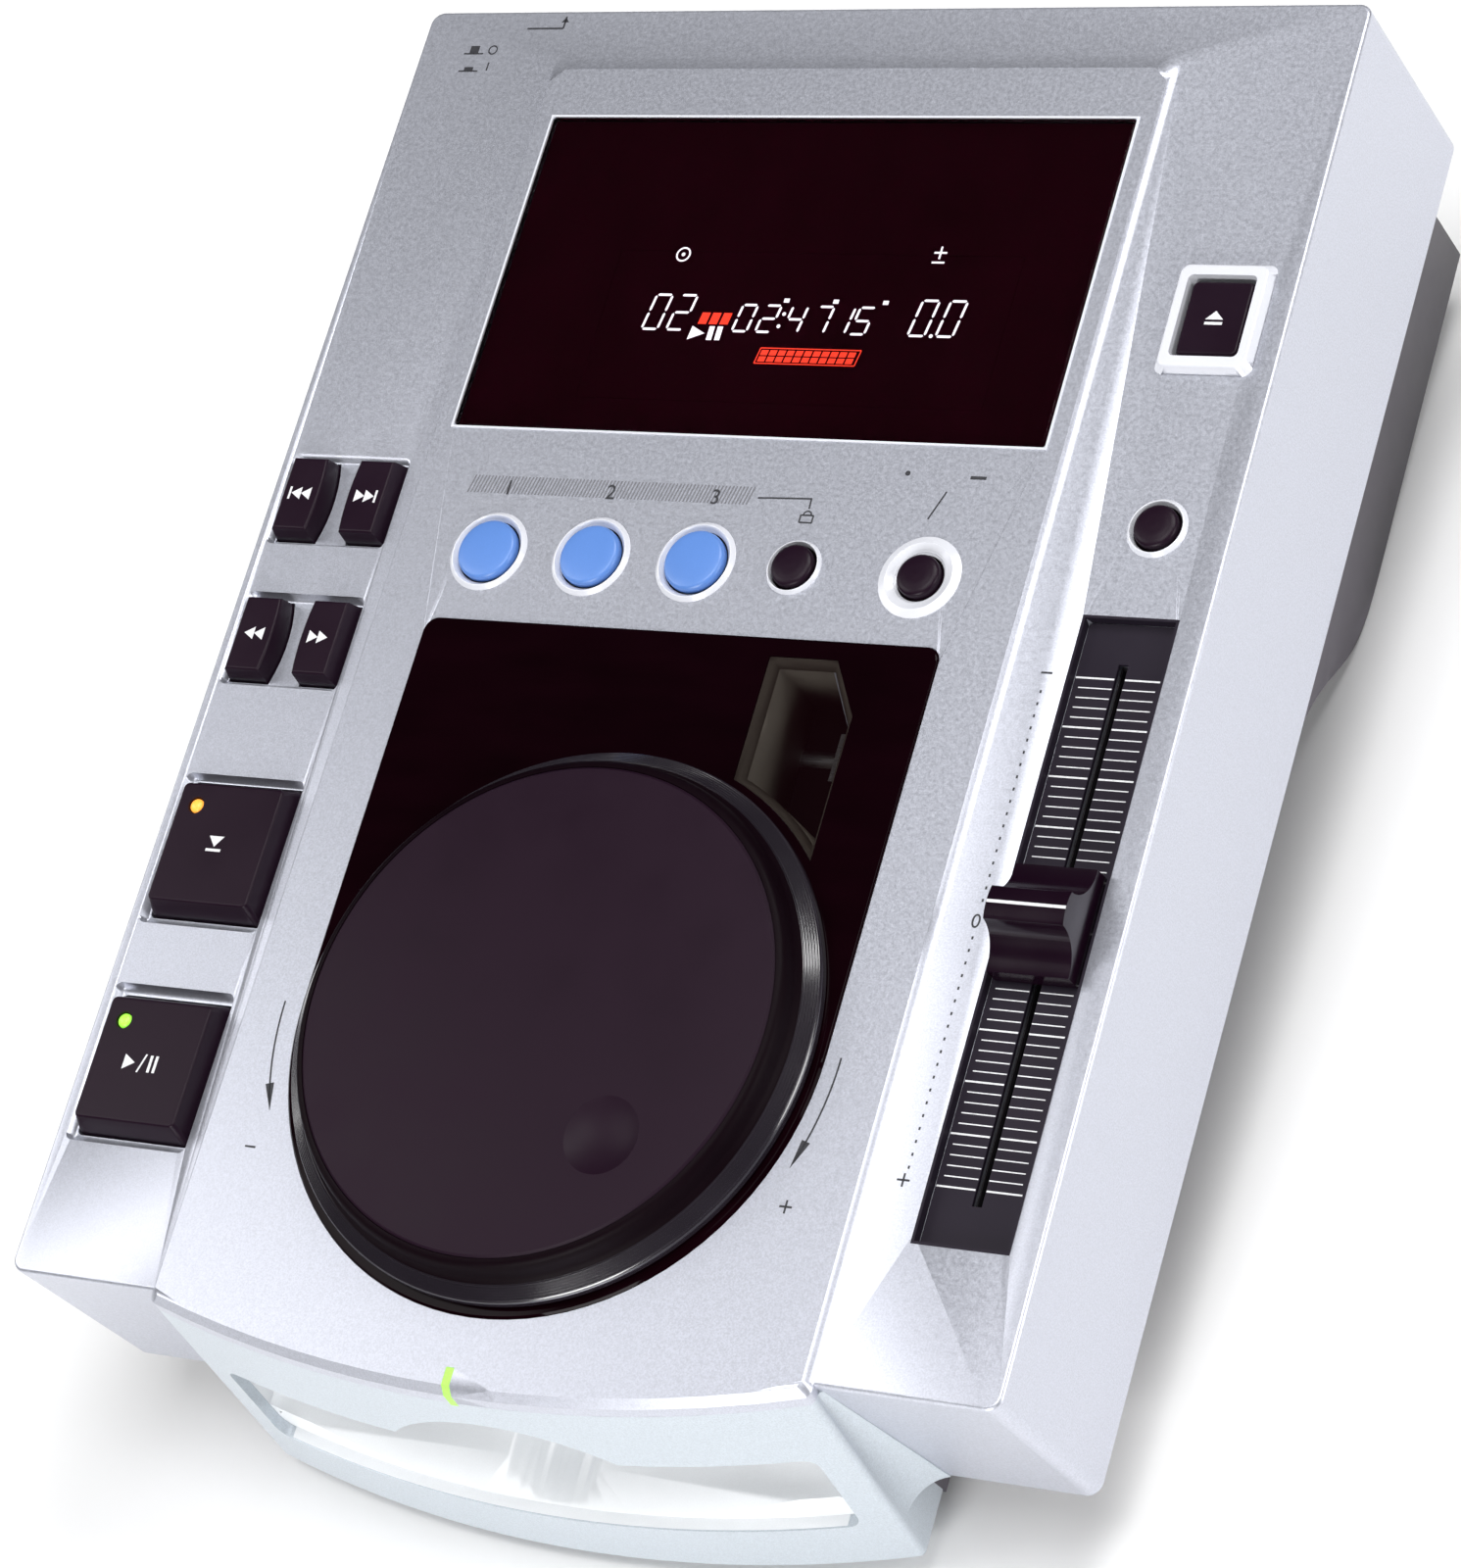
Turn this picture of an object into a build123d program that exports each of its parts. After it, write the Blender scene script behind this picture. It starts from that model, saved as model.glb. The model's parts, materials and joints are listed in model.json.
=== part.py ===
from build123d import *
import math
import os

# Tabletop disc player with a slot-loading mechanism and a jog dial.
#
# Every piece is drawn in the deck frame: X to the right, Y to the back, Z square
# to the sloping deck, with Z = 0 on the face of the two side strips and the
# origin over the middle of the slab.  seat() then tips the finished piece by the
# slope of the deck and stands the rubber feet on Z = 0.

# ---------------------------------------------------------------- clearances
FIT = 0.05                # radial, shafts that turn or slide in their bores
GAP = 0.3                 # round everything else that moves
INLAY = 0.1               # round a piece let into another
SCREW_CLEAR = 0.3         # radial, screw shank in a drilled plate

# ---------------------------------------------------------------- top case
CASE_W = 217.0
CASE_D = 287.0
CASE_H_FRONT = 46.5
CASE_H_REAR = 49.5
CASE_WALL = 2.5
CASE_CORNER_R = 3.0
CASE_EDGE_R = 0.8
LEFT_X = -CASE_W / 2.0
RIGHT_X = CASE_W / 2.0
FRONT_Y = -CASE_D / 2.0
REAR_Y = CASE_D / 2.0

DISC_D = 120.0
DISC_T = 1.2
PANEL_X = -1.15           # centre line of the raised panel and the nose
PANEL_W = 145.1
PANEL_LEFT_X = PANEL_X - PANEL_W / 2.0
PANEL_RIGHT_X = PANEL_X + PANEL_W / 2.0
PANEL_RISE = 1.8
PANEL_BEVEL = 1.5
PANEL_REAR_Y = REAR_Y - 11.3
PANEL_REAR_BEVEL = 4.2
PANEL_FRONT_BEVEL = 1.2
PANEL_CORNER_R = 3.0

# ---------------------------------------------------------------- nose
NOSE_FRONT_Y = FRONT_Y - 11.5
NOSE_LEAN = 0.19
NOSE_BOW_R = 277.0
NOSE_BOTTOM_Z = -59.0
NOSE_EDGE_R = 2.0
NOSE_CORNER_R = 1.6
COVE_TOP_R = 1.2
COVE_FOOT_R = 9.0
COVE_END = 15.0           # degrees short of a full quarter

MOUTH_W = PANEL_W - 14.1
MOUTH_TOP_Z = -20.4
MOUTH_LIP_Z = -44.5
MOUTH_CORNER_R = 3.0
ARCH_R = 34.3
ARCH_TOP_Z = -10.0

THROAT_WALL = 1.5
THROAT_FLOOR_Z = -38.0
THROAT_CEILING_Z = -8.0
THROAT_BASE_Z = -46.0
THROAT_BACK_Y = FRONT_Y - 0.9
RAMP_TOP_Y = NOSE_FRONT_Y + 0.5
RAMP_FOOT_Y = NOSE_FRONT_Y - 6.3
GROOVE_X = 0.0
GROOVE_R = 12.4
GROOVE_DEPTH = 5.8

DISC_Z = -29.0
SLOT_W = DISC_D + 4.0
SLOT_H = 5.6
LIP_T = 1.0
LIP_GAP = 1.6

GUIDE_X = -2.2
GUIDE_W = 1.8
GUIDE_BACK_Y = NOSE_FRONT_Y + 4.7
GUIDE_FOOT_Z = -3.4

# ---------------------------------------------------------------- lower case
PAN_WALL = 1.5
PAN_PLATE_T = 1.2
PAN_PLATE_TOP_Z = -44.5
PAN_W = CASE_W - 22.0
PAN_REAR_Y = REAR_Y - 5.0
PAN_BOTTOM_Z = -87.0
TRAY_END_Y = PAN_REAR_Y - 123.5
S_CURVE = [               # underside: forward of the pan's rear, above its floor
    (74.5, 0.0),
    (85.0, 0.7),
    (91.3, 2.4),
    (99.9, 7.8),
    (106.9, 12.7),
    (113.5, 15.9),
    (126.5, 20.6),
    (146.5, 28.5),
    (168.5, 41.3),
]

# ---------------------------------------------------------------- feet
FOOT_H = 8.0
FOOT_R = 10.0
FOOT_TAPER = 1.2
FOOT_Y = REAR_Y - 25.5
FOOT_X_FRONT = PANEL_W / 2.0 - 12.55
FOOT_X_REAR = PAN_W / 2.0 - 13.5
TILT = math.degrees(math.atan2(NOSE_BOTTOM_Z - PAN_BOTTOM_Z, 2.0 * FOOT_Y))

# ---------------------------------------------------------------- windows
JOG_X = PANEL_X - 0.35
JOG_Y = FRONT_Y + 61.1
PLATE_REAR_Y = JOG_Y + 83.1
BUTTON_ROW_Y = PLATE_REAR_Y + 15.2

DISPLAY_X = PANEL_X + 0.1
DISPLAY_W = PANEL_W - 10.9
DISPLAY_FRONT_Y = BUTTON_ROW_Y + 28.0
DISPLAY_REAR_Y = PANEL_REAR_Y - 15.9
DISPLAY_Y = (DISPLAY_FRONT_Y + DISPLAY_REAR_Y) / 2.0
DISPLAY_D = DISPLAY_REAR_Y - DISPLAY_FRONT_Y
DISPLAY_T = 2.0
DISPLAY_R = 1.0
WINDOW_CHAMFER = 0.4
TUBE_X = DISPLAY_X + 4.55
TUBE_Y = DISPLAY_FRONT_Y + 25.1
TUBE_W = 92.0
TUBE_D = 34.0
TUBE_T = 6.5

PLATE_HALF = 58.0
PLATE_T = 2.3
PLATE_CORNER_R = 3.0
VIEW_LEFT_X = JOG_X + 22.0
VIEW_RIGHT_X = JOG_X + 43.5
VIEW_REAR_Y = PLATE_REAR_Y - 3.9
VIEW_SLANT_X = JOG_X + 36.9
VIEW_SLANT_Y = PLATE_REAR_Y - 15.4
VIEW_LEDGE = 1.5

# ---------------------------------------------------------------- jog dial
JOG_TOP_Z = 11.5
JOG_TOP_R = 50.6
JOG_TOP_T = 2.5
JOG_RIM_R = 56.0
JOG_RIM_Z = 4.2
JOG_WAIST_Z = 8.2
JOG_SKIN = 1.6
JOG_HUB_R = 8.0
JOG_SHAFT_R = 3.0
DIMPLE_D = 15.5
DIMPLE_DEPTH = 1.5
DIMPLE_AT = 32.3
DIMPLE_ANGLE = -46.0
BRACKET_R = 30.0
BRACKET_T = 1.5
BUSH_R = 5.0
BUSH_FLANGE_R = 7.5
BUSH_TOP_Z = 1.0
BUSH_BOTTOM_Z = -6.9
ENCODER_R = 22.0
ENCODER_T = 1.0
ENCODER_HUB_R = 5.0
ENCODER_SLOTS = 30
ENCODER_SLOT_L = 4.0
ENCODER_SLOT_W = 1.8
SENSOR_W = 10.0
SENSOR_REACH = 5.0
SENSOR_SLOT = 2.6

# ---------------------------------------------------------------- keys
RECESS_DEPTH = 2.0
KEY_TRAVEL = 1.0
KEY_TOP_Z = 3.0
KEY_WALL = 1.5
KEY_FLANGE = 1.0
KEY_FLANGE_T = 1.2
KEY_CORNER_R = 1.2
KEY_EDGE_R = 0.6
STEM_R = 2.0

RECESS_SLOPE = 0.6
RECESS_CORNER_R = 1.6
BIG_RECESS = (LEFT_X + 2.5, PANEL_LEFT_X - 3.3)
RECESS_W = BIG_RECESS[1] - BIG_RECESS[0]
RECESS_X = (BIG_RECESS[0] + BIG_RECESS[1]) / 2.0
CUE_Y = (FRONT_Y + 74.5, FRONT_Y + 107.5)
PLAY_Y = (FRONT_Y + 27.8, FRONT_Y + 61.5)
BIG_KEY_X = RECESS_X + 0.2
BIG_KEY_SETBACK = 16.8    # from the front of a recess to the middle of its key
CUE_KEY_Y = CUE_Y[0] + BIG_KEY_SETBACK
PLAY_KEY_Y = PLAY_Y[0] + BIG_KEY_SETBACK
BIG_KEY_BASE = (RECESS_W - 2.6, 29.4)
BIG_KEY_TOP = (BIG_KEY_BASE[0] - 2.4, BIG_KEY_BASE[1] - 4.0)
LAMP_R = 1.5
LAMP_DX = 5.6 - BIG_KEY_BASE[0] / 2.0
LAMP_DY = BIG_KEY_BASE[1] / 2.0 - 6.7

PAIR_RECESS_D = 21.0
TRACK_Y = PLATE_REAR_Y + 25.8
SEARCH_Y = PLATE_REAR_Y - 6.2
PAIR_X = RECESS_X + 0.1
PAIR_KEY_X = RECESS_W / 4.0 + 0.7         # from the middle of the pair to a key's middle
PAIR_KEY_BASE = (RECESS_W / 2.0 - 3.9, 17.8)
PAIR_KEY_TOP = (PAIR_KEY_BASE[0] - 2.0, PAIR_KEY_BASE[1] - 1.6)
PAIR_WALL = 0.9
PAIR_BULGE = 1.4
PAIR_TOP_Z = 2.5

TEMPO_LOCK_X = RIGHT_X - 15.5
TEMPO_LOCK_Y = PLATE_REAR_Y + 28.1
EJECT_X = RIGHT_X - 15.1
EJECT_Y = TEMPO_LOCK_Y + 44.5
EJECT_KEY = (13.4, 16.4)
EJECT_HOLE = (14.4, 17.6)
EJECT_FRAME = (20.4, 24.0)
EJECT_FRAME_SLOPE = 1.1
EJECT_FRAME_H = 1.8
EJECT_SLEEVE = 0.9
EJECT_TOP_Z = 0.8

RING_H = 0.6
RING_SLEEVE = 0.65
RING_FOOT = 0.2
CAP_PROUD = 1.9
CAP_DOME = 0.35
CAP_EDGE = 0.8
ROUND_BUTTONS = {         # x, y, seat, ring radius, hole radius, slope width
    "effect_button_1": (PANEL_X - 49.05, BUTTON_ROW_Y, PANEL_RISE, 8.9, 7.3, 0.9),
    "effect_button_2": (PANEL_X - 25.05, BUTTON_ROW_Y, PANEL_RISE, 8.9, 7.3, 0.9),
    "effect_button_3": (PANEL_X - 1.05, BUTTON_ROW_Y, PANEL_RISE, 8.9, 7.3, 0.9),
    "hold_button": (PANEL_X + 20.95, BUTTON_ROW_Y, PANEL_RISE, 5.9, 4.8, 0.5),
    "mode_button": (PANEL_X + 48.65, BUTTON_ROW_Y - 0.7, PANEL_RISE, 8.5, 4.8, 2.9),
    "tempo_lock_button": (TEMPO_LOCK_X, TEMPO_LOCK_Y, 0.0, 6.2, 4.8, 0.7),
}

# ---------------------------------------------------------------- tempo slider
FADER_X = RIGHT_X - 15.9
FADER_Y = FRONT_Y + 91.1
SCALE_W = 19.8
SCALE_D = 125.3
SCALE_T = 0.8
SLIDE_TRAVEL = 50.0
SLIDE_SLOT_W = 2.0
LEVER_T = 0.6
LEVER_D = 5.0
FADER_W = 12.0
FADER_H = 10.0
FADER_WALL = 1.5
CARRIAGE = (8.2, 12.0, 5.4)
KNOB_W = 17.0
KNOB_RIDGE_W = 16.1
KNOB_D = 21.5
KNOB_RIDGE_D = 6.5
KNOB_SHOULDER_Z = 2.6
KNOB_TOP_Z = 10.0
KNOB_SADDLE = 1.9
LEVER_TOP_Z = 6.0

# ---------------------------------------------------------------- boards
BOARD_TOP_Z = -11.5
BOARD_T = 1.6
POST_R = 2.2
SWITCH_W = 6.0
SWITCH_H = 2.6
PLUNGER_R = 1.7
PLUNGER_H = 0.8
CENTRE_BOARD = (PANEL_LEFT_X + 7.7, PANEL_RIGHT_X - 7.9, PLATE_REAR_Y + 4.3, PANEL_REAR_Y - 6.2)
LEFT_BOARD = (LEFT_X + 3.1, PANEL_LEFT_X - 2.3, PLAY_Y[0] - 4.3, TRACK_Y + 13.5)
RIGHT_BOARD = (RIGHT_X - 28.5, RIGHT_X - 4.0, TEMPO_LOCK_Y - 9.8, EJECT_Y + 16.7)
BOARD_POSTS = [
    (CENTRE_BOARD[0] + 3.0, CENTRE_BOARD[3] - 3.5),
    (CENTRE_BOARD[1] - 3.0, CENTRE_BOARD[3] - 3.5),
    (CENTRE_BOARD[0] + 3.0, CENTRE_BOARD[2] + 25.0),
    (CENTRE_BOARD[1] - 3.0, CENTRE_BOARD[2] + 25.0),
    (RECESS_X + 0.5, PLAY_Y[1] + 6.4),
    (LEFT_BOARD[1] - 4.0, TRACK_Y - 15.9),
    (LEFT_BOARD[1] - 4.0, SEARCH_Y - 20.5),
    (RIGHT_BOARD[0] + 4.0, TEMPO_LOCK_Y + 21.2),
    (RIGHT_BOARD[0] + 4.0, RIGHT_BOARD[2] + 5.0),
    (RIGHT_BOARD[1] - 3.0, RIGHT_BOARD[3] - 2.5),
]
SCREW_INSET_X = 6.8
SCREW_INSET_Y = 9.5
CASE_SCREWS = [
    (LEFT_X + SCREW_INSET_X, FRONT_Y + SCREW_INSET_Y),
    (RIGHT_X - SCREW_INSET_X, FRONT_Y + SCREW_INSET_Y),
    (LEFT_X + SCREW_INSET_X, REAR_Y - SCREW_INSET_Y),
    (RIGHT_X - SCREW_INSET_X, REAR_Y - SCREW_INSET_Y),
    (LEFT_X + SCREW_INSET_X, SEARCH_Y - 20.5),
    (RIGHT_X - SCREW_INSET_X, TEMPO_LOCK_Y + 20.2),
]
BOSS_R = 3.4
SCREW_R = 1.5
SCREW_HEAD_R = 2.8
SCREW_HEAD_H = 2.0
SCREW_L = 11.0

# ---------------------------------------------------------------- mechanism
MECH_W = DISC_D + 9.0
MECH_FRONT_Y = FRONT_Y + 2.5
MECH_BACK_Y = MECH_FRONT_Y + 132.0
MECH_T = 1.2
MECH_BASE_Z = -38.0       # underside of the base plate
MECH_WALL_TOP_Z = -22.0
LUG_T = 2.0
LUG_DROP = 6.0
DAMPER_H = 9.0
DAMPER_R = 5.0
DAMPER_X = 56.0
DAMPER_AT = [
    (side * DAMPER_X, y) for y in (MECH_FRONT_Y + 19.0, MECH_BACK_Y - 15.0) for side in (-1.0, 1.0)
]

ROLLER_Y = MECH_FRONT_Y + 8.0
ROLLER_R = 3.2
ROLLER_WAIST_R = 2.7
ROLLER_L = 112.0
ROLLER_SHAFT_R = 1.5

HUB_FLANGE_R = 14.0
HUB_FLANGE_T = 3.0
HUB_CONE_R = 7.4
HUB_CONE_H = 3.0
SPINDLE_R = 1.0
SPINDLE_MOTOR_R = 12.0
SPINDLE_MOTOR_H = 16.0

ARM_HINGE_Y = MECH_BACK_Y - 7.0
ARM_HINGE_Z = -18.6
ARM_T = 1.2
ARM_TOP_Z = -18.0
ARM_PIN_R = 1.4
ARM_BARREL_R = 2.8
ARM_EAR_X = 32.0
ARM_END_R = 18.0
CLAMP_NECK_R = 6.0
CLAMP_CAP_R = 9.0
CLAMP_CAP_T = 1.4
CLAMP_R = 13.0
CLAMP_RECESS_R = 8.2
CLAMP_RECESS_H = 2.6

ROD_X = 19.0
ROD_Z = -41.5
ROD_R = 1.5
RAIL_FRONT_Y = JOG_Y + 14.4
RAIL_BACK_Y = MECH_BACK_Y - 4.0
SLED_HALF_L = 7.0
SLED_HALF_W = 24.0
SLED_TRAVEL = 34.0
SLED_START = 24.0         # lens from the spindle at the inner end
SLED_BOTTOM_Z = -45.5
SLED_TOP_Z = -39.0
LENS_R = 4.0
LENS_TOP_Z = -31.2
SCREW_X = 29.0            # lead screw from the spindle
LEAD_SCREW_R = 1.5
JOURNAL_R = 1.0
SMALL_MOTOR_R = 6.0
SMALL_MOTOR_L = 17.0

# ---------------------------------------------------------------- rear parts
STANDOFF_R = 3.0
STANDOFF_H = 7.5
CORE_X = -PAN_W / 2.0 + 27.5
CORE_Y = PAN_REAR_Y - 48.5
POWER_BOARD = (CORE_X + 26.0, CORE_X + 54.0, PAN_REAR_Y - 72.5, PAN_REAR_Y - 10.5)
MAIN_BOARD = (POWER_BOARD[1] + 6.0, PAN_W / 2.0 - 5.5, PAN_REAR_Y - 72.5, PAN_REAR_Y - 5.5)
STANDOFF_INSET = 5.0
CHIP_H = 2.4
CAPACITOR_R = 4.0
CAPACITOR_H = 11.0
CORE = (38.0, 26.0, 32.0)
WINDING = (28.0, 38.0, 22.0)

PANEL_T = 1.2
SOCKET_Z = -66.0
PHONO_X = (PAN_W / 2.0 - 45.5, PAN_W / 2.0 - 31.5)
PHONO_BARREL_R = 4.2
PHONO_BORE_R = 1.6
PHONO_L = 8.0
PHONO_BORE_L = 9.0
JACK_X = PHONO_X[0] - 18.0
JACK_R = 3.9
JACK_L = 1.6
JACK_BORE_R = 1.8
JACK_BORE_L = 12.0
SOCKET_BLOCK_D = 14.0
INLET_X = CORE_X
INLET_BODY = (24.0, 15.0)
INLET_FLANGE = (32.0, 19.0)
INLET_FLANGE_T = 1.6
INLET_BODY_L = 15.0
INLET_RECESS = (18.4, 10.0)
INLET_RECESS_L = 12.0
INLET_PIN_R = 1.2
INLET_PIN_X = 4.3
INLET_PIN_L = 9.0

POWER_X = LEFT_X + 34.0
POWER_Z = -25.0
POWER_CAP = (12.0, 8.0)
POWER_CAP_R = 2.0
POWER_PROUD = 6.5
POWER_TRAVEL = 3.0
POWER_FLANGE = 1.2
POWER_FLANGE_T = 1.0
POWER_STEM_R = 2.5
POWER_STEM_L = 4.0
POWER_SWITCH = (16.0, 18.0, 14.0)
POWER_BRACKET_T = 1.5

# ---------------------------------------------------------------- derived
CASE_UNDER_Z = -CASE_WALL
PAD_UNDER_Z = -RECESS_DEPTH - CASE_WALL
PLATE_FLOOR_Z = -RECESS_DEPTH - SCALE_T
PLUNGER_TOP_Z = BOARD_TOP_Z + SWITCH_H + PLUNGER_H
STEM_END_Z = PLUNGER_TOP_Z + KEY_TRAVEL + GAP
PAN_PLATE_UNDER_Z = PAN_PLATE_TOP_Z - PAN_PLATE_T
TRAY_FLOOR_Z = NOSE_BOTTOM_Z + PAN_WALL
PAN_FLOOR_Z = PAN_BOTTOM_Z + PAN_WALL
MECH_TOP_Z = MECH_BASE_Z + MECH_T
MECH_HALF = MECH_W / 2.0
DISC_UNDER_Z = DISC_Z - DISC_T / 2.0
HUB_BOTTOM_Z = DISC_UNDER_Z - HUB_FLANGE_T
ROLLER_Z = DISC_UNDER_Z - GAP - ROLLER_R
ENCODER_TOP_Z = BUSH_BOTTOM_Z - GAP
SLED_Y = JOG_Y + SLED_START
CLAMP_BOTTOM_Z = DISC_UNDER_Z + DISC_T + GAP
REAR_PANEL_Y = PAN_REAR_Y - PANEL_T


# ================================================================ helpers
def block(x0, x1, y0, y1, z0, z1):
    """Box between two corners."""
    centre = Pos((x0 + x1) / 2.0, (y0 + y1) / 2.0, (z0 + z1) / 2.0)
    return centre * Box(x1 - x0, y1 - y0, z1 - z0)


def post(x, y, z0, z1, radius):
    """Round post square to the deck."""
    return Pos(x, y, (z0 + z1) / 2.0) * Cylinder(radius, z1 - z0)


def rod_x(x0, x1, y, z, radius):
    """Round rod along X."""
    return Pos((x0 + x1) / 2.0, y, z) * Rot(0, 90, 0) * Cylinder(radius, x1 - x0)


def rod_y(x, y0, y1, z, radius):
    """Round rod along Y."""
    return Pos(x, (y0 + y1) / 2.0, z) * Rot(90, 0, 0) * Cylinder(radius, y1 - y0)


def prism(sketch, z0, z1):
    """Plan outline raised from z0 to z1."""
    return extrude(Pos(0, 0, z0) * sketch, amount=z1 - z0, dir=(0, 0, 1))


def along_x(sketch, x0, x1):
    """Side view swept along X from x0 to x1."""
    return extrude(Pos(x0, 0, 0) * sketch, amount=x1 - x0, dir=(1, 0, 0))


def along_y(sketch, y0, y1):
    """Front view swept along Y from y0 to y1."""
    return extrude(Pos(0, y0, 0) * sketch, amount=y1 - y0, dir=(0, 1, 0))


def turned(points, x, y):
    """Solid of revolution about a line square to the deck through x, y."""
    outline = make_face(Plane.XZ * Polyline(*points, close=True))
    return Pos(x, y, 0) * revolve(outline, axis=Axis.Z)


def rounded(x, y, size, radius):
    """Rectangle with round corners, centred on x, y."""
    return Pos(x, y) * RectangleRounded(size[0], size[1], radius)


def grown(size, margin):
    """Width and depth with a margin added all round."""
    return (size[0] + 2.0 * margin, size[1] + 2.0 * margin)


def seat(shape):
    """Tip a finished piece from the deck frame onto the table."""
    return ROW_PLACE * shape


# ================================================================ top case
def nose_outline(z, inset, back_y):
    """Plan outline of the nose at one height: straight flanks, bowed front."""
    half = PANEL_W / 2.0 - inset
    front = NOSE_FRONT_Y - NOSE_LEAN * (PANEL_RISE - z) + inset
    sag = NOSE_BOW_R - math.sqrt(NOSE_BOW_R**2 - half**2)
    right = (PANEL_X + half, front + sag)
    left = (PANEL_X - half, front + sag)
    flanks = Polyline(left, (PANEL_X - half, back_y), (PANEL_X + half, back_y), right)
    bow = ThreePointArc(right, (PANEL_X, front), left)
    face = make_face(flanks + bow)
    return fillet(face.vertices().group_by(Axis.Y)[0], max(NOSE_CORNER_R - inset, 0.4))


def nose_prism(z0, z1, inset, back_y):
    """Body of the nose between two heights; its front leans out downwards."""
    lower = Pos(0, 0, z0) * nose_outline(z0, inset, back_y)
    upper = Pos(0, 0, z1) * nose_outline(z1, inset, back_y)
    return loft([lower.face(), upper.face()], ruled=True)


def panel_outline(z, bevel, front_bevel, rear_y):
    """Plan outline of the raised panel, nose roof included."""
    face = nose_outline(z, 0.0, rear_y)
    if bevel > 0.0:
        half = PANEL_W / 2.0 - bevel
        front = NOSE_FRONT_Y + front_bevel
        sag = NOSE_BOW_R - math.sqrt(NOSE_BOW_R**2 - half**2)
        right = (PANEL_X + half, front + sag)
        left = (PANEL_X - half, front + sag)
        flanks = Polyline(left, (PANEL_X - half, rear_y), (PANEL_X + half, rear_y), right)
        face = make_face(flanks + ThreePointArc(right, (PANEL_X, front), left))
        face = fillet(face.vertices().group_by(Axis.Y)[0], NOSE_CORNER_R)
    return fillet(face.vertices().group_by(Axis.Y)[-1], PANEL_CORNER_R)


def raised_panel():
    """Raised centre panel with bevelled sides and a broad rear bevel."""
    base = panel_outline(0.0, 0.0, 0.0, PANEL_REAR_Y)
    rear_crest_y = PANEL_REAR_Y - PANEL_REAR_BEVEL
    crest = panel_outline(PANEL_RISE, PANEL_BEVEL, PANEL_FRONT_BEVEL, rear_crest_y)
    crest = Pos(0, 0, PANEL_RISE) * crest
    return loft([base.face(), crest.face()], ruled=True)


def slab_solid(inset):
    """Slab with a lower edge that drops towards the rear."""
    half_d = REAR_Y - inset
    half_w = CASE_W / 2.0 - inset
    slope = (CASE_H_REAR - CASE_H_FRONT) / CASE_D
    drop = 2.0 * inset
    side = Polyline(
        (-half_d, -inset),
        (half_d, -inset),
        (half_d, -CASE_H_REAR + slope * inset - drop),
        (-half_d, -CASE_H_FRONT - slope * inset - drop),
        close=True,
    )
    return along_x(make_face(Plane.YZ * side), -half_w, half_w)


def slab_shell():
    """Hollow slab, open below, with its front open behind the nose."""
    outer = slab_solid(0.0)
    outer = fillet(outer.edges().filter_by(Axis.Z), CASE_CORNER_R)
    outer = fillet(outer.faces().sort_by(Axis.Z)[-1].edges(), CASE_EDGE_R)
    shell = outer - slab_solid(CASE_WALL)
    half = PANEL_W / 2.0 - CASE_WALL
    front_y = FRONT_Y
    window = block(
        PANEL_X - half, PANEL_X + half,
        front_y - CASE_WALL, front_y + 2.0 * CASE_WALL,
        -CASE_H_REAR - CASE_WALL, CASE_UNDER_Z,
    )
    return shell - window


def recess_pads():
    """Thicker floor under the sunk key fields and the tempo scale."""
    left = block(
        BIG_RECESS[0], BIG_RECESS[1] + 2.0, PLAY_Y[0] - 2.3, TRACK_Y + 13.5, PAD_UNDER_Z, CASE_UNDER_Z
    )
    scale_half = SCALE_W / 2.0 + 2.0
    scale_end = SCALE_D / 2.0 + 2.0
    right = block(
        FADER_X - scale_half, FADER_X + scale_half,
        FADER_Y - scale_end, FADER_Y + scale_end,
        PLATE_FLOOR_Z - CASE_WALL + SCALE_T, CASE_UNDER_Z,
    )
    return [left, right]


def recess_cut(x0, x1, y0, y1, depth):
    """Sunk field with sloping walls."""
    width = x1 - x0
    length = y1 - y0
    centre = Pos((x0 + x1) / 2.0, (y0 + y1) / 2.0)
    slope = 2.0 * RECESS_SLOPE
    mouth = centre * RectangleRounded(width, length, RECESS_CORNER_R)
    floor = centre * RectangleRounded(width - slope, length - slope, RECESS_CORNER_R - RECESS_SLOPE)
    lifted = Pos(0, 0, 0.01) * mouth
    return loft([(Pos(0, 0, -depth) * floor).face(), lifted.face()], ruled=True)


def key_recesses():
    """Sunk fields of the two big keys and the two key pairs."""
    x0, x1 = BIG_RECESS
    cuts = [
        recess_cut(x0, x1, CUE_Y[0], CUE_Y[1], RECESS_DEPTH),
        recess_cut(x0, x1, PLAY_Y[0], PLAY_Y[1], RECESS_DEPTH),
    ]
    for y in (TRACK_Y, SEARCH_Y):
        half = PAIR_RECESS_D / 2.0
        cuts.append(recess_cut(x0, x1, y - half, y + half, RECESS_DEPTH))
    return cuts


def key_apertures():
    """Holes that the keycaps pass through."""
    deep = PAD_UNDER_Z - 1.0
    cuts = []
    big = grown(BIG_KEY_BASE, GAP)
    for y in (CUE_KEY_Y, PLAY_KEY_Y):
        cuts.append(prism(rounded(BIG_KEY_X, y, big, KEY_CORNER_R), deep, 0.0))
    for y in (TRACK_Y, SEARCH_Y):
        for side in (-1.0, 1.0):
            outline = pair_base(side, y, GAP)
            cuts.append(prism(outline, deep, 0.0))
    sleeve = grown(EJECT_HOLE, EJECT_SLEEVE + INLAY)
    cuts.append(prism(rounded(EJECT_X, EJECT_Y, sleeve, KEY_CORNER_R), deep, 1.0))
    for x, y, _, _, hole, _ in ROUND_BUTTONS.values():
        cuts.append(post(x, y, deep, PANEL_RISE + 1.0, hole + RING_SLEEVE + INLAY))
    return cuts


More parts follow.
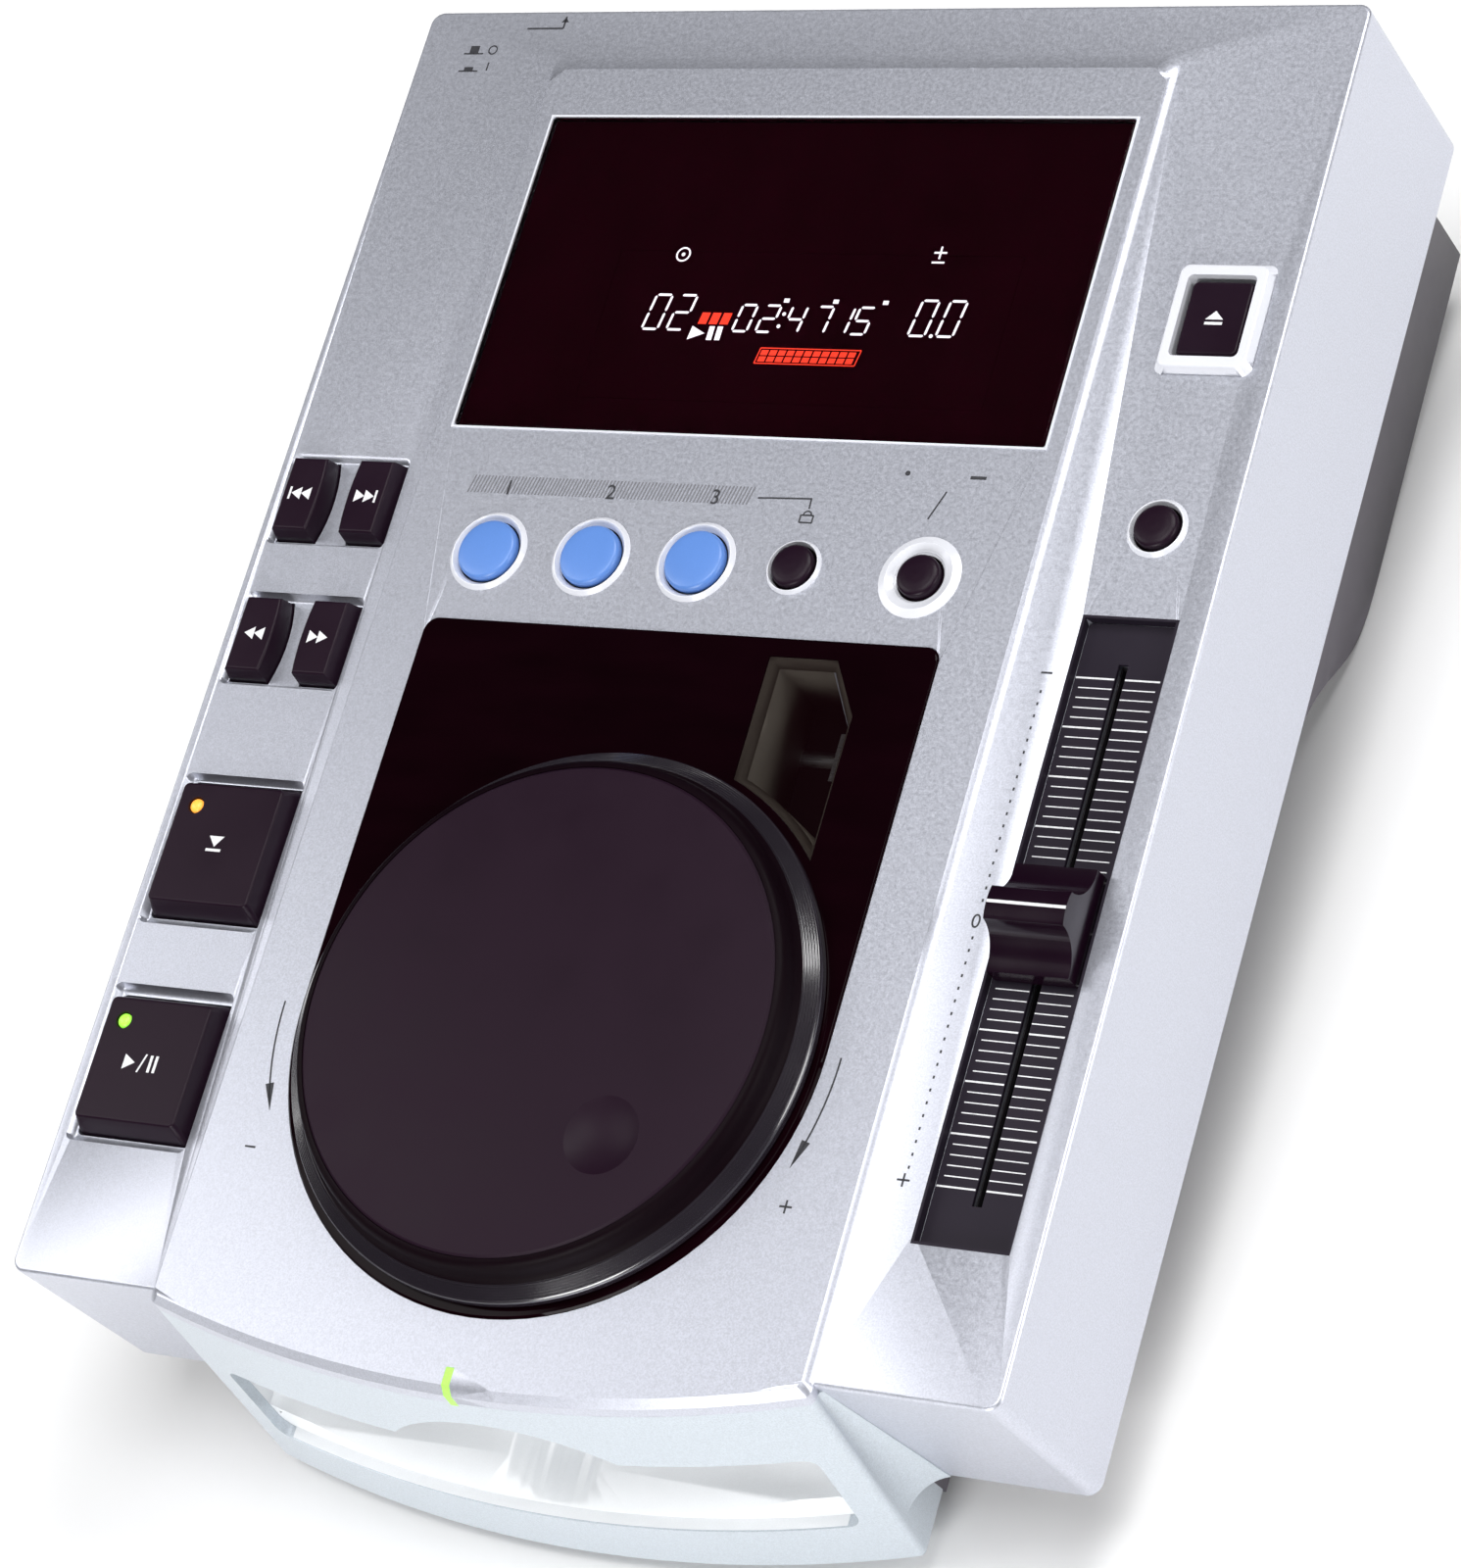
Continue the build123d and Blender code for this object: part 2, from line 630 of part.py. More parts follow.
def jog_plate_outline(margin):
    """U-shaped outline of the jog window."""
    half = PLATE_HALF + margin
    rear = PLATE_REAR_Y + margin
    ends = Polyline((JOG_X + half, JOG_Y), (JOG_X + half, rear), (JOG_X - half, rear), (JOG_X - half, JOG_Y))
    bowl = ThreePointArc((JOG_X - half, JOG_Y), (JOG_X, JOG_Y - half), (JOG_X + half, JOG_Y))
    face = make_face(ends + bowl)
    return fillet(face.vertices().group_by(Axis.Y)[-1], PLATE_CORNER_R)


def view_outline(margin):
    """Clear field of the jog window beside the dial."""
    left = VIEW_LEFT_X - margin
    right = VIEW_RIGHT_X + margin
    rear = VIEW_REAR_Y + margin
    field = make_face(
        Polyline(
            (left, JOG_Y), (left, rear), (VIEW_SLANT_X + margin, rear),
            (right, VIEW_SLANT_Y + margin), (right, JOG_Y),
            close=True,
        )
    )
    return field - Pos(JOG_X, JOG_Y) * Circle(JOG_RIM_R + VIEW_LEDGE - margin)


def window_cuts():
    """Pockets of the two windows and what passes below them."""
    display = grown((DISPLAY_W, DISPLAY_D), INLAY)
    tube = grown((TUBE_W, TUBE_D), GAP)
    deep = CASE_UNDER_Z - 1.0
    return [
        prism(rounded(DISPLAY_X, DISPLAY_Y, display, DISPLAY_R), 0.0, PANEL_RISE + 1.0),
        prism(rounded(TUBE_X, TUBE_Y, tube, DISPLAY_R), deep, 1.0),
        prism(jog_plate_outline(INLAY), 0.0, PANEL_RISE + 1.0),
        prism(view_outline(-VIEW_LEDGE), deep, 1.0),
        post(JOG_X, JOG_Y, deep, 1.0, BUSH_FLANGE_R + 4.0),
    ]


def fader_cuts():
    """Sunk field of the tempo scale and the lever's way through it."""
    half_w = SCALE_W / 2.0
    half_d = SCALE_D / 2.0
    field = recess_cut(
        FADER_X - half_w, FADER_X + half_w, FADER_Y - half_d, FADER_Y + half_d, -PLATE_FLOOR_Z
    )
    way = SLIDE_TRAVEL + LEVER_D / 2.0 + 2.0
    slot = block(
        FADER_X - 1.5, FADER_X + 1.5, FADER_Y - way, FADER_Y + way, PAD_UNDER_Z - 1.0, 0.0
    )
    return [field, slot]


def light_notch(margin):
    """Narrow notch over the nose's edge."""
    half = GUIDE_W / 2.0 + margin
    return block(
        GUIDE_X - half, GUIDE_X + half,
        NOSE_FRONT_Y - 5.0, GUIDE_BACK_Y + margin,
        GUIDE_FOOT_Z - margin, PANEL_RISE + 1.0,
    )


def make_top_case():
    """Silver top case: slab, raised panel and the roof of the nose."""
    case = slab_shell()
    case = case + nose_prism(CASE_UNDER_Z, 0.0, 0.0, FRONT_Y + CASE_WALL)
    case = case + raised_panel()
    for pad in recess_pads():
        case = case + pad
    for x, y in CASE_SCREWS:
        case = case + post(x, y, PAN_PLATE_TOP_Z, CASE_UNDER_Z, BOSS_R)
    for x, y in BOARD_POSTS:
        case = case + post(x, y, BOARD_TOP_Z, CASE_UNDER_Z, POST_R)
    cuts = key_recesses() + key_apertures() + window_cuts() + fader_cuts()
    cuts.append(light_notch(0.0))
    power = Plane.XZ * Pos(POWER_X, POWER_Z) * RectangleRounded(*grown(POWER_CAP, GAP), POWER_CAP_R)
    cuts.append(along_y(power, REAR_Y - CASE_WALL - 1.0, REAR_Y + 1.0))
    for x, y in CASE_SCREWS:
        pilot = SCREW_L - PAN_PLATE_T + 1.0
        cuts.append(post(x, y, PAN_PLATE_TOP_Z - 1.0, PAN_PLATE_TOP_Z + pilot, SCREW_R + FIT))
    for cut in cuts:
        case = case - cut
    return case


# ================================================================ nose
def cove_outline(side, z, radius):
    """Plan outline of the cove at one height."""
    half = PANEL_W / 2.0
    wall_y = FRONT_Y
    centre_x = half + radius
    centre_y = wall_y - radius
    points = []
    for degrees in (180.0, 135.0 + COVE_END / 2.0, 90.0 + COVE_END):
        angle = math.radians(degrees)
        x = centre_x + radius * math.cos(angle)
        points.append((PANEL_X + side * x, centre_y + radius * math.sin(angle)))
    root_x = PANEL_X + side * (half - 1.0)
    frame = Polyline(points[2], (points[2][0], wall_y), (root_x, wall_y), (root_x, centre_y), points[0])
    return (Pos(0, 0, z) * make_face(frame + ThreePointArc(*points))).face()


def flank_cove(side):
    """Hollow fillet where a flank meets the slab's front; it widens downwards."""
    upper = cove_outline(side, CASE_UNDER_Z, COVE_TOP_R)
    return loft([cove_outline(side, -CASE_H_FRONT, COVE_FOOT_R), upper], ruled=True)


def mouth_cut():
    """Mouth with a finger arch in its upper edge, cut from the front."""
    height = MOUTH_TOP_Z - MOUTH_LIP_Z
    middle = (MOUTH_TOP_Z + MOUTH_LIP_Z) / 2.0
    letterbox = Pos(PANEL_X, middle) * RectangleRounded(MOUTH_W, height, MOUTH_CORNER_R)
    arch = Pos(GROOVE_X, ARCH_TOP_Z - ARCH_R) * Circle(ARCH_R)
    keep = Pos(GROOVE_X, MOUTH_LIP_Z + MOUTH_CORNER_R + 50.0) * Rectangle(4.0 * ARCH_R, 100.0)
    outline = letterbox + (arch & keep)
    face = Plane.XZ * outline
    return along_y(face, NOSE_FRONT_Y - 20.0, THROAT_BACK_Y)


def make_nose():
    """Silver nose: bowed front with the mouth, flanks and floor."""
    back = FRONT_Y
    outer = nose_prism(NOSE_BOTTOM_Z, CASE_UNDER_Z, 0.0, back)
    rim = outer.faces().sort_by(Axis.Z)[0].edges().group_by(Axis.Y)
    outer = fillet([edge for group in rim[:-1] for edge in group], NOSE_EDGE_R)
    floor_z = NOSE_BOTTOM_Z + CASE_WALL
    inner = nose_prism(floor_z, CASE_UNDER_Z + 1.0, CASE_WALL, back + 1.0)
    nose = outer - inner
    for side in (-1.0, 1.0):
        nose = nose + flank_cove(side)
    nose = nose - mouth_cut()
    return nose - light_notch(0.0)


def make_light_guide():
    """Thin light guide that bends over the nose's edge."""
    skin = nose_prism(CASE_UNDER_Z, 0.0, 0.0, FRONT_Y) + raised_panel()
    skin = skin + nose_prism(GUIDE_FOOT_Z, CASE_UNDER_Z, 0.0, FRONT_Y)
    inner = nose_prism(GUIDE_FOOT_Z - 1.0, CASE_UNDER_Z, CASE_WALL, FRONT_Y)
    return (skin - inner) & light_notch(-FIT)


def make_throat():
    """Pale lining of the mouth: ramp, floor, finger groove and slotted back."""
    half = MOUTH_W / 2.0
    box = block(
        PANEL_X - half - THROAT_WALL, PANEL_X + half + THROAT_WALL,
        NOSE_FRONT_Y - 15.0, THROAT_BACK_Y,
        THROAT_BASE_Z, THROAT_CEILING_Z + THROAT_WALL,
    )
    fit_in = nose_prism(NOSE_BOTTOM_Z, CASE_UNDER_Z, CASE_WALL + FIT, FRONT_Y)
    lining = box & fit_in
    tunnel = block(
        PANEL_X - half, PANEL_X + half,
        NOSE_FRONT_Y - 20.0, THROAT_BACK_Y - THROAT_WALL,
        THROAT_FLOOR_Z, THROAT_CEILING_Z,
    )
    ramp = make_face(
        Plane.YZ * Polyline(
            (RAMP_TOP_Y, THROAT_FLOOR_Z + 0.01),
            (RAMP_FOOT_Y, MOUTH_LIP_Z),
            (NOSE_FRONT_Y - 20.0, MOUTH_LIP_Z),
            (NOSE_FRONT_Y - 20.0, THROAT_FLOOR_Z + 0.01),
            close=True,
        )
    )
    ramp = along_x(ramp, PANEL_X - half, PANEL_X + half)
    groove_z = THROAT_FLOOR_Z - GROOVE_DEPTH + GROOVE_R
    groove = rod_y(GROOVE_X, NOSE_FRONT_Y - 20.0, THROAT_BACK_Y - THROAT_WALL, groove_z, GROOVE_R)
    slot = block(
        PANEL_X - SLOT_W / 2.0, PANEL_X + SLOT_W / 2.0,
        THROAT_BACK_Y - 3.0 * THROAT_WALL, THROAT_BACK_Y + 1.0,
        DISC_Z - SLOT_H / 2.0, DISC_Z + SLOT_H / 2.0,
    )
    lining = lining - tunnel - ramp - groove - slot
    keep = GROOVE_R + THROAT_WALL
    for side in (-1.0, 1.0):
        x0, x1 = sorted((GROOVE_X + side * keep, PANEL_X + side * (half - THROAT_WALL)))
        lining = lining - block(
            x0, x1, RAMP_TOP_Y + THROAT_WALL, THROAT_BACK_Y - THROAT_WALL,
            THROAT_BASE_Z - 1.0, THROAT_FLOOR_Z - THROAT_WALL,
        )
    return lining


def make_slot_lips():
    """Two dust strips behind the slot."""
    half = SLOT_W / 2.0
    y0 = THROAT_BACK_Y
    strips = []
    for side in (-1.0, 1.0):
        z0, z1 = sorted((DISC_Z + side * LIP_GAP / 2.0, DISC_Z + side * (SLOT_H / 2.0 + 1.5)))
        strips.append(block(PANEL_X - half, PANEL_X + half, y0, y0 + LIP_T, z0, z1))
    return Compound(children=strips)


# ================================================================ lower case
def pan_side(inset):
    """Side view of the deep rear part with its S-shaped underside."""
    bottom = PAN_BOTTOM_Z + inset
    curve = [
        (PAN_REAR_Y - reach + inset * 0.6, bottom + rise + inset * 0.2) for reach, rise in S_CURVE
    ]
    curve[0] = (curve[0][0], bottom)
    belly = Spline(*curve, tangents=[(-1.0, 0.0), (-0.8, 0.6)])
    top = max(PAN_PLATE_TOP_Z, curve[-1][1]) + inset
    frame = Polyline(
        curve[-1], (curve[-1][0], top), (PAN_REAR_Y - inset, top), (PAN_REAR_Y - inset, bottom), curve[0]
    )
    return make_face(Plane.YZ * (belly + frame))


def make_lower_case():
    """Dark lower case: base plate, shallow front tray and deep rear pan."""
    half_w = CASE_W / 2.0 - CASE_WALL - FIT
    half_d = REAR_Y - CASE_WALL - FIT
    plate = block(-half_w, half_w, -half_d, half_d, PAN_PLATE_UNDER_Z, PAN_PLATE_TOP_Z)
    pan_half = PAN_W / 2.0
    pan = along_x(pan_side(0.0), -pan_half, pan_half)
    over = block(-CASE_W, CASE_W, -CASE_D, CASE_D, PAN_PLATE_TOP_Z, 0.0)
    pan = pan - over
    tray_half = PANEL_W / 2.0
    front = FRONT_Y
    tray = block(
        PANEL_X - tray_half, PANEL_X + tray_half, front, TRAY_END_Y, NOSE_BOTTOM_Z, PAN_PLATE_UNDER_Z
    )
    outer = plate + pan + tray
    inner_half = pan_half - PAN_WALL
    hollow = along_x(pan_side(PAN_WALL), -inner_half, inner_half)
    mouth = block(
        PANEL_X - tray_half + PAN_WALL, PANEL_X + tray_half - PAN_WALL,
        front - 1.0, TRAY_END_Y + PAN_WALL, TRAY_FLOOR_Z, 0.0,
    )
    back = block(-inner_half, inner_half, PAN_REAR_Y - 5.0, PAN_REAR_Y + 1.0, PAN_FLOOR_Z, PAN_PLATE_UNDER_Z)
    case = outer - hollow - mouth - back
    for x, y in DAMPER_AT:
        case = case + (outer & post(JOG_X + x, y, PAN_BOTTOM_Z, MECH_BASE_Z - DAMPER_H, DAMPER_R))
    for x, y in board_corners(MAIN_BOARD) + board_corners(POWER_BOARD):
        case = case + post(x, y, PAN_FLOOR_Z, PAN_FLOOR_Z + STANDOFF_H, STANDOFF_R)
    for x, y in CASE_SCREWS:
        case = case - post(x, y, PAN_PLATE_UNDER_Z - 1.0, PAN_PLATE_TOP_Z + 1.0, SCREW_R + SCREW_CLEAR)
    return case - block(-CASE_W, CASE_W, 2.0 * front, -half_d, -CASE_H_FRONT - FIT, 0.0)


def make_feet():
    """Four tapered rubber feet whose soles lie in the table's plane."""
    feet = []
    for y, ground, reach in ((-FOOT_Y, NOSE_BOTTOM_Z, FOOT_X_FRONT), (FOOT_Y, PAN_BOTTOM_Z, FOOT_X_REAR)):
        for side in (-1.0, 1.0):
            cone = Pos(0, 0, FOOT_H) * Cone(FOOT_R - FOOT_TAPER, FOOT_R, 2.0 * FOOT_H)
            cone = Pos(side * reach, y, ground - FOOT_H) * Rot(-TILT, 0, 0) * cone
            over = block(-CASE_W, CASE_W, -CASE_D, CASE_D, ground, 0.0)
            feet.append((cone - over).solid())
    return Compound(children=feet)


def make_rear_panel():
    """Steel panel that closes the pan and carries the sockets."""
    half = PAN_W / 2.0 - PAN_WALL - FIT
    panel = block(-half, half, REAR_PANEL_Y, PAN_REAR_Y, PAN_FLOOR_Z + FIT, PAN_PLATE_UNDER_Z - FIT)
    for x in PHONO_X:
        panel = panel - rod_y(x, REAR_PANEL_Y - 1.0, PAN_REAR_Y + 1.0, SOCKET_Z, PHONO_BARREL_R + INLAY)
    panel = panel - rod_y(JACK_X, REAR_PANEL_Y - 1.0, PAN_REAR_Y + 1.0, SOCKET_Z, JACK_R + INLAY)
    size = grown(INLET_BODY, INLAY)
    opening = Plane.XZ * Pos(INLET_X, SOCKET_Z) * RectangleRounded(*size, size[1] / 3.0)
    return panel - along_y(opening, REAR_PANEL_Y - 1.0, PAN_REAR_Y + 1.0)


def make_case_screws():
    """Pan-head screws that hold the lower case to the top case."""
    screws = []
    for x, y in CASE_SCREWS:
        head = post(x, y, PAN_PLATE_UNDER_Z - SCREW_HEAD_H, PAN_PLATE_UNDER_Z, SCREW_HEAD_R)
        head = chamfer(head.faces().sort_by(Axis.Z)[0].edges(), SCREW_HEAD_H / 3.0)
        shank = post(x, y, PAN_PLATE_UNDER_Z, PAN_PLATE_UNDER_Z + SCREW_L, SCREW_R)
        screws.append((head + shank).solid())
    return Compound(children=screws)


# ================================================================ windows
def make_display_window():
    """Gloss window over the display tube."""
    outline = rounded(DISPLAY_X, DISPLAY_Y, (DISPLAY_W, DISPLAY_D), DISPLAY_R)
    window = prism(outline, 0.0, DISPLAY_T)
    return chamfer(window.faces().sort_by(Axis.Z)[-1].edges(), WINDOW_CHAMFER)


def make_display_tube():
    """Flat display tube standing on the centre board."""
    glass = prism(rounded(TUBE_X, TUBE_Y, (TUBE_W, TUBE_D), DISPLAY_R), -TUBE_T, -INLAY)
    foot = prism(rounded(TUBE_X, TUBE_Y, grown((TUBE_W, TUBE_D), -5.0), DISPLAY_R), BOARD_TOP_Z, -TUBE_T)
    tip = rod_x(
        TUBE_X + TUBE_W / 2.0 - 1.0, TUBE_X + TUBE_W / 2.0 + GAP / 2.0, TUBE_Y, -TUBE_T / 2.0, 1.0
    )
    return glass + foot + tip


def make_jog_window():
    """Gloss U-shaped plate under the dial, with its clear field cut out."""
    plate = prism(jog_plate_outline(0.0), 0.0, PLATE_T)
    plate = chamfer(plate.faces().sort_by(Axis.Z)[-1].edges(), WINDOW_CHAMFER)
    plate = plate - post(JOG_X, JOG_Y, -1.0, PLATE_T + 1.0, JOG_HUB_R + 2.0)
    return plate - prism(view_outline(0.0), -1.0, PLATE_T + 1.0)


def make_view_window():
    """Clear pane through which the turning disc is seen."""
    return prism(view_outline(-FIT), 0.0, PLATE_T)


# ================================================================ jog dial
def make_jog_dial():
    """Jog dial: flat matt top, waisted side and flared rim, hollow below."""
    under = PLATE_T + GAP
    top = JOG_TOP_Z
    skin = JOG_SKIN
    ceiling = top - JOG_TOP_T
    hub_end = BUSH_TOP_Z + GAP
    bore = JOG_SHAFT_R + FIT
    profile = [
        (bore, ceiling),
        (0.0, ceiling),
        (0.0, top),
        (JOG_TOP_R - 0.8, top),
        (JOG_TOP_R, top - 0.5),
        (JOG_TOP_R, top - 1.2),
        (JOG_TOP_R - 0.5, top - 2.0),
        (JOG_TOP_R - 0.4, JOG_WAIST_Z + 0.6),
        (JOG_TOP_R + 0.3, JOG_WAIST_Z),
        (JOG_RIM_R - 0.5, JOG_RIM_Z + 0.3),
        (JOG_RIM_R, JOG_RIM_Z - 0.2),
        (JOG_RIM_R, under),
        (JOG_RIM_R - skin, under),
        (JOG_RIM_R - skin, JOG_RIM_Z - skin),
        (JOG_TOP_R - skin, JOG_WAIST_Z - skin),
        (JOG_TOP_R - 2.0 * skin, ceiling),
        (JOG_HUB_R, ceiling),
        (JOG_HUB_R, hub_end),
        (bore, hub_end),
    ]
    dial = turned(profile, JOG_X, JOG_Y)
    angle = math.radians(DIMPLE_ANGLE)
    ball_r = ((DIMPLE_D / 2.0) ** 2 + DIMPLE_DEPTH**2) / (2.0 * DIMPLE_DEPTH)
    ball = Pos(
        JOG_X + DIMPLE_AT * math.cos(angle),
        JOG_Y + DIMPLE_AT * math.sin(angle),
        top - DIMPLE_DEPTH + ball_r,
    ) * Sphere(ball_r)
    return dial - ball


def make_jog_shaft():
    """Steel shaft of the jog dial."""
    ceiling = JOG_TOP_Z - JOG_TOP_T
    return post(JOG_X, JOG_Y, ENCODER_TOP_Z - ENCODER_T - 1.5, ceiling, JOG_SHAFT_R)


def make_encoder_disc():
    """Slotted disc on the lower end of the shaft."""
    low = ENCODER_TOP_Z - ENCODER_T
    disc = post(JOG_X, JOG_Y, low, ENCODER_TOP_Z, ENCODER_R)
    disc = disc + post(JOG_X, JOG_Y, low - 1.2, ENCODER_TOP_Z, ENCODER_HUB_R)
    disc = disc - post(JOG_X, JOG_Y, low - 2.0, ENCODER_TOP_Z + 1.0, JOG_SHAFT_R)
    middle = ENCODER_R - ENCODER_SLOT_L / 2.0 - 1.0
    slot = Pos(middle, 0, low + ENCODER_T / 2.0) * Box(ENCODER_SLOT_L, ENCODER_SLOT_W, 2.0 * ENCODER_T)
    for step in range(ENCODER_SLOTS):
        turn = Rot(0, 0, step * 360.0 / ENCODER_SLOTS)
        disc = disc - Pos(JOG_X, JOG_Y, 0) * turn * slot
    return disc


def make_jog_bracket():
    """Steel bracket under the case floor that holds the bush."""
    low = CASE_UNDER_Z - BRACKET_T
    bracket = post(JOG_X, JOG_Y, low, CASE_UNDER_Z, BRACKET_R)
    return bracket - post(JOG_X, JOG_Y, low - 1.0, 0.0, BUSH_R)


def make_jog_bush():
    """Flanged bush for the jog shaft."""
    bore = JOG_SHAFT_R + FIT
    profile = [
        (bore, BUSH_BOTTOM_Z),
        (BUSH_R, BUSH_BOTTOM_Z),
        (BUSH_R, CASE_UNDER_Z),
        (BUSH_FLANGE_R, CASE_UNDER_Z),
        (BUSH_FLANGE_R, CASE_UNDER_Z + BRACKET_T),
        (BUSH_R, CASE_UNDER_Z + BRACKET_T),
        (BUSH_R, BUSH_TOP_Z),
        (bore, BUSH_TOP_Z),
    ]
    return turned(profile, JOG_X, JOG_Y)


def make_jog_sensor():
    """Forked light gate over the rim of the slotted disc."""
    half = SENSOR_W / 2.0
    top = CASE_UNDER_Z - BRACKET_T
    mid = ENCODER_TOP_Z - ENCODER_T / 2.0
    near = JOG_Y + ENCODER_R - SENSOR_REACH
    far = JOG_Y + ENCODER_R + SENSOR_REACH
    body = block(JOG_X - half, JOG_X + half, near, far, mid - SENSOR_SLOT - 1.2, top)
    return body - block(
        JOG_X - half - 1.0, JOG_X + half + 1.0, near - 1.0, JOG_Y + ENCODER_R + 1.0,
        mid - SENSOR_SLOT / 2.0, mid + SENSOR_SLOT / 2.0,
    )


# ================================================================ keys
def hollow_cap(outer, base, z_flange, z_top, x, y):
    """Hollow a keycap from below and give it its stem."""
    low = z_flange - KEY_FLANGE_T
    room = prism(base, low - 1.0, z_top - KEY_WALL - KEY_EDGE_R)
    stem = post(x, y, STEM_END_Z, z_top - KEY_WALL, STEM_R)
    return (outer - room) + stem


def drafted_key(x, y, base, top, z_base, z_top, z_under):
    """Rectangular key: drafted cap, straight skirt, flange below the case."""
    z_flange = z_under - GAP
    foot = (Pos(0, 0, z_base) * rounded(x, y, base, KEY_CORNER_R)).face()
    crown = (Pos(0, 0, z_top) * rounded(x, y, top, KEY_CORNER_R)).face()
    cap = loft([foot, crown], ruled=True)
    cap = fillet(cap.faces().sort_by(Axis.Z)[-1].edges(), KEY_EDGE_R)
    skirt = prism(rounded(x, y, base, KEY_CORNER_R), z_flange - KEY_FLANGE_T, z_base)
    lip = rounded(x, y, grown(base, KEY_FLANGE), KEY_CORNER_R)
    cap = cap + skirt + prism(lip, z_flange - KEY_FLANGE_T, z_flange)
    room = rounded(x, y, grown(top, -KEY_WALL), KEY_CORNER_R / 2.0)
    return hollow_cap(cap, room, z_flange, z_top, x, y)


def big_key(y):
    """Cue or play key with the hole for its lamp."""
    key = drafted_key(BIG_KEY_X, y, BIG_KEY_BASE, BIG_KEY_TOP, -RECESS_DEPTH, KEY_TOP_Z, PAD_UNDER_Z)
    return key - post(BIG_KEY_X + LAMP_DX, y + LAMP_DY, -20.0, KEY_TOP_Z + 1.0, LAMP_R + GAP)


def pair_outline(side, y, size, bulge, margin):
    """Outline of one key of a pair, bulging towards its neighbour."""
    x = PAIR_X + side * PAIR_KEY_X
    out_x = x + side * (size[0] / 2.0 + margin)
    in_x = x - side * (size[0] / 2.0 - bulge + margin)
    top_y = y + size[1] / 2.0 + margin
    low_y = y - size[1] / 2.0 - margin
    frame = Polyline((in_x, top_y), (out_x, top_y), (out_x, low_y), (in_x, low_y))
    bow = ThreePointArc((in_x, low_y), (in_x - side * bulge, y), (in_x, top_y))
    return make_face(frame + bow)


def pair_base(side, y, margin):
    """Outline of a pair key at the floor of its recess."""
    return pair_outline(side, y, PAIR_KEY_BASE, PAIR_BULGE, margin)


def pair_key(side, y):
    """Key of the track pair or the search pair."""
    x = PAIR_X + side * PAIR_KEY_X
    z_flange = PAD_UNDER_Z - GAP
    base = pair_base(side, y, 0.0)
    top = pair_outline(side, y, PAIR_KEY_TOP, PAIR_BULGE / 3.0, 0.0)
    foot = (Pos(0, 0, -RECESS_DEPTH) * base).face()
    crown = (Pos(0, 0, PAIR_TOP_Z) * top).face()
    cap = loft([foot, crown], ruled=True)
    cap = fillet(cap.faces().sort_by(Axis.Z)[-1].edges(), KEY_EDGE_R)
    skirt = prism(base, z_flange - KEY_FLANGE_T, -RECESS_DEPTH)
    lip = pair_base(side, y, KEY_FLANGE)
    cap = cap + skirt + prism(lip, z_flange - KEY_FLANGE_T, z_flange)
    room = rounded(x, y, grown(PAIR_KEY_TOP, -PAIR_WALL), PAIR_WALL / 2.0)
    return hollow_cap(cap, room, z_flange, PAIR_TOP_Z, x, y)


def make_eject_frame():
    """Raised silver frame with a sleeve through the case."""
    crest = grown(EJECT_FRAME, -EJECT_FRAME_SLOPE)
    lower = rounded(EJECT_X, EJECT_Y, EJECT_FRAME, 2.0).face()
    upper = (Pos(0, 0, EJECT_FRAME_H) * rounded(EJECT_X, EJECT_Y, crest, 2.0)).face()
    frame = loft([lower, upper], ruled=True)
    frame = fillet(frame.faces().sort_by(Axis.Z)[-1].edges(), KEY_EDGE_R)
    sleeve = grown(EJECT_HOLE, EJECT_SLEEVE)
    frame = frame + prism(rounded(EJECT_X, EJECT_Y, sleeve, KEY_CORNER_R), CASE_UNDER_Z, 0.0)
    hole = rounded(EJECT_X, EJECT_Y, EJECT_HOLE, KEY_CORNER_R)
    return frame - prism(hole, CASE_UNDER_Z - 1.0, EJECT_FRAME_H + 1.0)


def make_eject_key():
    """Flat eject key inside its frame."""
    top = grown(EJECT_KEY, -0.4)
    return drafted_key(EJECT_X, EJECT_Y, EJECT_KEY, top, -1.0, EJECT_TOP_Z, CASE_UNDER_Z)


def make_lamps():
    """Two lamps that shine through the cue and play keys."""
    lamps = []
    for y in (CUE_KEY_Y, PLAY_KEY_Y):
        x = BIG_KEY_X + LAMP_DX
        stalk = post(x, y + LAMP_DY, BOARD_TOP_Z, KEY_TOP_Z - LAMP_R / 2.0, LAMP_R)
        dome = Pos(x, y + LAMP_DY, KEY_TOP_Z - LAMP_R / 2.0) * Sphere(LAMP_R)
        lamps.append((stalk + dome).solid())
    return Compound(children=lamps)


# ================================================================ round buttons
def button_ring(x, y, seat_z, ring_r, hole_r, slope):
    """Ring with a sleeve through the case and a bright slope inside."""
    crest = seat_z + RING_H
    sleeve = hole_r + RING_SLEEVE
    profile = [
        (hole_r, CASE_UNDER_Z),
        (sleeve, CASE_UNDER_Z),
        (sleeve, seat_z),
        (ring_r, seat_z),
        (ring_r, seat_z + RING_FOOT),
        (ring_r - 0.4, crest),
        (min(hole_r + slope, ring_r - 0.6), crest),
        (hole_r, seat_z - RING_H),
    ]
    return turned(profile, x, y)


def make_button_rings():
    """Rings of all six round buttons."""
    return Compound(children=[button_ring(*values) for values in ROUND_BUTTONS.values()])


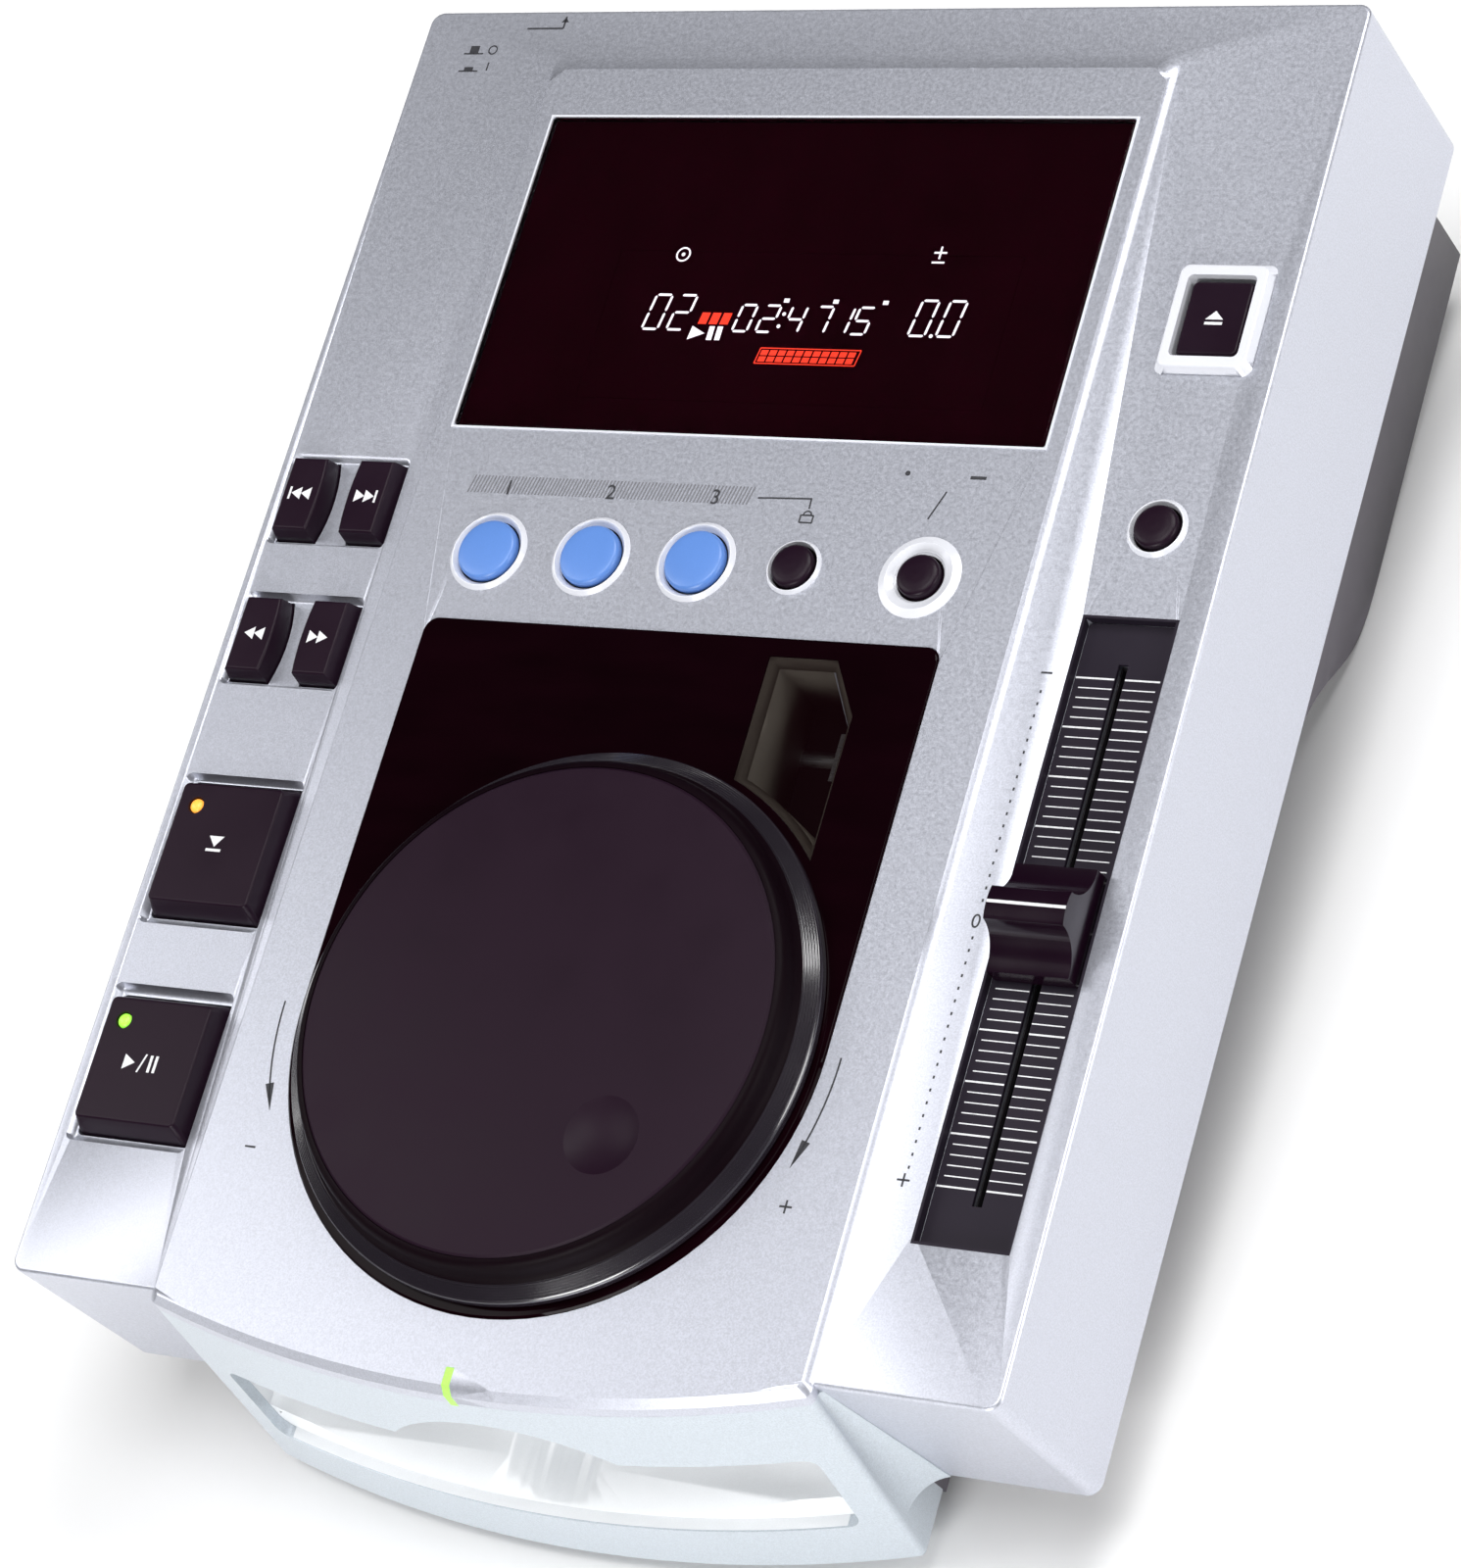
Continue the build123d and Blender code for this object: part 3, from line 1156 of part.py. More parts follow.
def round_button(x, y, seat_z, ring_r, hole_r, slope):
    """Domed round button with a flange under the case and a stem."""
    radius = hole_r - GAP
    top = seat_z + CAP_PROUD
    flange = CASE_UNDER_Z - GAP
    low = flange - KEY_FLANGE_T
    inner = radius - KEY_WALL
    profile = [
        (0.0, STEM_END_Z),
        (STEM_R, STEM_END_Z),
        (STEM_R, top - 2.0 * KEY_WALL),
        (inner, top - 2.0 * KEY_WALL),
        (inner, low),
        (radius + RING_SLEEVE, low),
        (radius + RING_SLEEVE, flange),
        (radius, flange),
        (radius, top - CAP_EDGE - CAP_DOME),
        (radius - 0.25 * CAP_EDGE, top - 0.4 * CAP_EDGE - CAP_DOME),
        (radius - CAP_EDGE, top - CAP_DOME),
        (radius * 0.5, top - CAP_DOME * 0.28),
        (0.0, top),
    ]
    return turned(profile, x, y)


# ================================================================ tempo slider
def make_scale_plate():
    """Dark scale plate with the lever's slot."""
    margin = 0.6 + INLAY
    plate = prism(
        rounded(FADER_X, FADER_Y, grown((SCALE_W, SCALE_D), -margin), 0.8), PLATE_FLOOR_Z, -RECESS_DEPTH
    )
    way = SLIDE_TRAVEL + LEVER_D / 2.0 + 1.3
    half = SLIDE_SLOT_W / 2.0
    return plate - block(FADER_X - half, FADER_X + half, FADER_Y - way, FADER_Y + way, -5.0, 0.0)


def fader_top_z():
    """Height of the fader body's upper face."""
    return PLATE_FLOOR_Z - CASE_WALL + SCALE_T


def make_fader_body():
    """Metal channel of the slide fader."""
    top = fader_top_z()
    way = SLIDE_TRAVEL + CARRIAGE[1] / 2.0 + 1.0
    half_l = way + FADER_WALL
    half_w = FADER_W / 2.0
    body = block(
        FADER_X - half_w, FADER_X + half_w, FADER_Y - half_l, FADER_Y + half_l, top - FADER_H, top
    )
    inner = CARRIAGE[0] / 2.0 + GAP
    floor = top - FADER_H + 1.0
    body = body - block(
        FADER_X - inner, FADER_X + inner, FADER_Y - way, FADER_Y + way, floor, top - 1.0
    )
    slot = SLIDE_TRAVEL + LEVER_D / 2.0 + 1.5
    return body - block(
        FADER_X - 1.2, FADER_X + 1.2, FADER_Y - slot, FADER_Y + slot, floor, top + 1.0
    )


def make_fader_lever():
    """Sheet lever on its carriage inside the channel."""
    floor = fader_top_z() - FADER_H + 1.0 + GAP
    half_w = CARRIAGE[0] / 2.0
    half_d = CARRIAGE[1] / 2.0
    carriage = block(
        FADER_X - half_w, FADER_X + half_w, FADER_Y - half_d, FADER_Y + half_d,
        floor, floor + CARRIAGE[2],
    )
    lever = block(
        FADER_X - LEVER_T / 2.0, FADER_X + LEVER_T / 2.0,
        FADER_Y - LEVER_D / 2.0, FADER_Y + LEVER_D / 2.0, floor, LEVER_TOP_Z,
    )
    return carriage + lever


def make_slider_knob():
    """Slider knob: raised ridge between two hollow saddles."""
    half = KNOB_D / 2.0
    ridge = KNOB_RIDGE_D / 2.0
    low = -RECESS_DEPTH + GAP
    shoulder = KNOB_SHOULDER_Z
    crest = KNOB_TOP_Z
    sag_y = (half + ridge) / 2.0 - KNOB_SADDLE * 0.75
    sag_z = (shoulder + crest) / 2.0 - KNOB_SADDLE
    rear = ThreePointArc((half, shoulder), (sag_y, sag_z), (ridge, crest - 0.6))
    cap = ThreePointArc((ridge, crest - 0.6), (0.0, crest), (-ridge, crest - 0.6))
    front = ThreePointArc((-ridge, crest - 0.6), (-sag_y, sag_z), (-half, shoulder))
    under = Polyline((-half, shoulder), (-half, low), (half, low), (half, shoulder))
    face = make_face(Plane.YZ * (rear + cap + front + under))
    knob = Pos(0, FADER_Y, 0) * along_x(face, FADER_X - KNOB_W / 2.0, FADER_X + KNOB_W / 2.0)
    wide = Pos(FADER_X, FADER_Y, low) * Rectangle(KNOB_W, KNOB_D)
    narrow = Pos(FADER_X, FADER_Y, crest) * Rectangle(KNOB_RIDGE_W, KNOB_D)
    knob = knob & loft([wide.face(), narrow.face()], ruled=True)
    half_t = LEVER_T / 2.0 + FIT
    half_d = LEVER_D / 2.0 + FIT
    return knob - block(
        FADER_X - half_t, FADER_X + half_t, FADER_Y - half_d, FADER_Y + half_d, low - 1.0, LEVER_TOP_Z
    )


# ================================================================ boards
def make_control_boards():
    """Three boards that carry the key switches and the display."""
    boards = []
    for x0, x1, y0, y1 in (CENTRE_BOARD, LEFT_BOARD, RIGHT_BOARD):
        board = block(x0, x1, y0, y1, BOARD_TOP_Z - BOARD_T, BOARD_TOP_Z)
        for x, y in CASE_SCREWS:
            board = board - post(x, y, BOARD_TOP_Z - 5.0, BOARD_TOP_Z + 5.0, BOSS_R + 0.5)
        boards.append(board.solid())
    return Compound(children=boards)


def switch_places():
    """Middle of every key and button."""
    places = [(BIG_KEY_X, CUE_KEY_Y), (BIG_KEY_X, PLAY_KEY_Y), (EJECT_X, EJECT_Y)]
    for y in (TRACK_Y, SEARCH_Y):
        places += [(PAIR_X - PAIR_KEY_X, y), (PAIR_X + PAIR_KEY_X, y)]
    return places + [(values[0], values[1]) for values in ROUND_BUTTONS.values()]


def make_key_switches():
    """Push switch below every key and button."""
    half = SWITCH_W / 2.0
    switches = []
    for x, y in switch_places():
        top = BOARD_TOP_Z + SWITCH_H
        body = block(x - half, x + half, y - half, y + half, BOARD_TOP_Z, top)
        switches.append((body + post(x, y, top, PLUNGER_TOP_Z, PLUNGER_R)).solid())
    return Compound(children=switches)


def board_corners(board):
    """Standoff places of a board on the pan's floor."""
    x0, x1, y0, y1 = board
    inset = STANDOFF_INSET
    return [(x, y) for x in (x0 + inset, x1 - inset) for y in (y0 + inset, y1 - inset)]


def low_board(board):
    """Board on the standoffs."""
    z0 = PAN_FLOOR_Z + STANDOFF_H
    return block(*board, z0, z0 + BOARD_T)


def make_main_board():
    """Main board with its larger chips and capacitors."""
    board = low_board(MAIN_BOARD)
    z0 = PAN_FLOOR_Z + STANDOFF_H + BOARD_T
    x0, x1, y0, _ = MAIN_BOARD
    for x, dy, side in ((x0 + 26.0, 12.0, 20.0), (x0 + 58.0, 10.0, 14.0), (x1 - 22.0, 24.0, 12.0)):
        board = board + block(x, x + side, y0 + dy, y0 + dy + side, z0, z0 + CHIP_H)
    for x, dy in ((x0 + 14.0, 44.0), (x0 + 26.0, 46.0), (x1 - 20.0, 12.0)):
        board = board + post(x, y0 + dy, z0, z0 + CAPACITOR_H, CAPACITOR_R)
    return board


def make_power_board():
    """Power board with two reservoir capacitors and a cooling fin."""
    board = low_board(POWER_BOARD)
    z0 = PAN_FLOOR_Z + STANDOFF_H + BOARD_T
    x0, x1, y0, y1 = POWER_BOARD
    middle = (x0 + x1) / 2.0
    for dy in (17.0, 33.0):
        board = board + post(middle, y0 + dy, z0, z0 + 20.0, 6.5)
    return board + block(x0 + 4.0, x1 - 4.0, y1 - 16.0, y1 - 13.0, z0, z0 + 18.0)


def make_transformer():
    """Mains transformer: laminated core round its winding."""
    z0 = PAN_FLOOR_Z
    core = block(
        CORE_X - CORE[0] / 2.0, CORE_X + CORE[0] / 2.0,
        CORE_Y - CORE[1] / 2.0, CORE_Y + CORE[1] / 2.0, z0, z0 + CORE[2],
    )
    z1 = z0 + (CORE[2] - WINDING[2]) / 2.0
    winding = prism(rounded(CORE_X, CORE_Y, (WINDING[0], WINDING[1]), 4.0), z1, z1 + WINDING[2])
    return core + winding


# ================================================================ mechanism
def make_mech_frame():
    """Steel tray of the mechanism with side walls, lugs and hinge ears."""
    x0 = JOG_X - MECH_HALF
    x1 = JOG_X + MECH_HALF
    frame = block(x0, x1, MECH_FRONT_Y, MECH_BACK_Y, MECH_BASE_Z, MECH_TOP_Z)
    for wall_x in (x0, x1 - MECH_T):
        frame = frame + block(
            wall_x, wall_x + MECH_T, MECH_FRONT_Y, MECH_BACK_Y, MECH_TOP_Z, MECH_WALL_TOP_Z
        )
    frame = frame + block(
        x0, x1, MECH_BACK_Y - MECH_T, MECH_BACK_Y, ROD_Z - SMALL_MOTOR_R, MECH_BASE_Z
    )
    half = SLED_HALF_W + GAP
    right = SCREW_X + LEAD_SCREW_R + 3.0
    frame = frame - block(
        JOG_X - half, JOG_X + right, RAIL_FRONT_Y + 1.0, RAIL_BACK_Y - 1.0,
        MECH_BASE_Z - 1.0, MECH_TOP_Z + 1.0,
    )
    frame = frame - post(JOG_X, JOG_Y, MECH_BASE_Z - 1.0, MECH_TOP_Z + 1.0, HUB_CONE_R)
    for x in (-ROD_X, ROD_X, SCREW_X):
        for y0 in (RAIL_FRONT_Y - LUG_T, RAIL_BACK_Y):
            frame = frame + block(
                JOG_X + x - 3.0, JOG_X + x + 3.0, y0, y0 + LUG_T, MECH_BASE_Z - LUG_DROP, MECH_BASE_Z
            )
    for side in (-1.0, 1.0):
        ear_x0, ear_x1 = sorted((side * ARM_EAR_X, side * (ARM_EAR_X + MECH_T)))
        ear = block(
            JOG_X + ear_x0, JOG_X + ear_x1, ARM_HINGE_Y - 5.0, ARM_HINGE_Y + 5.0,
            MECH_TOP_Z, ARM_HINGE_Z + 4.0,
        )
        frame = frame + ear
    frame = frame - rod_x(JOG_X - 40.0, JOG_X + 40.0, ARM_HINGE_Y, ARM_HINGE_Z, ARM_PIN_R + FIT)
    frame = frame - rod_x(x0 - 1.0, x1 + 1.0, ROLLER_Y, ROLLER_Z, ROLLER_SHAFT_R + FIT)
    return frame - rod_y(
        JOG_X + SCREW_X, RAIL_FRONT_Y - 5.0, MECH_BACK_Y + 1.0, ROD_Z, JOURNAL_R + FIT
    )


def make_dampers():
    """Four rubber dampers under the mechanism."""
    dampers = []
    for x, y in DAMPER_AT:
        low = MECH_BASE_Z - DAMPER_H
        profile = [
            (0.0, low),
            (DAMPER_R, low),
            (DAMPER_R, low + DAMPER_H / 3.0),
            (DAMPER_R * 0.7, low + DAMPER_H / 2.0),
            (DAMPER_R, low + 2.0 * DAMPER_H / 3.0),
            (DAMPER_R, MECH_BASE_Z),
            (0.0, MECH_BASE_Z),
        ]
        dampers.append(turned(profile, JOG_X + x, y).solid())
    return Compound(children=dampers)


def make_loading_roller():
    """Waisted rubber roller on its steel shaft."""
    half = ROLLER_L / 2.0
    reach = MECH_HALF - MECH_T - GAP
    shaft_end = MECH_HALF + SMALL_MOTOR_L / 3.0
    points = [
        (0.0, -MECH_HALF),
        (ROLLER_SHAFT_R, -MECH_HALF),
        (ROLLER_SHAFT_R, -reach),
        (ROLLER_SHAFT_R + 1.0, -reach),
        (ROLLER_SHAFT_R + 1.0, -half),
        (ROLLER_R, -half),
        (ROLLER_WAIST_R, 0.0),
        (ROLLER_R, half),
        (ROLLER_SHAFT_R + 1.0, half),
        (ROLLER_SHAFT_R + 1.0, reach),
        (ROLLER_SHAFT_R, reach),
        (ROLLER_SHAFT_R, shaft_end),
        (0.0, shaft_end),
    ]
    roller = turned(points, 0.0, 0.0)
    return Pos(JOG_X, ROLLER_Y, ROLLER_Z) * Rot(0, 90, 0) * roller


def make_turntable_hub():
    """Turntable with its centring cone and spindle."""
    tip = MECH_BASE_Z - 8.0
    profile = [
        (0.0, tip),
        (SPINDLE_R, tip),
        (SPINDLE_R, MECH_BASE_Z + GAP),
        (4.0, MECH_BASE_Z + GAP),
        (4.0, HUB_BOTTOM_Z),
        (HUB_FLANGE_R, HUB_BOTTOM_Z),
        (HUB_FLANGE_R, DISC_UNDER_Z),
        (HUB_CONE_R, DISC_UNDER_Z),
        (HUB_CONE_R - 0.2, DISC_UNDER_Z + 1.0),
        (HUB_CONE_R - 2.6, DISC_UNDER_Z + HUB_CONE_H),
        (0.0, DISC_UNDER_Z + HUB_CONE_H),
    ]
    return turned(profile, JOG_X, JOG_Y)


def make_spindle_motor():
    """Spindle motor hung under the base plate."""
    low = MECH_BASE_Z - SPINDLE_MOTOR_H
    profile = [
        (SPINDLE_R + FIT, MECH_BASE_Z),
        (SPINDLE_MOTOR_R, MECH_BASE_Z),
        (SPINDLE_MOTOR_R, low + 1.0),
        (SPINDLE_MOTOR_R - 1.0, low),
        (0.0, low),
        (0.0, MECH_BASE_Z - 8.0 - GAP),
        (SPINDLE_R + FIT, MECH_BASE_Z - 8.0 - GAP),
    ]
    return turned(profile, JOG_X, JOG_Y)


def make_clamp_arm():
    """Sheet arm that carries the clamp over the disc."""
    z0 = ARM_TOP_Z - ARM_T
    wide = ARM_EAR_X - GAP
    outline = make_face(
        Polyline(
            (JOG_X - wide, ARM_HINGE_Y), (JOG_X + wide, ARM_HINGE_Y),
            (JOG_X + ARM_END_R, JOG_Y), (JOG_X - ARM_END_R, JOG_Y),
            close=True,
        )
    )
    outline = outline + Pos(JOG_X, JOG_Y) * Circle(ARM_END_R)
    window = Pos(JOG_X, (ARM_HINGE_Y + JOG_Y) / 2.0 + 4.0) * Trapezoid(24.0, 30.0, 97.0, 97.0)
    arm = prism(outline - window, z0, ARM_TOP_Z)
    arm = arm + rod_x(JOG_X - wide, JOG_X + wide, ARM_HINGE_Y, ARM_HINGE_Z, ARM_BARREL_R)
    pin = ARM_EAR_X + MECH_T + 1.0
    arm = arm + rod_x(JOG_X - pin, JOG_X + pin, ARM_HINGE_Y, ARM_HINGE_Z, ARM_PIN_R)
    return arm - post(JOG_X, JOG_Y, z0 - 1.0, ARM_TOP_Z + 1.0, CLAMP_NECK_R + GAP)


def make_clamper():
    """Clamp disc that hangs in the arm and turns with the disc."""
    low = CLAMP_BOTTOM_Z
    cap = ARM_TOP_Z + GAP
    profile = [
        (CLAMP_RECESS_R, low),
        (CLAMP_R, low),
        (CLAMP_R, ARM_TOP_Z - ARM_T - 3.0),
        (CLAMP_NECK_R, ARM_TOP_Z - ARM_T - 3.0),
        (CLAMP_NECK_R, cap),
        (CLAMP_CAP_R, cap),
        (CLAMP_CAP_R, cap + CLAMP_CAP_T),
        (0.0, cap + CLAMP_CAP_T),
        (0.0, low + CLAMP_RECESS_H),
        (CLAMP_RECESS_R - 2.0, low + CLAMP_RECESS_H),
    ]
    return turned(profile, JOG_X, JOG_Y)


def make_guide_rods():
    """Two rods that the pickup slides on."""
    return Compound(
        children=[
            rod_y(JOG_X + x, RAIL_FRONT_Y, RAIL_BACK_Y, ROD_Z, ROD_R).solid() for x in (-ROD_X, ROD_X)
        ]
    )


def make_pickup_sled():
    """Optical pickup with its lens, on the two rods and the lead screw."""
    x0 = JOG_X - SLED_HALF_W
    x1 = JOG_X + SLED_HALF_W
    y0 = SLED_Y - SLED_HALF_L
    y1 = SLED_Y + SLED_HALF_L
    sled = block(x0, x1, y0, y1, SLED_BOTTOM_Z, SLED_TOP_Z)
    sled = sled + block(JOG_X - 9.0, JOG_X + 9.0, SLED_Y - 6.0, SLED_Y + 6.0, SLED_TOP_Z, -33.6)
    sled = sled + post(JOG_X, SLED_Y, -33.6, LENS_TOP_Z, LENS_R)
    nut_x = JOG_X + SCREW_X
    sled = sled + block(x1, nut_x + 3.0, SLED_Y - 3.0, SLED_Y + 3.0, SLED_BOTTOM_Z, SLED_TOP_Z)
    for x in (-ROD_X, ROD_X):
        sled = sled - rod_y(JOG_X + x, y0 - 1.0, y1 + 1.0, ROD_Z, ROD_R + FIT)
    return sled - rod_y(nut_x, y0 - 1.0, y1 + 1.0, ROD_Z, LEAD_SCREW_R + GAP)


def make_lead_screw():
    """Lead screw with plain journals at both ends."""
    x = JOG_X + SCREW_X
    body = rod_y(x, RAIL_FRONT_Y + GAP, RAIL_BACK_Y - GAP, ROD_Z, LEAD_SCREW_R)
    journal = rod_y(x, RAIL_FRONT_Y - LUG_T, MECH_BACK_Y + SMALL_MOTOR_L / 3.0, ROD_Z, JOURNAL_R)
    return body + journal


def make_feed_motors():
    """Two small geared motors: one feeds the disc, one moves the pickup."""
    x = JOG_X + SCREW_X
    sled = rod_y(x, MECH_BACK_Y, MECH_BACK_Y + SMALL_MOTOR_L, ROD_Z, SMALL_MOTOR_R)
    depth = SMALL_MOTOR_L / 3.0 + GAP
    sled = sled - rod_y(x, MECH_BACK_Y - 1.0, MECH_BACK_Y + depth, ROD_Z, JOURNAL_R + FIT)
    wall = JOG_X + MECH_HALF
    load = rod_x(wall, wall + SMALL_MOTOR_L, ROLLER_Y, ROLLER_Z, SMALL_MOTOR_R)
    load = load - rod_x(wall - 1.0, wall + depth, ROLLER_Y, ROLLER_Z, ROLLER_SHAFT_R + FIT)
    return Compound(children=[sled.solid(), load.solid()])


# ================================================================ rear parts
def make_rear_sockets():
    """Two phono sockets in one block and the small control socket."""
    floor = PAN_FLOOR_Z + STANDOFF_H + BOARD_T
    pair = block(
        PHONO_X[0] - 6.5, PHONO_X[1] + 6.5, REAR_PANEL_Y - SOCKET_BLOCK_D, REAR_PANEL_Y,
        floor, SOCKET_Z + 7.0,
    )
    for x in PHONO_X:
        pair = pair + rod_y(x, REAR_PANEL_Y, PAN_REAR_Y + PHONO_L, SOCKET_Z, PHONO_BARREL_R)
        end = PAN_REAR_Y + PHONO_L
        pair = pair - rod_y(x, end - PHONO_BORE_L, end + 1.0, SOCKET_Z, PHONO_BORE_R)
    jack = block(
        JACK_X - 6.0, JACK_X + 6.0, REAR_PANEL_Y - SOCKET_BLOCK_D, REAR_PANEL_Y, floor, SOCKET_Z + 6.0
    )
    end = PAN_REAR_Y + JACK_L
    jack = jack + rod_y(JACK_X, REAR_PANEL_Y, end, SOCKET_Z, JACK_R)
    jack = jack - rod_y(JACK_X, end - JACK_BORE_L, end + 1.0, SOCKET_Z, JACK_BORE_R)
    return Compound(children=[pair.solid(), jack.solid()])


def make_mains_inlet():
    """Two-pin mains inlet in the rear panel."""
    body = Plane.XZ * Pos(INLET_X, SOCKET_Z) * RectangleRounded(*INLET_BODY, INLET_BODY[1] / 3.0)
    body = along_y(body, PAN_REAR_Y - INLET_BODY_L, PAN_REAR_Y)
    flange = Plane.XZ * Pos(INLET_X, SOCKET_Z) * RectangleRounded(*INLET_FLANGE, 3.0)
    face_y = PAN_REAR_Y + INLET_FLANGE_T
    body = body + along_y(flange, PAN_REAR_Y, face_y)
    recess = Plane.XZ * Pos(INLET_X, SOCKET_Z) * RectangleRounded(*INLET_RECESS, INLET_RECESS[1] / 2.2)
    body = body - along_y(recess, face_y - INLET_RECESS_L, face_y + 1.0)
    floor_y = face_y - INLET_RECESS_L
    for side in (-1.0, 1.0):
        x = INLET_X + side * INLET_PIN_X
        body = body + rod_y(x, floor_y - 1.0, floor_y + INLET_PIN_L, SOCKET_Z, INLET_PIN_R)
    return body


def make_power_button():
    """Push-push power button through the slab's rear wall."""
    wall = REAR_Y
    cap = Plane.XZ * Pos(POWER_X, POWER_Z) * RectangleRounded(*POWER_CAP, POWER_CAP_R)
    flange_y = wall - CASE_WALL - GAP
    button = along_y(cap, flange_y, wall + POWER_PROUD)
    button = fillet(button.faces().sort_by(Axis.Y)[-1].edges(), KEY_EDGE_R)
    lip = Plane.XZ * Pos(POWER_X, POWER_Z) * RectangleRounded(*grown(POWER_CAP, POWER_FLANGE), POWER_CAP_R)
    button = button + along_y(lip, flange_y - POWER_FLANGE_T, flange_y)
    return button + rod_y(
        POWER_X, flange_y - POWER_FLANGE_T - POWER_STEM_L, flange_y, POWER_Z, POWER_STEM_R
    )


def make_power_switch():
    """Mains switch on its bracket behind the rear wall."""
    wall = REAR_Y - CASE_WALL
    stem_end = wall - GAP - POWER_FLANGE_T - POWER_STEM_L
    front = stem_end - POWER_TRAVEL - GAP
    half_w = POWER_SWITCH[0] / 2.0
    half_h = POWER_SWITCH[2] / 2.0
    body = block(
        POWER_X - half_w, POWER_X + half_w, front - POWER_SWITCH[1], front,
        POWER_Z - half_h, POWER_Z + half_h,
    )
    for side in (-1.0, 1.0):
        x0, x1 = sorted((POWER_X + side * half_w, POWER_X + side * (half_w + POWER_BRACKET_T)))
        body = body + block(x0, x1, front - POWER_SWITCH[1], wall, POWER_Z - half_h, POWER_Z + half_h)
    return body


# ================================================================ assembly
def build_parts():
    """All sub-parts in the deck frame, by node name."""
    parts = {
        "top_case": make_top_case(),
        "nose": make_nose(),
        "light_guide": make_light_guide(),
        "slot_throat": make_throat(),
        "slot_lips": make_slot_lips(),
        "lower_case": make_lower_case(),
        "rear_panel": make_rear_panel(),
        "feet": make_feet(),
        "case_screws": make_case_screws(),
        "display_window": make_display_window(),
        "display_tube": make_display_tube(),
        "jog_window": make_jog_window(),
        "view_window": make_view_window(),
        "jog_dial": make_jog_dial(),
        "jog_shaft": make_jog_shaft(),
        "encoder_disc": make_encoder_disc(),
        "jog_bracket": make_jog_bracket(),
        "jog_bush": make_jog_bush(),
        "jog_sensor": make_jog_sensor(),
        "cue_key": big_key(CUE_KEY_Y),
        "play_key": big_key(PLAY_KEY_Y),
        "key_lamps": make_lamps(),
        "track_back_key": pair_key(-1.0, TRACK_Y),
        "track_forward_key": pair_key(1.0, TRACK_Y),
        "search_back_key": pair_key(-1.0, SEARCH_Y),
        "search_forward_key": pair_key(1.0, SEARCH_Y),
        "eject_frame": make_eject_frame(),
        "eject_key": make_eject_key(),
        "button_rings": make_button_rings(),
        "scale_plate": make_scale_plate(),
        "fader_body": make_fader_body(),
        "fader_lever": make_fader_lever(),
        "slider_knob": make_slider_knob(),
        "control_boards": make_control_boards(),
        "key_switches": make_key_switches(),
        "main_board": make_main_board(),
        "power_board": make_power_board(),
        "transformer": make_transformer(),
        "mech_frame": make_mech_frame(),
        "dampers": make_dampers(),
        "loading_roller": make_loading_roller(),
        "turntable_hub": make_turntable_hub(),
        "spindle_motor": make_spindle_motor(),
        "clamp_arm": make_clamp_arm(),
        "clamper": make_clamper(),
        "guide_rods": make_guide_rods(),
        "pickup_sled": make_pickup_sled(),
        "lead_screw": make_lead_screw(),
        "feed_motors": make_feed_motors(),
        "rear_sockets": make_rear_sockets(),
        "mains_inlet": make_mains_inlet(),
        "power_button": make_power_button(),
        "power_switch": make_power_switch(),
    }
    for name, values in ROUND_BUTTONS.items():
        parts[name] = round_button(*values)
    return parts


def row_place(parts):
    """Turn and shift that stand the feet on Z = 0 under the middle of the box."""
    turn = Rot(TILT, 0, 0)
    low_x, high_x, low_y, high_y, low_z = [], [], [], [], []
    for shape in parts.values():
        box = (turn * shape).bounding_box()
        low_x.append(box.min.X)
        high_x.append(box.max.X)
        low_y.append(box.min.Y)
        high_y.append(box.max.Y)
        low_z.append(box.min.Z)
    shift_x = -(min(low_x) + max(high_x)) / 2.0
    shift_y = -(min(low_y) + max(high_y)) / 2.0
    return Pos(shift_x, shift_y, -min(low_z)) * turn


PARTS = build_parts()
ROW_PLACE = row_place(PARTS)

os.makedirs("parts", exist_ok=True)
for node, shape in PARTS.items():
    export_step(seat(shape), f"parts/{node}.step")
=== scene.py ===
"""Tabletop disc player: finishes, fine pieces, printed marks, light and camera.

Every new piece is drawn in millimetres in the deck frame (X right, Y back, Z square to
the sloping deck, zero on the side strips) and then set into the row frame in metres.
"""

import json
import logging
import math
from dataclasses import dataclass, field
from enum import Enum

import bmesh
import bpy
from mathutils import Euler, Matrix, Vector

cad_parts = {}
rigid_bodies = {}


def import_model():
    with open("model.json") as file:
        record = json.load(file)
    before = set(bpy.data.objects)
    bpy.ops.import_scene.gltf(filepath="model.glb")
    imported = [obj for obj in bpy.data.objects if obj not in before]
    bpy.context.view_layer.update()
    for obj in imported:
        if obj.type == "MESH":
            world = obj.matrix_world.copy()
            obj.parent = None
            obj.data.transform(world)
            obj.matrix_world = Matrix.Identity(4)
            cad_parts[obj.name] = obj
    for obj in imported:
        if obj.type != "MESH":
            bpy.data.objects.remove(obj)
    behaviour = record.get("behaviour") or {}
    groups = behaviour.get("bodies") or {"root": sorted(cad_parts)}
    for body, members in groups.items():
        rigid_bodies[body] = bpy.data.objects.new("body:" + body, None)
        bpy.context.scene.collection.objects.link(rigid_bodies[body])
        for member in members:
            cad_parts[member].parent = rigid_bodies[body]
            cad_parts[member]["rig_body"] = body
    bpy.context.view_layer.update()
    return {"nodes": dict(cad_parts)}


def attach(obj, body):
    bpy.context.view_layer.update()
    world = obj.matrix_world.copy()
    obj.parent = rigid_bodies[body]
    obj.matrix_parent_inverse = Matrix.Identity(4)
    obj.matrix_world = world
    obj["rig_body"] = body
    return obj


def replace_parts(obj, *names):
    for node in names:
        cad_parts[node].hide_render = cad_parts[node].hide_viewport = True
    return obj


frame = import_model()

LOG = logging.getLogger("disc_player")

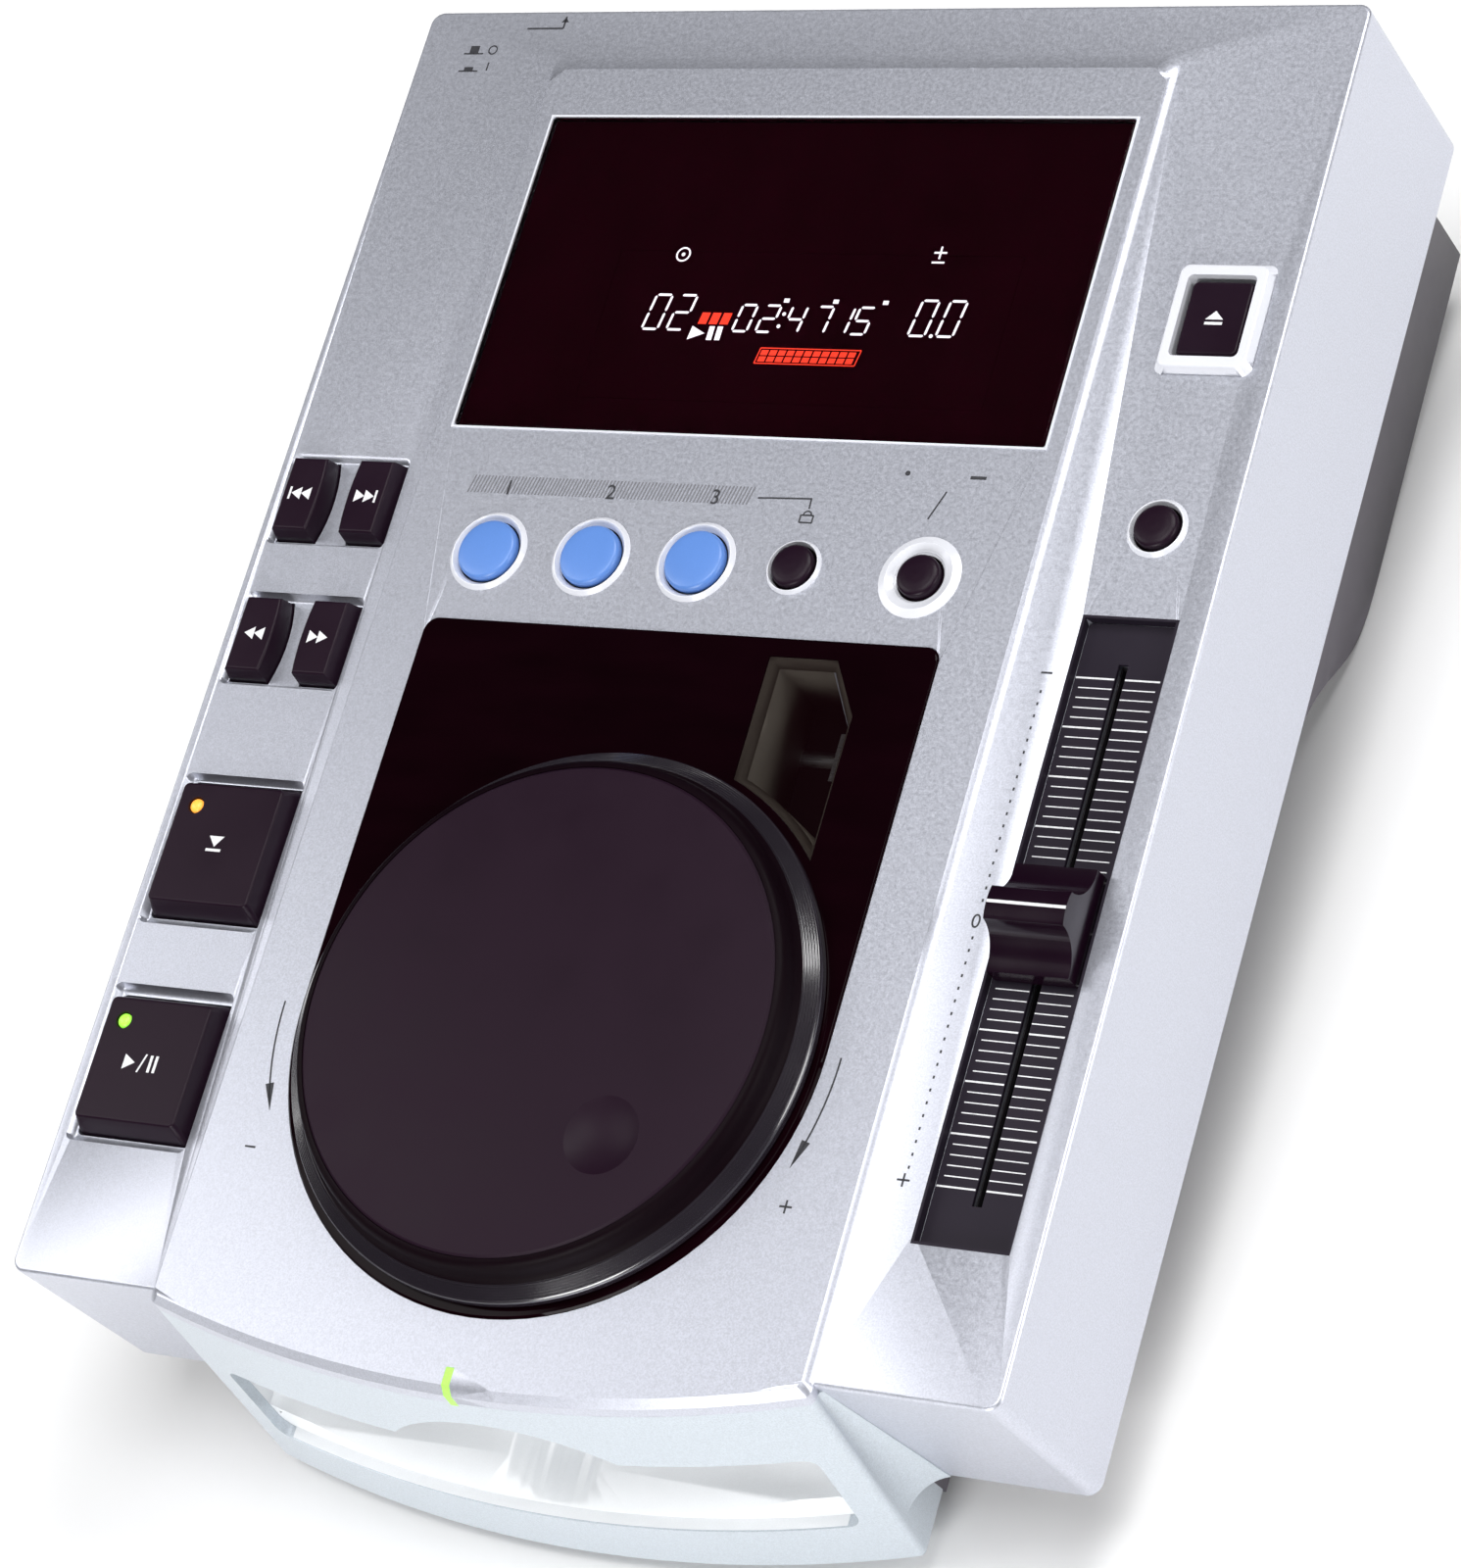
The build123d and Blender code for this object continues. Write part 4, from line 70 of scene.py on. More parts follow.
Point = tuple[float, float]
Colour = tuple[float, float, float]
Vec = tuple[float, float, float]
Ring = tuple[float, float, float, float]
Figures = tuple[str, tuple[float, ...]]
Socket = bpy.types.NodeSocket

DECK_SLOPE = math.radians(6.766174822553061)
DECK_ORIGIN = (0.0, 0.00226349, 0.0804359)
DECK = (
    Matrix.Translation(DECK_ORIGIN)
    @ Matrix.Rotation(DECK_SLOPE, 4, "X")
    @ Matrix.Scale(0.001, 4)
)
PANEL_Z = 1.8
STRIP_Z = 0.0
MERGE_M = 0.000002
PRINT_T = 0.04
PRINT_LIFT = 0.01
PANEL_PRINT = PANEL_Z + PRINT_LIFT
STRIP_PRINT = STRIP_Z + PRINT_LIFT


# ------------------------------------------------------------------ node graphs
class Graph:
    """A material's node tree with one Principled shader, wired by short calls."""

    def __init__(self, name: str) -> None:
        """Start an empty tree.

        Args:
            name: The material's name.
        """
        self.material = bpy.data.materials.new(name)
        self.material.use_nodes = True
        self.tree = self.material.node_tree
        self.tree.nodes.clear()
        self.shader = self.node("ShaderNodeBsdfPrincipled")
        output = self.node("ShaderNodeOutputMaterial")
        self.join(self.shader.outputs["BSDF"], output.inputs["Surface"])
        self.coords = self.node("ShaderNodeTexCoord").outputs["Object"]

    def node(self, kind: str) -> bpy.types.Node:
        """Add a node of that kind."""
        return self.tree.nodes.new(kind)

    def join(self, source: Socket, target: Socket) -> None:
        """Link two sockets."""
        self.tree.links.new(source, target)

    def fixed(self, **values: float | Colour | tuple) -> None:
        """Set the shader's own sockets.

        Args:
            values: Socket names with underscores for spaces, and their values.
        """
        for key, value in values.items():
            socket = self.shader.inputs[key.replace("_", " ")]
            if isinstance(value, tuple) and len(value) == 3:
                value = (*value, 1.0)
            socket.default_value = value

    def feed(self, name: str, source: Socket) -> None:
        """Link a varying value to one of the shader's sockets."""
        self.join(source, self.shader.inputs[name])

    def placed(self, stretch: Vec, turn: float = 0.0) -> Socket:
        """Object coordinates, stretched per axis and turned about X.

        Args:
            stretch: Factors along the three axes.
            turn: Angle about X in radians.

        Returns:
            The mapped vector.
        """
        mapping = self.node("ShaderNodeMapping")
        mapping.inputs["Rotation"].default_value = (turn, 0.0, 0.0)
        mapping.inputs["Scale"].default_value = stretch
        self.join(self.coords, mapping.inputs["Vector"])
        return mapping.outputs["Vector"]

    def grain(
        self, size_mm: float, detail: float = 2.0, stretch: Vec = (1.0, 1.0, 1.0),
        rough: float = 0.5,
    ) -> Socket:
        """Noise with features of about the given size.

        Args:
            size_mm: Size of a feature in millimetres.
            detail: Octaves.
            stretch: Factors along the deck's three axes.
            rough: Weight of the finer octaves.

        Returns:
            The noise factor.
        """
        noise = self.node("ShaderNodeTexNoise")
        noise.inputs["Scale"].default_value = 1000.0 / size_mm
        noise.inputs["Detail"].default_value = detail
        noise.inputs["Roughness"].default_value = rough
        self.join(self.placed(stretch, -DECK_SLOPE), noise.inputs["Vector"])
        return noise.outputs["Fac"]

    def shades(
        self, factor: Socket, low: Colour, high: Colour, start: float = 0.3, end: float = 0.7
    ) -> Socket:
        """A colour ramp between two shades.

        Args:
            factor: What drives it.
            low: Shade at the start.
            high: Shade at the end.
            start: Factor at which the low shade ends.
            end: Factor at which the high shade begins.

        Returns:
            The colour.
        """
        ramp = self.node("ShaderNodeValToRGB")
        ramp.color_ramp.elements[0].position = start
        ramp.color_ramp.elements[0].color = (*low, 1.0)
        ramp.color_ramp.elements[1].position = end
        ramp.color_ramp.elements[1].color = (*high, 1.0)
        self.join(factor, ramp.inputs["Fac"])
        return ramp.outputs["Color"]

    def tones(
        self, factor: Socket, colour: Colour, low: float, high: float, start: float = 0.3,
        end: float = 0.7,
    ) -> Socket:
        """A colour ramp between a darker and a lighter version of one colour.

        Args:
            factor: What drives it.
            colour: The colour.
            low: Brightness at the start.
            high: Brightness at the end.
            start: Factor at which the low shade ends.
            end: Factor at which the high shade begins.

        Returns:
            The colour.
        """
        return self.shades(factor, shade(colour, low), shade(colour, high), start, end)

    def span(self, factor: Socket, low: float, high: float) -> Socket:
        """Map a noise factor to a range of values."""
        remap = self.node("ShaderNodeMapRange")
        remap.inputs["From Min"].default_value = 0.25
        remap.inputs["From Max"].default_value = 0.75
        remap.inputs["To Min"].default_value = low
        remap.inputs["To Max"].default_value = high
        self.join(factor, remap.inputs["Value"])
        return remap.outputs["Result"]

    def layered(
        self, factor: Socket, under: Socket, over: Socket
    ) -> Socket:
        """Mix two colours by a factor."""
        mix = self.node("ShaderNodeMix")
        mix.data_type = "RGBA"
        self.join(factor, mix.inputs[0])
        self.join(under, mix.inputs[6])
        self.join(over, mix.inputs[7])
        return mix.outputs[2]

    def relief(self, height: Socket, depth_mm: float, strength: float) -> None:
        """Raise the surface by a height field.

        Args:
            height: Height from 0 to 1.
            depth_mm: Its depth in millimetres.
            strength: Strength of the effect.
        """
        bump = self.node("ShaderNodeBump")
        bump.inputs["Distance"].default_value = depth_mm / 1000.0
        bump.inputs["Strength"].default_value = strength
        self.join(height, bump.inputs["Height"])
        self.feed("Normal", bump.outputs["Normal"])


# ------------------------------------------------------------------ finishes
def shade(colour: Colour, factor: float) -> Colour:
    """A lighter or darker version of a colour."""
    return (
        min(colour[0] * factor, 1.0),
        min(colour[1] * factor, 1.0),
        min(colour[2] * factor, 1.0),
    )


@dataclass(frozen=True)
class Finish:
    """What every finish has: a name, its slot in the record and its main colour."""

    name: str
    slot: str
    colour: Colour

    def build(self) -> bpy.types.Material:
        """Return the material, made the first time it is asked for."""
        found = bpy.data.materials.get(self.name)
        if found:
            return found
        graph = Graph(self.name)
        graph.material.diffuse_color = (*self.colour, 1.0)
        self.wire(graph)
        return graph.material

    def wire(self, graph: Graph) -> None:
        """Fill the node tree."""
        raise NotImplementedError


@dataclass(frozen=True)
class Lacquer(Finish):
    """Silver lacquer with fine metal flakes on moulded plastic."""

    flake_mm: float = 0.34
    flake_depth: float = 0.012
    metal: float = 0.35
    rough: float = 0.36
    spark_scale: float = 2.3

    def wire(self, graph: Graph) -> None:
        """Two sizes of flake over a slow drift of tone, with orange-peel relief."""
        flakes = graph.grain(self.flake_mm, 1.0)
        sparks = graph.grain(self.flake_mm * self.spark_scale, 2.0)
        drift = graph.grain(60.0, 2.0)
        fine = graph.tones(flakes, self.colour, 0.86, 1.13, 0.32, 0.68)
        broad = graph.tones(sparks, self.colour, 0.93, 1.08)
        graph.feed("Base Color", graph.layered(graph.span(drift, 0.25, 0.6), fine, broad))
        graph.feed("Roughness", graph.span(sparks, self.rough - 0.05, self.rough + 0.07))
        graph.fixed(Metallic=self.metal, Coat_Weight=0.25, Coat_Roughness=0.18)
        graph.relief(flakes, self.flake_depth, 0.35)


@dataclass(frozen=True)
class Moulding(Finish):
    """Moulded plastic with a spark-eroded grain and handling wear."""

    shine: float = 0.5
    rough: float = 0.45
    grain_mm: float = 0.3
    depth_mm: float = 0.02
    contrast: float = 0.12
    coat: float = 0.0

    def wire(self, graph: Graph) -> None:
        """Fine grain, cloudy sheen and a slow drift of tone."""
        grain = graph.grain(self.grain_mm, 2.0)
        cloud = graph.grain(14.0, 3.0)
        dark, pale = 1.0 - self.contrast, 1.0 + self.contrast
        tone = graph.tones(cloud, self.colour, dark, pale)
        speck = graph.tones(grain, self.colour, dark, pale)
        graph.feed("Base Color", graph.layered(graph.span(cloud, 0.3, 0.6), tone, speck))
        graph.feed("Roughness", graph.span(cloud, self.rough - 0.05, self.rough + 0.06))
        graph.fixed(Coat_Weight=self.coat, Coat_Roughness=0.1, Specular_IOR_Level=self.shine)
        graph.relief(grain, self.depth_mm, 0.4)


@dataclass(frozen=True)
class GlossSheet(Finish):
    """Gloss acrylic sheet with faint wipe marks."""

    rough: float = 0.05
    shine: float = 0.16

    def wire(self, graph: Graph) -> None:
        """Long soft smears in the gloss and a very slight waviness."""
        smear = graph.grain(9.0, 3.0, (0.35, 1.0, 1.0))
        wave = graph.grain(45.0, 1.0)
        tone = graph.tones(smear, self.colour, 0.8, 1.25)
        graph.feed("Base Color", tone)
        graph.feed("Roughness", graph.span(smear, self.rough * 0.7, self.rough * 1.8))
        graph.fixed(IOR=1.49, Specular_IOR_Level=self.shine)
        graph.relief(wave, 0.02, 0.12)


@dataclass(frozen=True)
class Pane(Finish):
    """Clear or smoked acrylic that shows what is behind it."""

    rough: float = 0.02
    through: float = 1.0
    bend: float = 1.49
    cover: float = 1.0

    def wire(self, graph: Graph) -> None:
        """A tint with faint streaks; light passes through."""
        streak = graph.grain(16.0, 2.0, (1.0, 0.3, 1.0))
        tone = graph.tones(streak, self.colour, 0.9, 1.12)
        graph.feed("Base Color", tone)
        graph.feed("Roughness", graph.span(streak, self.rough * 0.6, self.rough * 1.6))
        graph.fixed(Transmission_Weight=self.through, IOR=self.bend, Alpha=self.cover)


@dataclass(frozen=True)
class Plated(Finish):
    """Bare or plated metal with a drawn grain."""

    rough: float = 0.3
    stretch: Vec = (0.08, 1.0, 1.0)
    grain_mm: float = 0.25

    def wire(self, graph: Graph) -> None:
        """Fine lines along the grain with patches of duller metal."""
        lines = graph.grain(self.grain_mm, 3.0, self.stretch)
        patch = graph.grain(6.0, 3.0)
        fine = graph.tones(lines, self.colour, 0.85, 1.12)
        broad = graph.tones(patch, self.colour, 0.9, 1.06)
        graph.feed("Base Color", graph.layered(graph.span(patch, 0.3, 0.6), fine, broad))
        graph.feed("Roughness", graph.span(lines, self.rough - 0.06, self.rough + 0.08))
        graph.fixed(Metallic=1.0)
        graph.relief(lines, 0.008, 0.4)


@dataclass(frozen=True)
class Elastomer(Finish):
    """Rubber or felt: dull, fine-grained, a little dusty."""

    rough: float = 0.8
    grain_mm: float = 0.25
    depth_mm: float = 0.03

    def wire(self, graph: Graph) -> None:
        """Grain with pale dust in its hollows."""
        grain = graph.grain(self.grain_mm, 3.0)
        dust = graph.grain(4.0, 4.0)
        body = graph.tones(grain, self.colour, 0.75, 1.3)
        dusty = graph.tones(dust, self.colour, 1.0, 2.2, 0.5, 0.9)
        graph.feed("Base Color", graph.layered(graph.span(dust, 0.1, 0.5), body, dusty))
        graph.feed("Roughness", graph.span(grain, self.rough - 0.06, self.rough + 0.1))
        graph.fixed(Sheen_Weight=0.15, Sheen_Roughness=0.5)
        graph.relief(grain, self.depth_mm, 0.6)


@dataclass(frozen=True)
class Laminate(Finish):
    """Lacquered circuit board with copper tracks under the mask."""

    pitch_mm: float = 3.0

    def wire(self, graph: Graph) -> None:
        """A mesh of track-like cells over the woven base."""
        cells = graph.node("ShaderNodeTexVoronoi")
        cells.feature = "DISTANCE_TO_EDGE"
        cells.distance = "MANHATTAN"
        cells.inputs["Scale"].default_value = 1000.0 / self.pitch_mm
        graph.join(graph.placed((1.0, 1.0, 1.0), -DECK_SLOPE), cells.inputs["Vector"])
        weave = graph.grain(0.5, 1.0)
        base = graph.tones(weave, self.colour, 0.8, 1.15)
        track = graph.tones(weave, self.colour, 1.6, 2.0)
        edge = graph.node("ShaderNodeMath")
        edge.operation = "LESS_THAN"
        edge.inputs[1].default_value = 0.09
        graph.join(cells.outputs["Distance"], edge.inputs[0])
        graph.feed("Base Color", graph.layered(edge.outputs["Value"], base, track))
        graph.feed("Roughness", graph.span(weave, 0.3, 0.42))
        graph.relief(edge.outputs["Value"], 0.03, 0.5)


@dataclass(frozen=True)
class Ink(Finish):
    """Screen-printed ink, a little uneven in its cover."""

    rough: float = 0.5

    def wire(self, graph: Graph) -> None:
        """Slight mottling of tone and gloss."""
        mottle = graph.grain(0.6, 3.0)
        tone = graph.tones(mottle, self.colour, 0.84, 1.08)
        graph.feed("Base Color", tone)
        graph.feed("Roughness", graph.span(mottle, self.rough - 0.08, self.rough + 0.1))
        graph.relief(mottle, 0.004, 0.3)


@dataclass(frozen=True)
class Glow(Finish):
    """A lit segment or lamp, brighter towards some of its grain."""

    power: float = 2.0

    def wire(self, graph: Graph) -> None:
        """Emission with the faint mesh of a phosphor or a lens."""
        mesh = graph.grain(0.35, 2.0)
        tone = graph.tones(mesh, self.colour, 0.8, 1.0)
        graph.feed("Base Color", tone)
        graph.feed("Emission Color", tone)
        graph.fixed(Emission_Strength=self.power, Roughness=0.35)
        graph.relief(mesh, 0.005, 0.3)


SILVER = Lacquer("silver lacquer", "silver", (0.565, 0.58, 0.65), metal=0.7, rough=0.38)
PALE = Lacquer("pale lacquer", "pale", (0.55, 0.60, 0.65), flake_mm=0.3, metal=0.3)
BRIGHT = Moulding(
    "bright ring lacquer", "bright", (0.70, 0.71, 0.76), rough=0.22, grain_mm=0.2,
    depth_mm=0.001, contrast=0.03, coat=0.3,
)
CHASSIS = Moulding("chassis paint", "dark_case", (0.085, 0.075, 0.092), rough=0.42, depth_mm=0.03)
WINDOW_BLACK = GlossSheet("window black", "gloss_black", (0.0042, 0.0005, 0.0016), shine=0.06)
DISPLAY_SMOKE = Pane("display smoke", "gloss_black", (0.06, 0.050, 0.054), bend=1.10)
VIEW_SMOKE = Pane(
    "viewing smoke", "smoke_clear", (0.006, 0.001, 0.002), through=0.0, bend=1.2, cover=0.38,
)
TUBE_GLASS = GlossSheet("tube glass", "tube_glass", (0.010, 0.004, 0.006), rough=0.12)
# Near-black used only for painted shade: the gaps round the buttons and the foot of the viewing
# well.
PAINTED_SHADE_BLACK = Moulding("painted shade black", "black", (0.004, 0.001, 0.002), rough=0.7, shine=0.1)
FILM_MAROON = Moulding(
    "window film", "tube_glass", (0.120, 0.003, 0.030), rough=0.6, shine=0.2, depth_mm=0.002,
)
DIAL_BLACK = Moulding(
    "dial matt black", "jog_black", (0.012, 0.0035, 0.0105), rough=0.5, grain_mm=0.22,
    depth_mm=0.012, shine=0.14,
)
FLANGE_BLACK = Moulding(
    "dial flange black", "jog_black", (0.020, 0.016, 0.022), rough=0.16, grain_mm=0.4,
    depth_mm=0.002, shine=1.0, coat=0.5,
)
KEY_BLACK = Moulding(
    "key satin black", "key_black", (0.011, 0.0035, 0.010), rough=0.36, depth_mm=0.006,
    shine=0.16,
)
KNOB_BLACK = Moulding(
    "knob satin black", "knob_black", (0.008, 0.002, 0.007), rough=0.2, depth_mm=0.003,
    shine=0.34,
)
BLACK = Moulding("inner black", "black", (0.022, 0.019, 0.022), rough=0.5, depth_mm=0.02)
PLATE_BLACK = Moulding(
    "scale plate black", "black", (0.014, 0.010, 0.018), rough=0.45, depth_mm=0.012, shine=0.2,
)
BLUE = Moulding(
    "button blue", "blue", (0.105, 0.235, 0.600), rough=0.34, contrast=0.06, depth_mm=0.008,
)
GUIDE_GREEN = Glow("light guide green", "green_clear", (0.36, 0.75, 0.10), power=0.45)
LAMP_AMBER = Glow("lamp amber", "lamp", (0.95, 0.36, 0.05), power=1.1)
LAMP_GREEN = Glow("lamp green", "lamp", (0.30, 0.85, 0.06), power=1.1)
THROAT_WHITE = Moulding(
    "throat white", "pale", (0.86, 0.88, 0.90), rough=0.4, contrast=0.04, depth_mm=0.008,
)
# Dark grey for the strips that paint the shadow under the mouth's upper lip.
SHADOW_STRIP_GREY = Elastomer(
    "painted shadow grey", "felt", (0.05, 0.052, 0.06), rough=0.9, grain_mm=0.3, depth_mm=0.06,
)
WELL_OLIVE = Moulding(
    "viewing well", "black", (0.25, 0.225, 0.185), rough=0.6, depth_mm=0.01, shine=0.25,
)
# Darker copy of the well's olive: painted shade on the step, which faces up and would otherwise
# catch more light than the wall below.
WELL_STEP_PAINTED_SHADE = Moulding(
    "viewing step painted shade", "black", (0.150, 0.132, 0.108), rough=0.7, depth_mm=0.01, shine=0.1,
)
# Darker copy of the dial's black: painted shade on the shoulder, which would otherwise show grey
# where it tilts to the light.
SHOULDER_PAINTED_SHADE = Moulding(
    "dial shoulder painted shade", "jog_black", (0.0042, 0.0012, 0.0028), rough=0.45, depth_mm=0.006,
    shine=0.05,
)
PANEL_PAINT = Moulding(
    "rear panel paint", "dark_case", (0.075, 0.068, 0.080), rough=0.5, depth_mm=0.03,
)
SOCKET_RED = Moulding("socket red", "black", (0.45, 0.03, 0.03), rough=0.4)
SOCKET_WHITE = Moulding("socket white", "black", (0.70, 0.70, 0.68), rough=0.4)
RUBBER = Elastomer("rubber", "rubber", (0.020, 0.020, 0.021))
FELT = Elastomer("felt", "felt", (0.018, 0.018, 0.019), rough=0.9, grain_mm=0.18, depth_mm=0.08)
STEEL = Plated("plated steel", "steel", (0.52, 0.53, 0.55))
DARK_STEEL = Plated("blackened steel", "steel", (0.030, 0.026, 0.028), rough=0.55)
SCREW_BLACK = Plated(
    "black screw", "screw_black", (0.06, 0.06, 0.065), rough=0.38, stretch=(1.0, 1.0, 1.0),
)
BRASS = Plated("brass", "brass", (0.62, 0.46, 0.20), rough=0.28, stretch=(1.0, 1.0, 1.0))
IRON = Plated("varnished iron", "iron", (0.22, 0.20, 0.19), rough=0.5)
BOARD = Laminate("circuit board", "board", (0.055, 0.130, 0.050))
INK_DARK = Ink("print dark", "black", (0.030, 0.030, 0.036))
INK_HATCH = Ink("print hatch", "dark_case", (0.17, 0.17, 0.19))
INK_WHITE = Ink("print white", "pale", (0.78, 0.78, 0.80))
DIGIT_WHITE = Glow("digit white", "tube_glass", (0.92, 0.95, 1.0), power=6.4)
DIGIT_RED = Glow("digit red", "tube_glass", (1.0, 0.06, 0.03), power=5.4)


# ------------------------------------------------------------------ shaping
class Blank:
    """A bmesh in deck millimetres that operators shape into one piece."""

    def __init__(self) -> None:
        """Start with nothing."""
        self.bm = bmesh.new()

    def block(self, x: Point, y: Point, z: Point, turn: float = 0.0) -> list[bmesh.types.BMVert]:
        """Rectangular block.

        Args:
            x: Its ends across the deck.
            y: Its ends along the deck.
            z: Its ends in height.
            turn: Angle about its own middle, in radians.

        Returns:
            Its vertices.
        """
        middle = Vector(((x[0] + x[1]) / 2.0, (y[0] + y[1]) / 2.0, (z[0] + z[1]) / 2.0))
        size = Matrix.Diagonal((x[1] - x[0], y[1] - y[0], z[1] - z[0], 1.0))
        place = Matrix.Translation(middle) @ Matrix.Rotation(turn, 4, "Z") @ size
        return bmesh.ops.create_cube(self.bm, size=1.0, matrix=place)["verts"]

    def plate(self, points: list[Point], z: Point) -> list[bmesh.types.BMVert]:
        """Flat plate raised from an outline.

        Args:
            points: The outline.
            z: Lower and upper height.

        Returns:
            Its vertices.
        """
        low = [self.bm.verts.new((px, py, z[0])) for px, py in points]
        face = self.bm.faces.new(low)
        made = bmesh.ops.extrude_face_region(self.bm, geom=[face])
        high = [v for v in made["geom"] if isinstance(v, bmesh.types.BMVert)]
        bmesh.ops.translate(self.bm, verts=high, vec=(0.0, 0.0, z[1] - z[0]))
        return low + high

    def drum(
        self, at: Point, z: Point, radius: float, crown: float | None = None, steps: int = 40
    ) -> list[bmesh.types.BMVert]:
        """Round post or cone with closed ends.

        Args:
            at: Its centre.
            z: Lower and upper height.
            radius: Radius at the foot.
            crown: Radius at the top, the same if left out.
            steps: Faces round it.

        Returns:
            Its vertices.
        """
        place = Matrix.Translation((at[0], at[1], (z[0] + z[1]) / 2.0))
        made = bmesh.ops.create_cone(
            self.bm, cap_ends=True, cap_tris=False, segments=steps, radius1=radius,
            radius2=radius if crown is None else crown, depth=z[1] - z[0], matrix=place,
        )
        return made["verts"]

    def lathe(self, profile: list[Point], at: Point, steps: int = 96) -> list[bmesh.types.BMVert]:
        """Turn a profile of (radius, height) points about an upright line.

        Args:
            profile: The points in order.
            at: The line's place.
            steps: Faces round it.

        Returns:
            The new vertices.
        """
        before = set(self.bm.verts)
        line = [self.bm.verts.new((at[0] + r, at[1], z)) for r, z in profile]
        edges = [self.bm.edges.new(pair) for pair in zip(line, line[1:])]
        bmesh.ops.spin(
            self.bm, geom=line + edges, cent=(at[0], at[1], 0.0), axis=(0.0, 0.0, 1.0),
            angle=math.tau, steps=steps, use_merge=True,
        )
        fresh = [v for v in self.bm.verts if v not in before]
        bmesh.ops.remove_doubles(self.bm, verts=fresh, dist=0.0005)
        return [v for v in self.bm.verts if v not in before]

    def stroke(self, points: list[Point], width: float, z: float) -> None:
        """Flat printed line along some points, as wide all along.

        Args:
            points: The line's corners.
            width: Its width.
            z: The surface that it is printed on.
        """
        for (ax, ay), (bx, by) in zip(points, points[1:]):
            run = math.hypot(bx - ax, by - ay)
            mid = ((ax + bx) / 2.0, (ay + by) / 2.0)
            self.block(*around(mid, (run, width)), inked(z), math.atan2(by - ay, bx - ax))

    def minus(self, at: Point, size: float, width: float, z: float) -> None:
        """Printed minus sign.

        Args:
            at: Its middle.
            size: Its length.
            width: Width of the stroke.
            z: The surface that it is printed on.
        """
        half = size / 2.0
        self.stroke([(at[0] - half, at[1]), (at[0] + half, at[1])], width, z)

    def plus(self, at: Point, size: float, width: float, z: float) -> None:
        """Printed plus sign.

        Args:
            at: Its middle.
            size: Length of both strokes.
            width: Width of the strokes.
            z: The surface that it is printed on.
        """
        half = size / 2.0
        self.minus(at, size, width, z)
        self.stroke([(at[0], at[1] - half), (at[0], at[1] + half)], width, z)

    def piece(
        self, name: str, finish: Finish, body: str = "body", crease: float = 35.0,
        place: Matrix = DECK,
    ) -> bpy.types.Object:
        """Turn the blank into a finished piece of the player.

        Args:
            name: The piece's name.
            finish: Its finish.
            body: The CAD body that it rides on.
            crease: Angle above which an edge stays sharp, in degrees.
            place: What sets it into the row frame.

        Returns:
            The object.
        """
        bmesh.ops.recalc_face_normals(self.bm, faces=self.bm.faces)
        mesh = bpy.data.meshes.new(name)
        self.bm.to_mesh(mesh)
        self.bm.free()
        mesh.transform(place)
        return enter(name, mesh, finish, body, crease)


def enter(
    name: str, mesh: bpy.types.Mesh, finish: Finish, body: str, crease: float
) -> bpy.types.Object:
    """Shade a finished mesh, link it and let it ride on its body.

    Args:
        name: The piece's name.
        mesh: Its mesh in the row frame.
        finish: Its finish.
        body: The CAD body that it rides on.
        crease: Angle above which an edge stays sharp, in degrees.

    Returns:
        The object.
    """
    mesh.shade_smooth()
    mesh.set_sharp_from_angle(angle=math.radians(crease))
    mesh.materials.clear()
    mesh.materials.append(finish.build())
    piece = bpy.data.objects.new(name, mesh)
    bpy.context.scene.collection.objects.link(piece)
    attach(piece, body)
    LOG.info("%s: %d faces, %s, on %s", name, len(mesh.polygons), finish.name, body)
    return piece


def body_of(node: str) -> str:
    """Name of the CAD body that a node rides on."""
    return frame["nodes"][node]["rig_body"]


def skin(node: str, name: str, finish: Finish, crease: float = 25.0) -> bpy.types.Object:
    """A smooth-shaded copy of a CAD solid that stands for it.

    Args:
        node: The CAD node.
        name: Name of the new piece.
        finish: Its finish.
        crease: Angle above which an edge stays sharp, in degrees.

    Returns:
        The object.
    """
    mesh = bpy.data.meshes.new(name)
    work = bmesh.new()
    work.from_mesh(frame["nodes"][node].data)
    bmesh.ops.remove_doubles(work, verts=work.verts, dist=MERGE_M)
    bmesh.ops.dissolve_degenerate(work, edges=work.edges, dist=MERGE_M)
    work.to_mesh(mesh)
    work.free()
    piece = enter(name, mesh, finish, body_of(node), crease)
    even = piece.modifiers.new("even normals", "WEIGHTED_NORMAL")
    even.mode = "FACE_AREA"
    even.weight = 50
    even.keep_sharp = True
    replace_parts(piece, node)
    return piece


def coat(node: str, finish: Finish) -> None:
    """Give a CAD node that stays as it is its finish.

    Args:
        node: The CAD node.
        finish: Its finish.
    """
    target = frame["nodes"][node]
    material = finish.build()
    if not target.material_slots:
        target.data.materials.append(material)
    for place in target.material_slots:
        place.material = material
    LOG.info("%s: CAD solid in %s", node, finish.name)


def inked(z: float) -> Point:
    """Lower and upper height of ink on a surface."""
    return (z, z + PRINT_T)


def spread(start: float, end: float, steps: int) -> list[float]:
    """Evenly spaced values from start to end, both included."""
    return [start + (end - start) * step / steps for step in range(steps + 1)]


def around(middle: Point, size: Point) -> tuple[Point, Point]:
    """Ends across and along the deck of a rectangle about its middle."""
    (x, y), (w, d) = middle, size
    return (x - w / 2.0, x + w / 2.0), (y - d / 2.0, y + d / 2.0)


def rectangle(x: Point, y: Point) -> list[Point]:
    """Outline of a rectangle from its ends across and along the deck."""
    return [(x[0], y[0]), (x[1], y[0]), (x[1], y[1]), (x[0], y[1])]


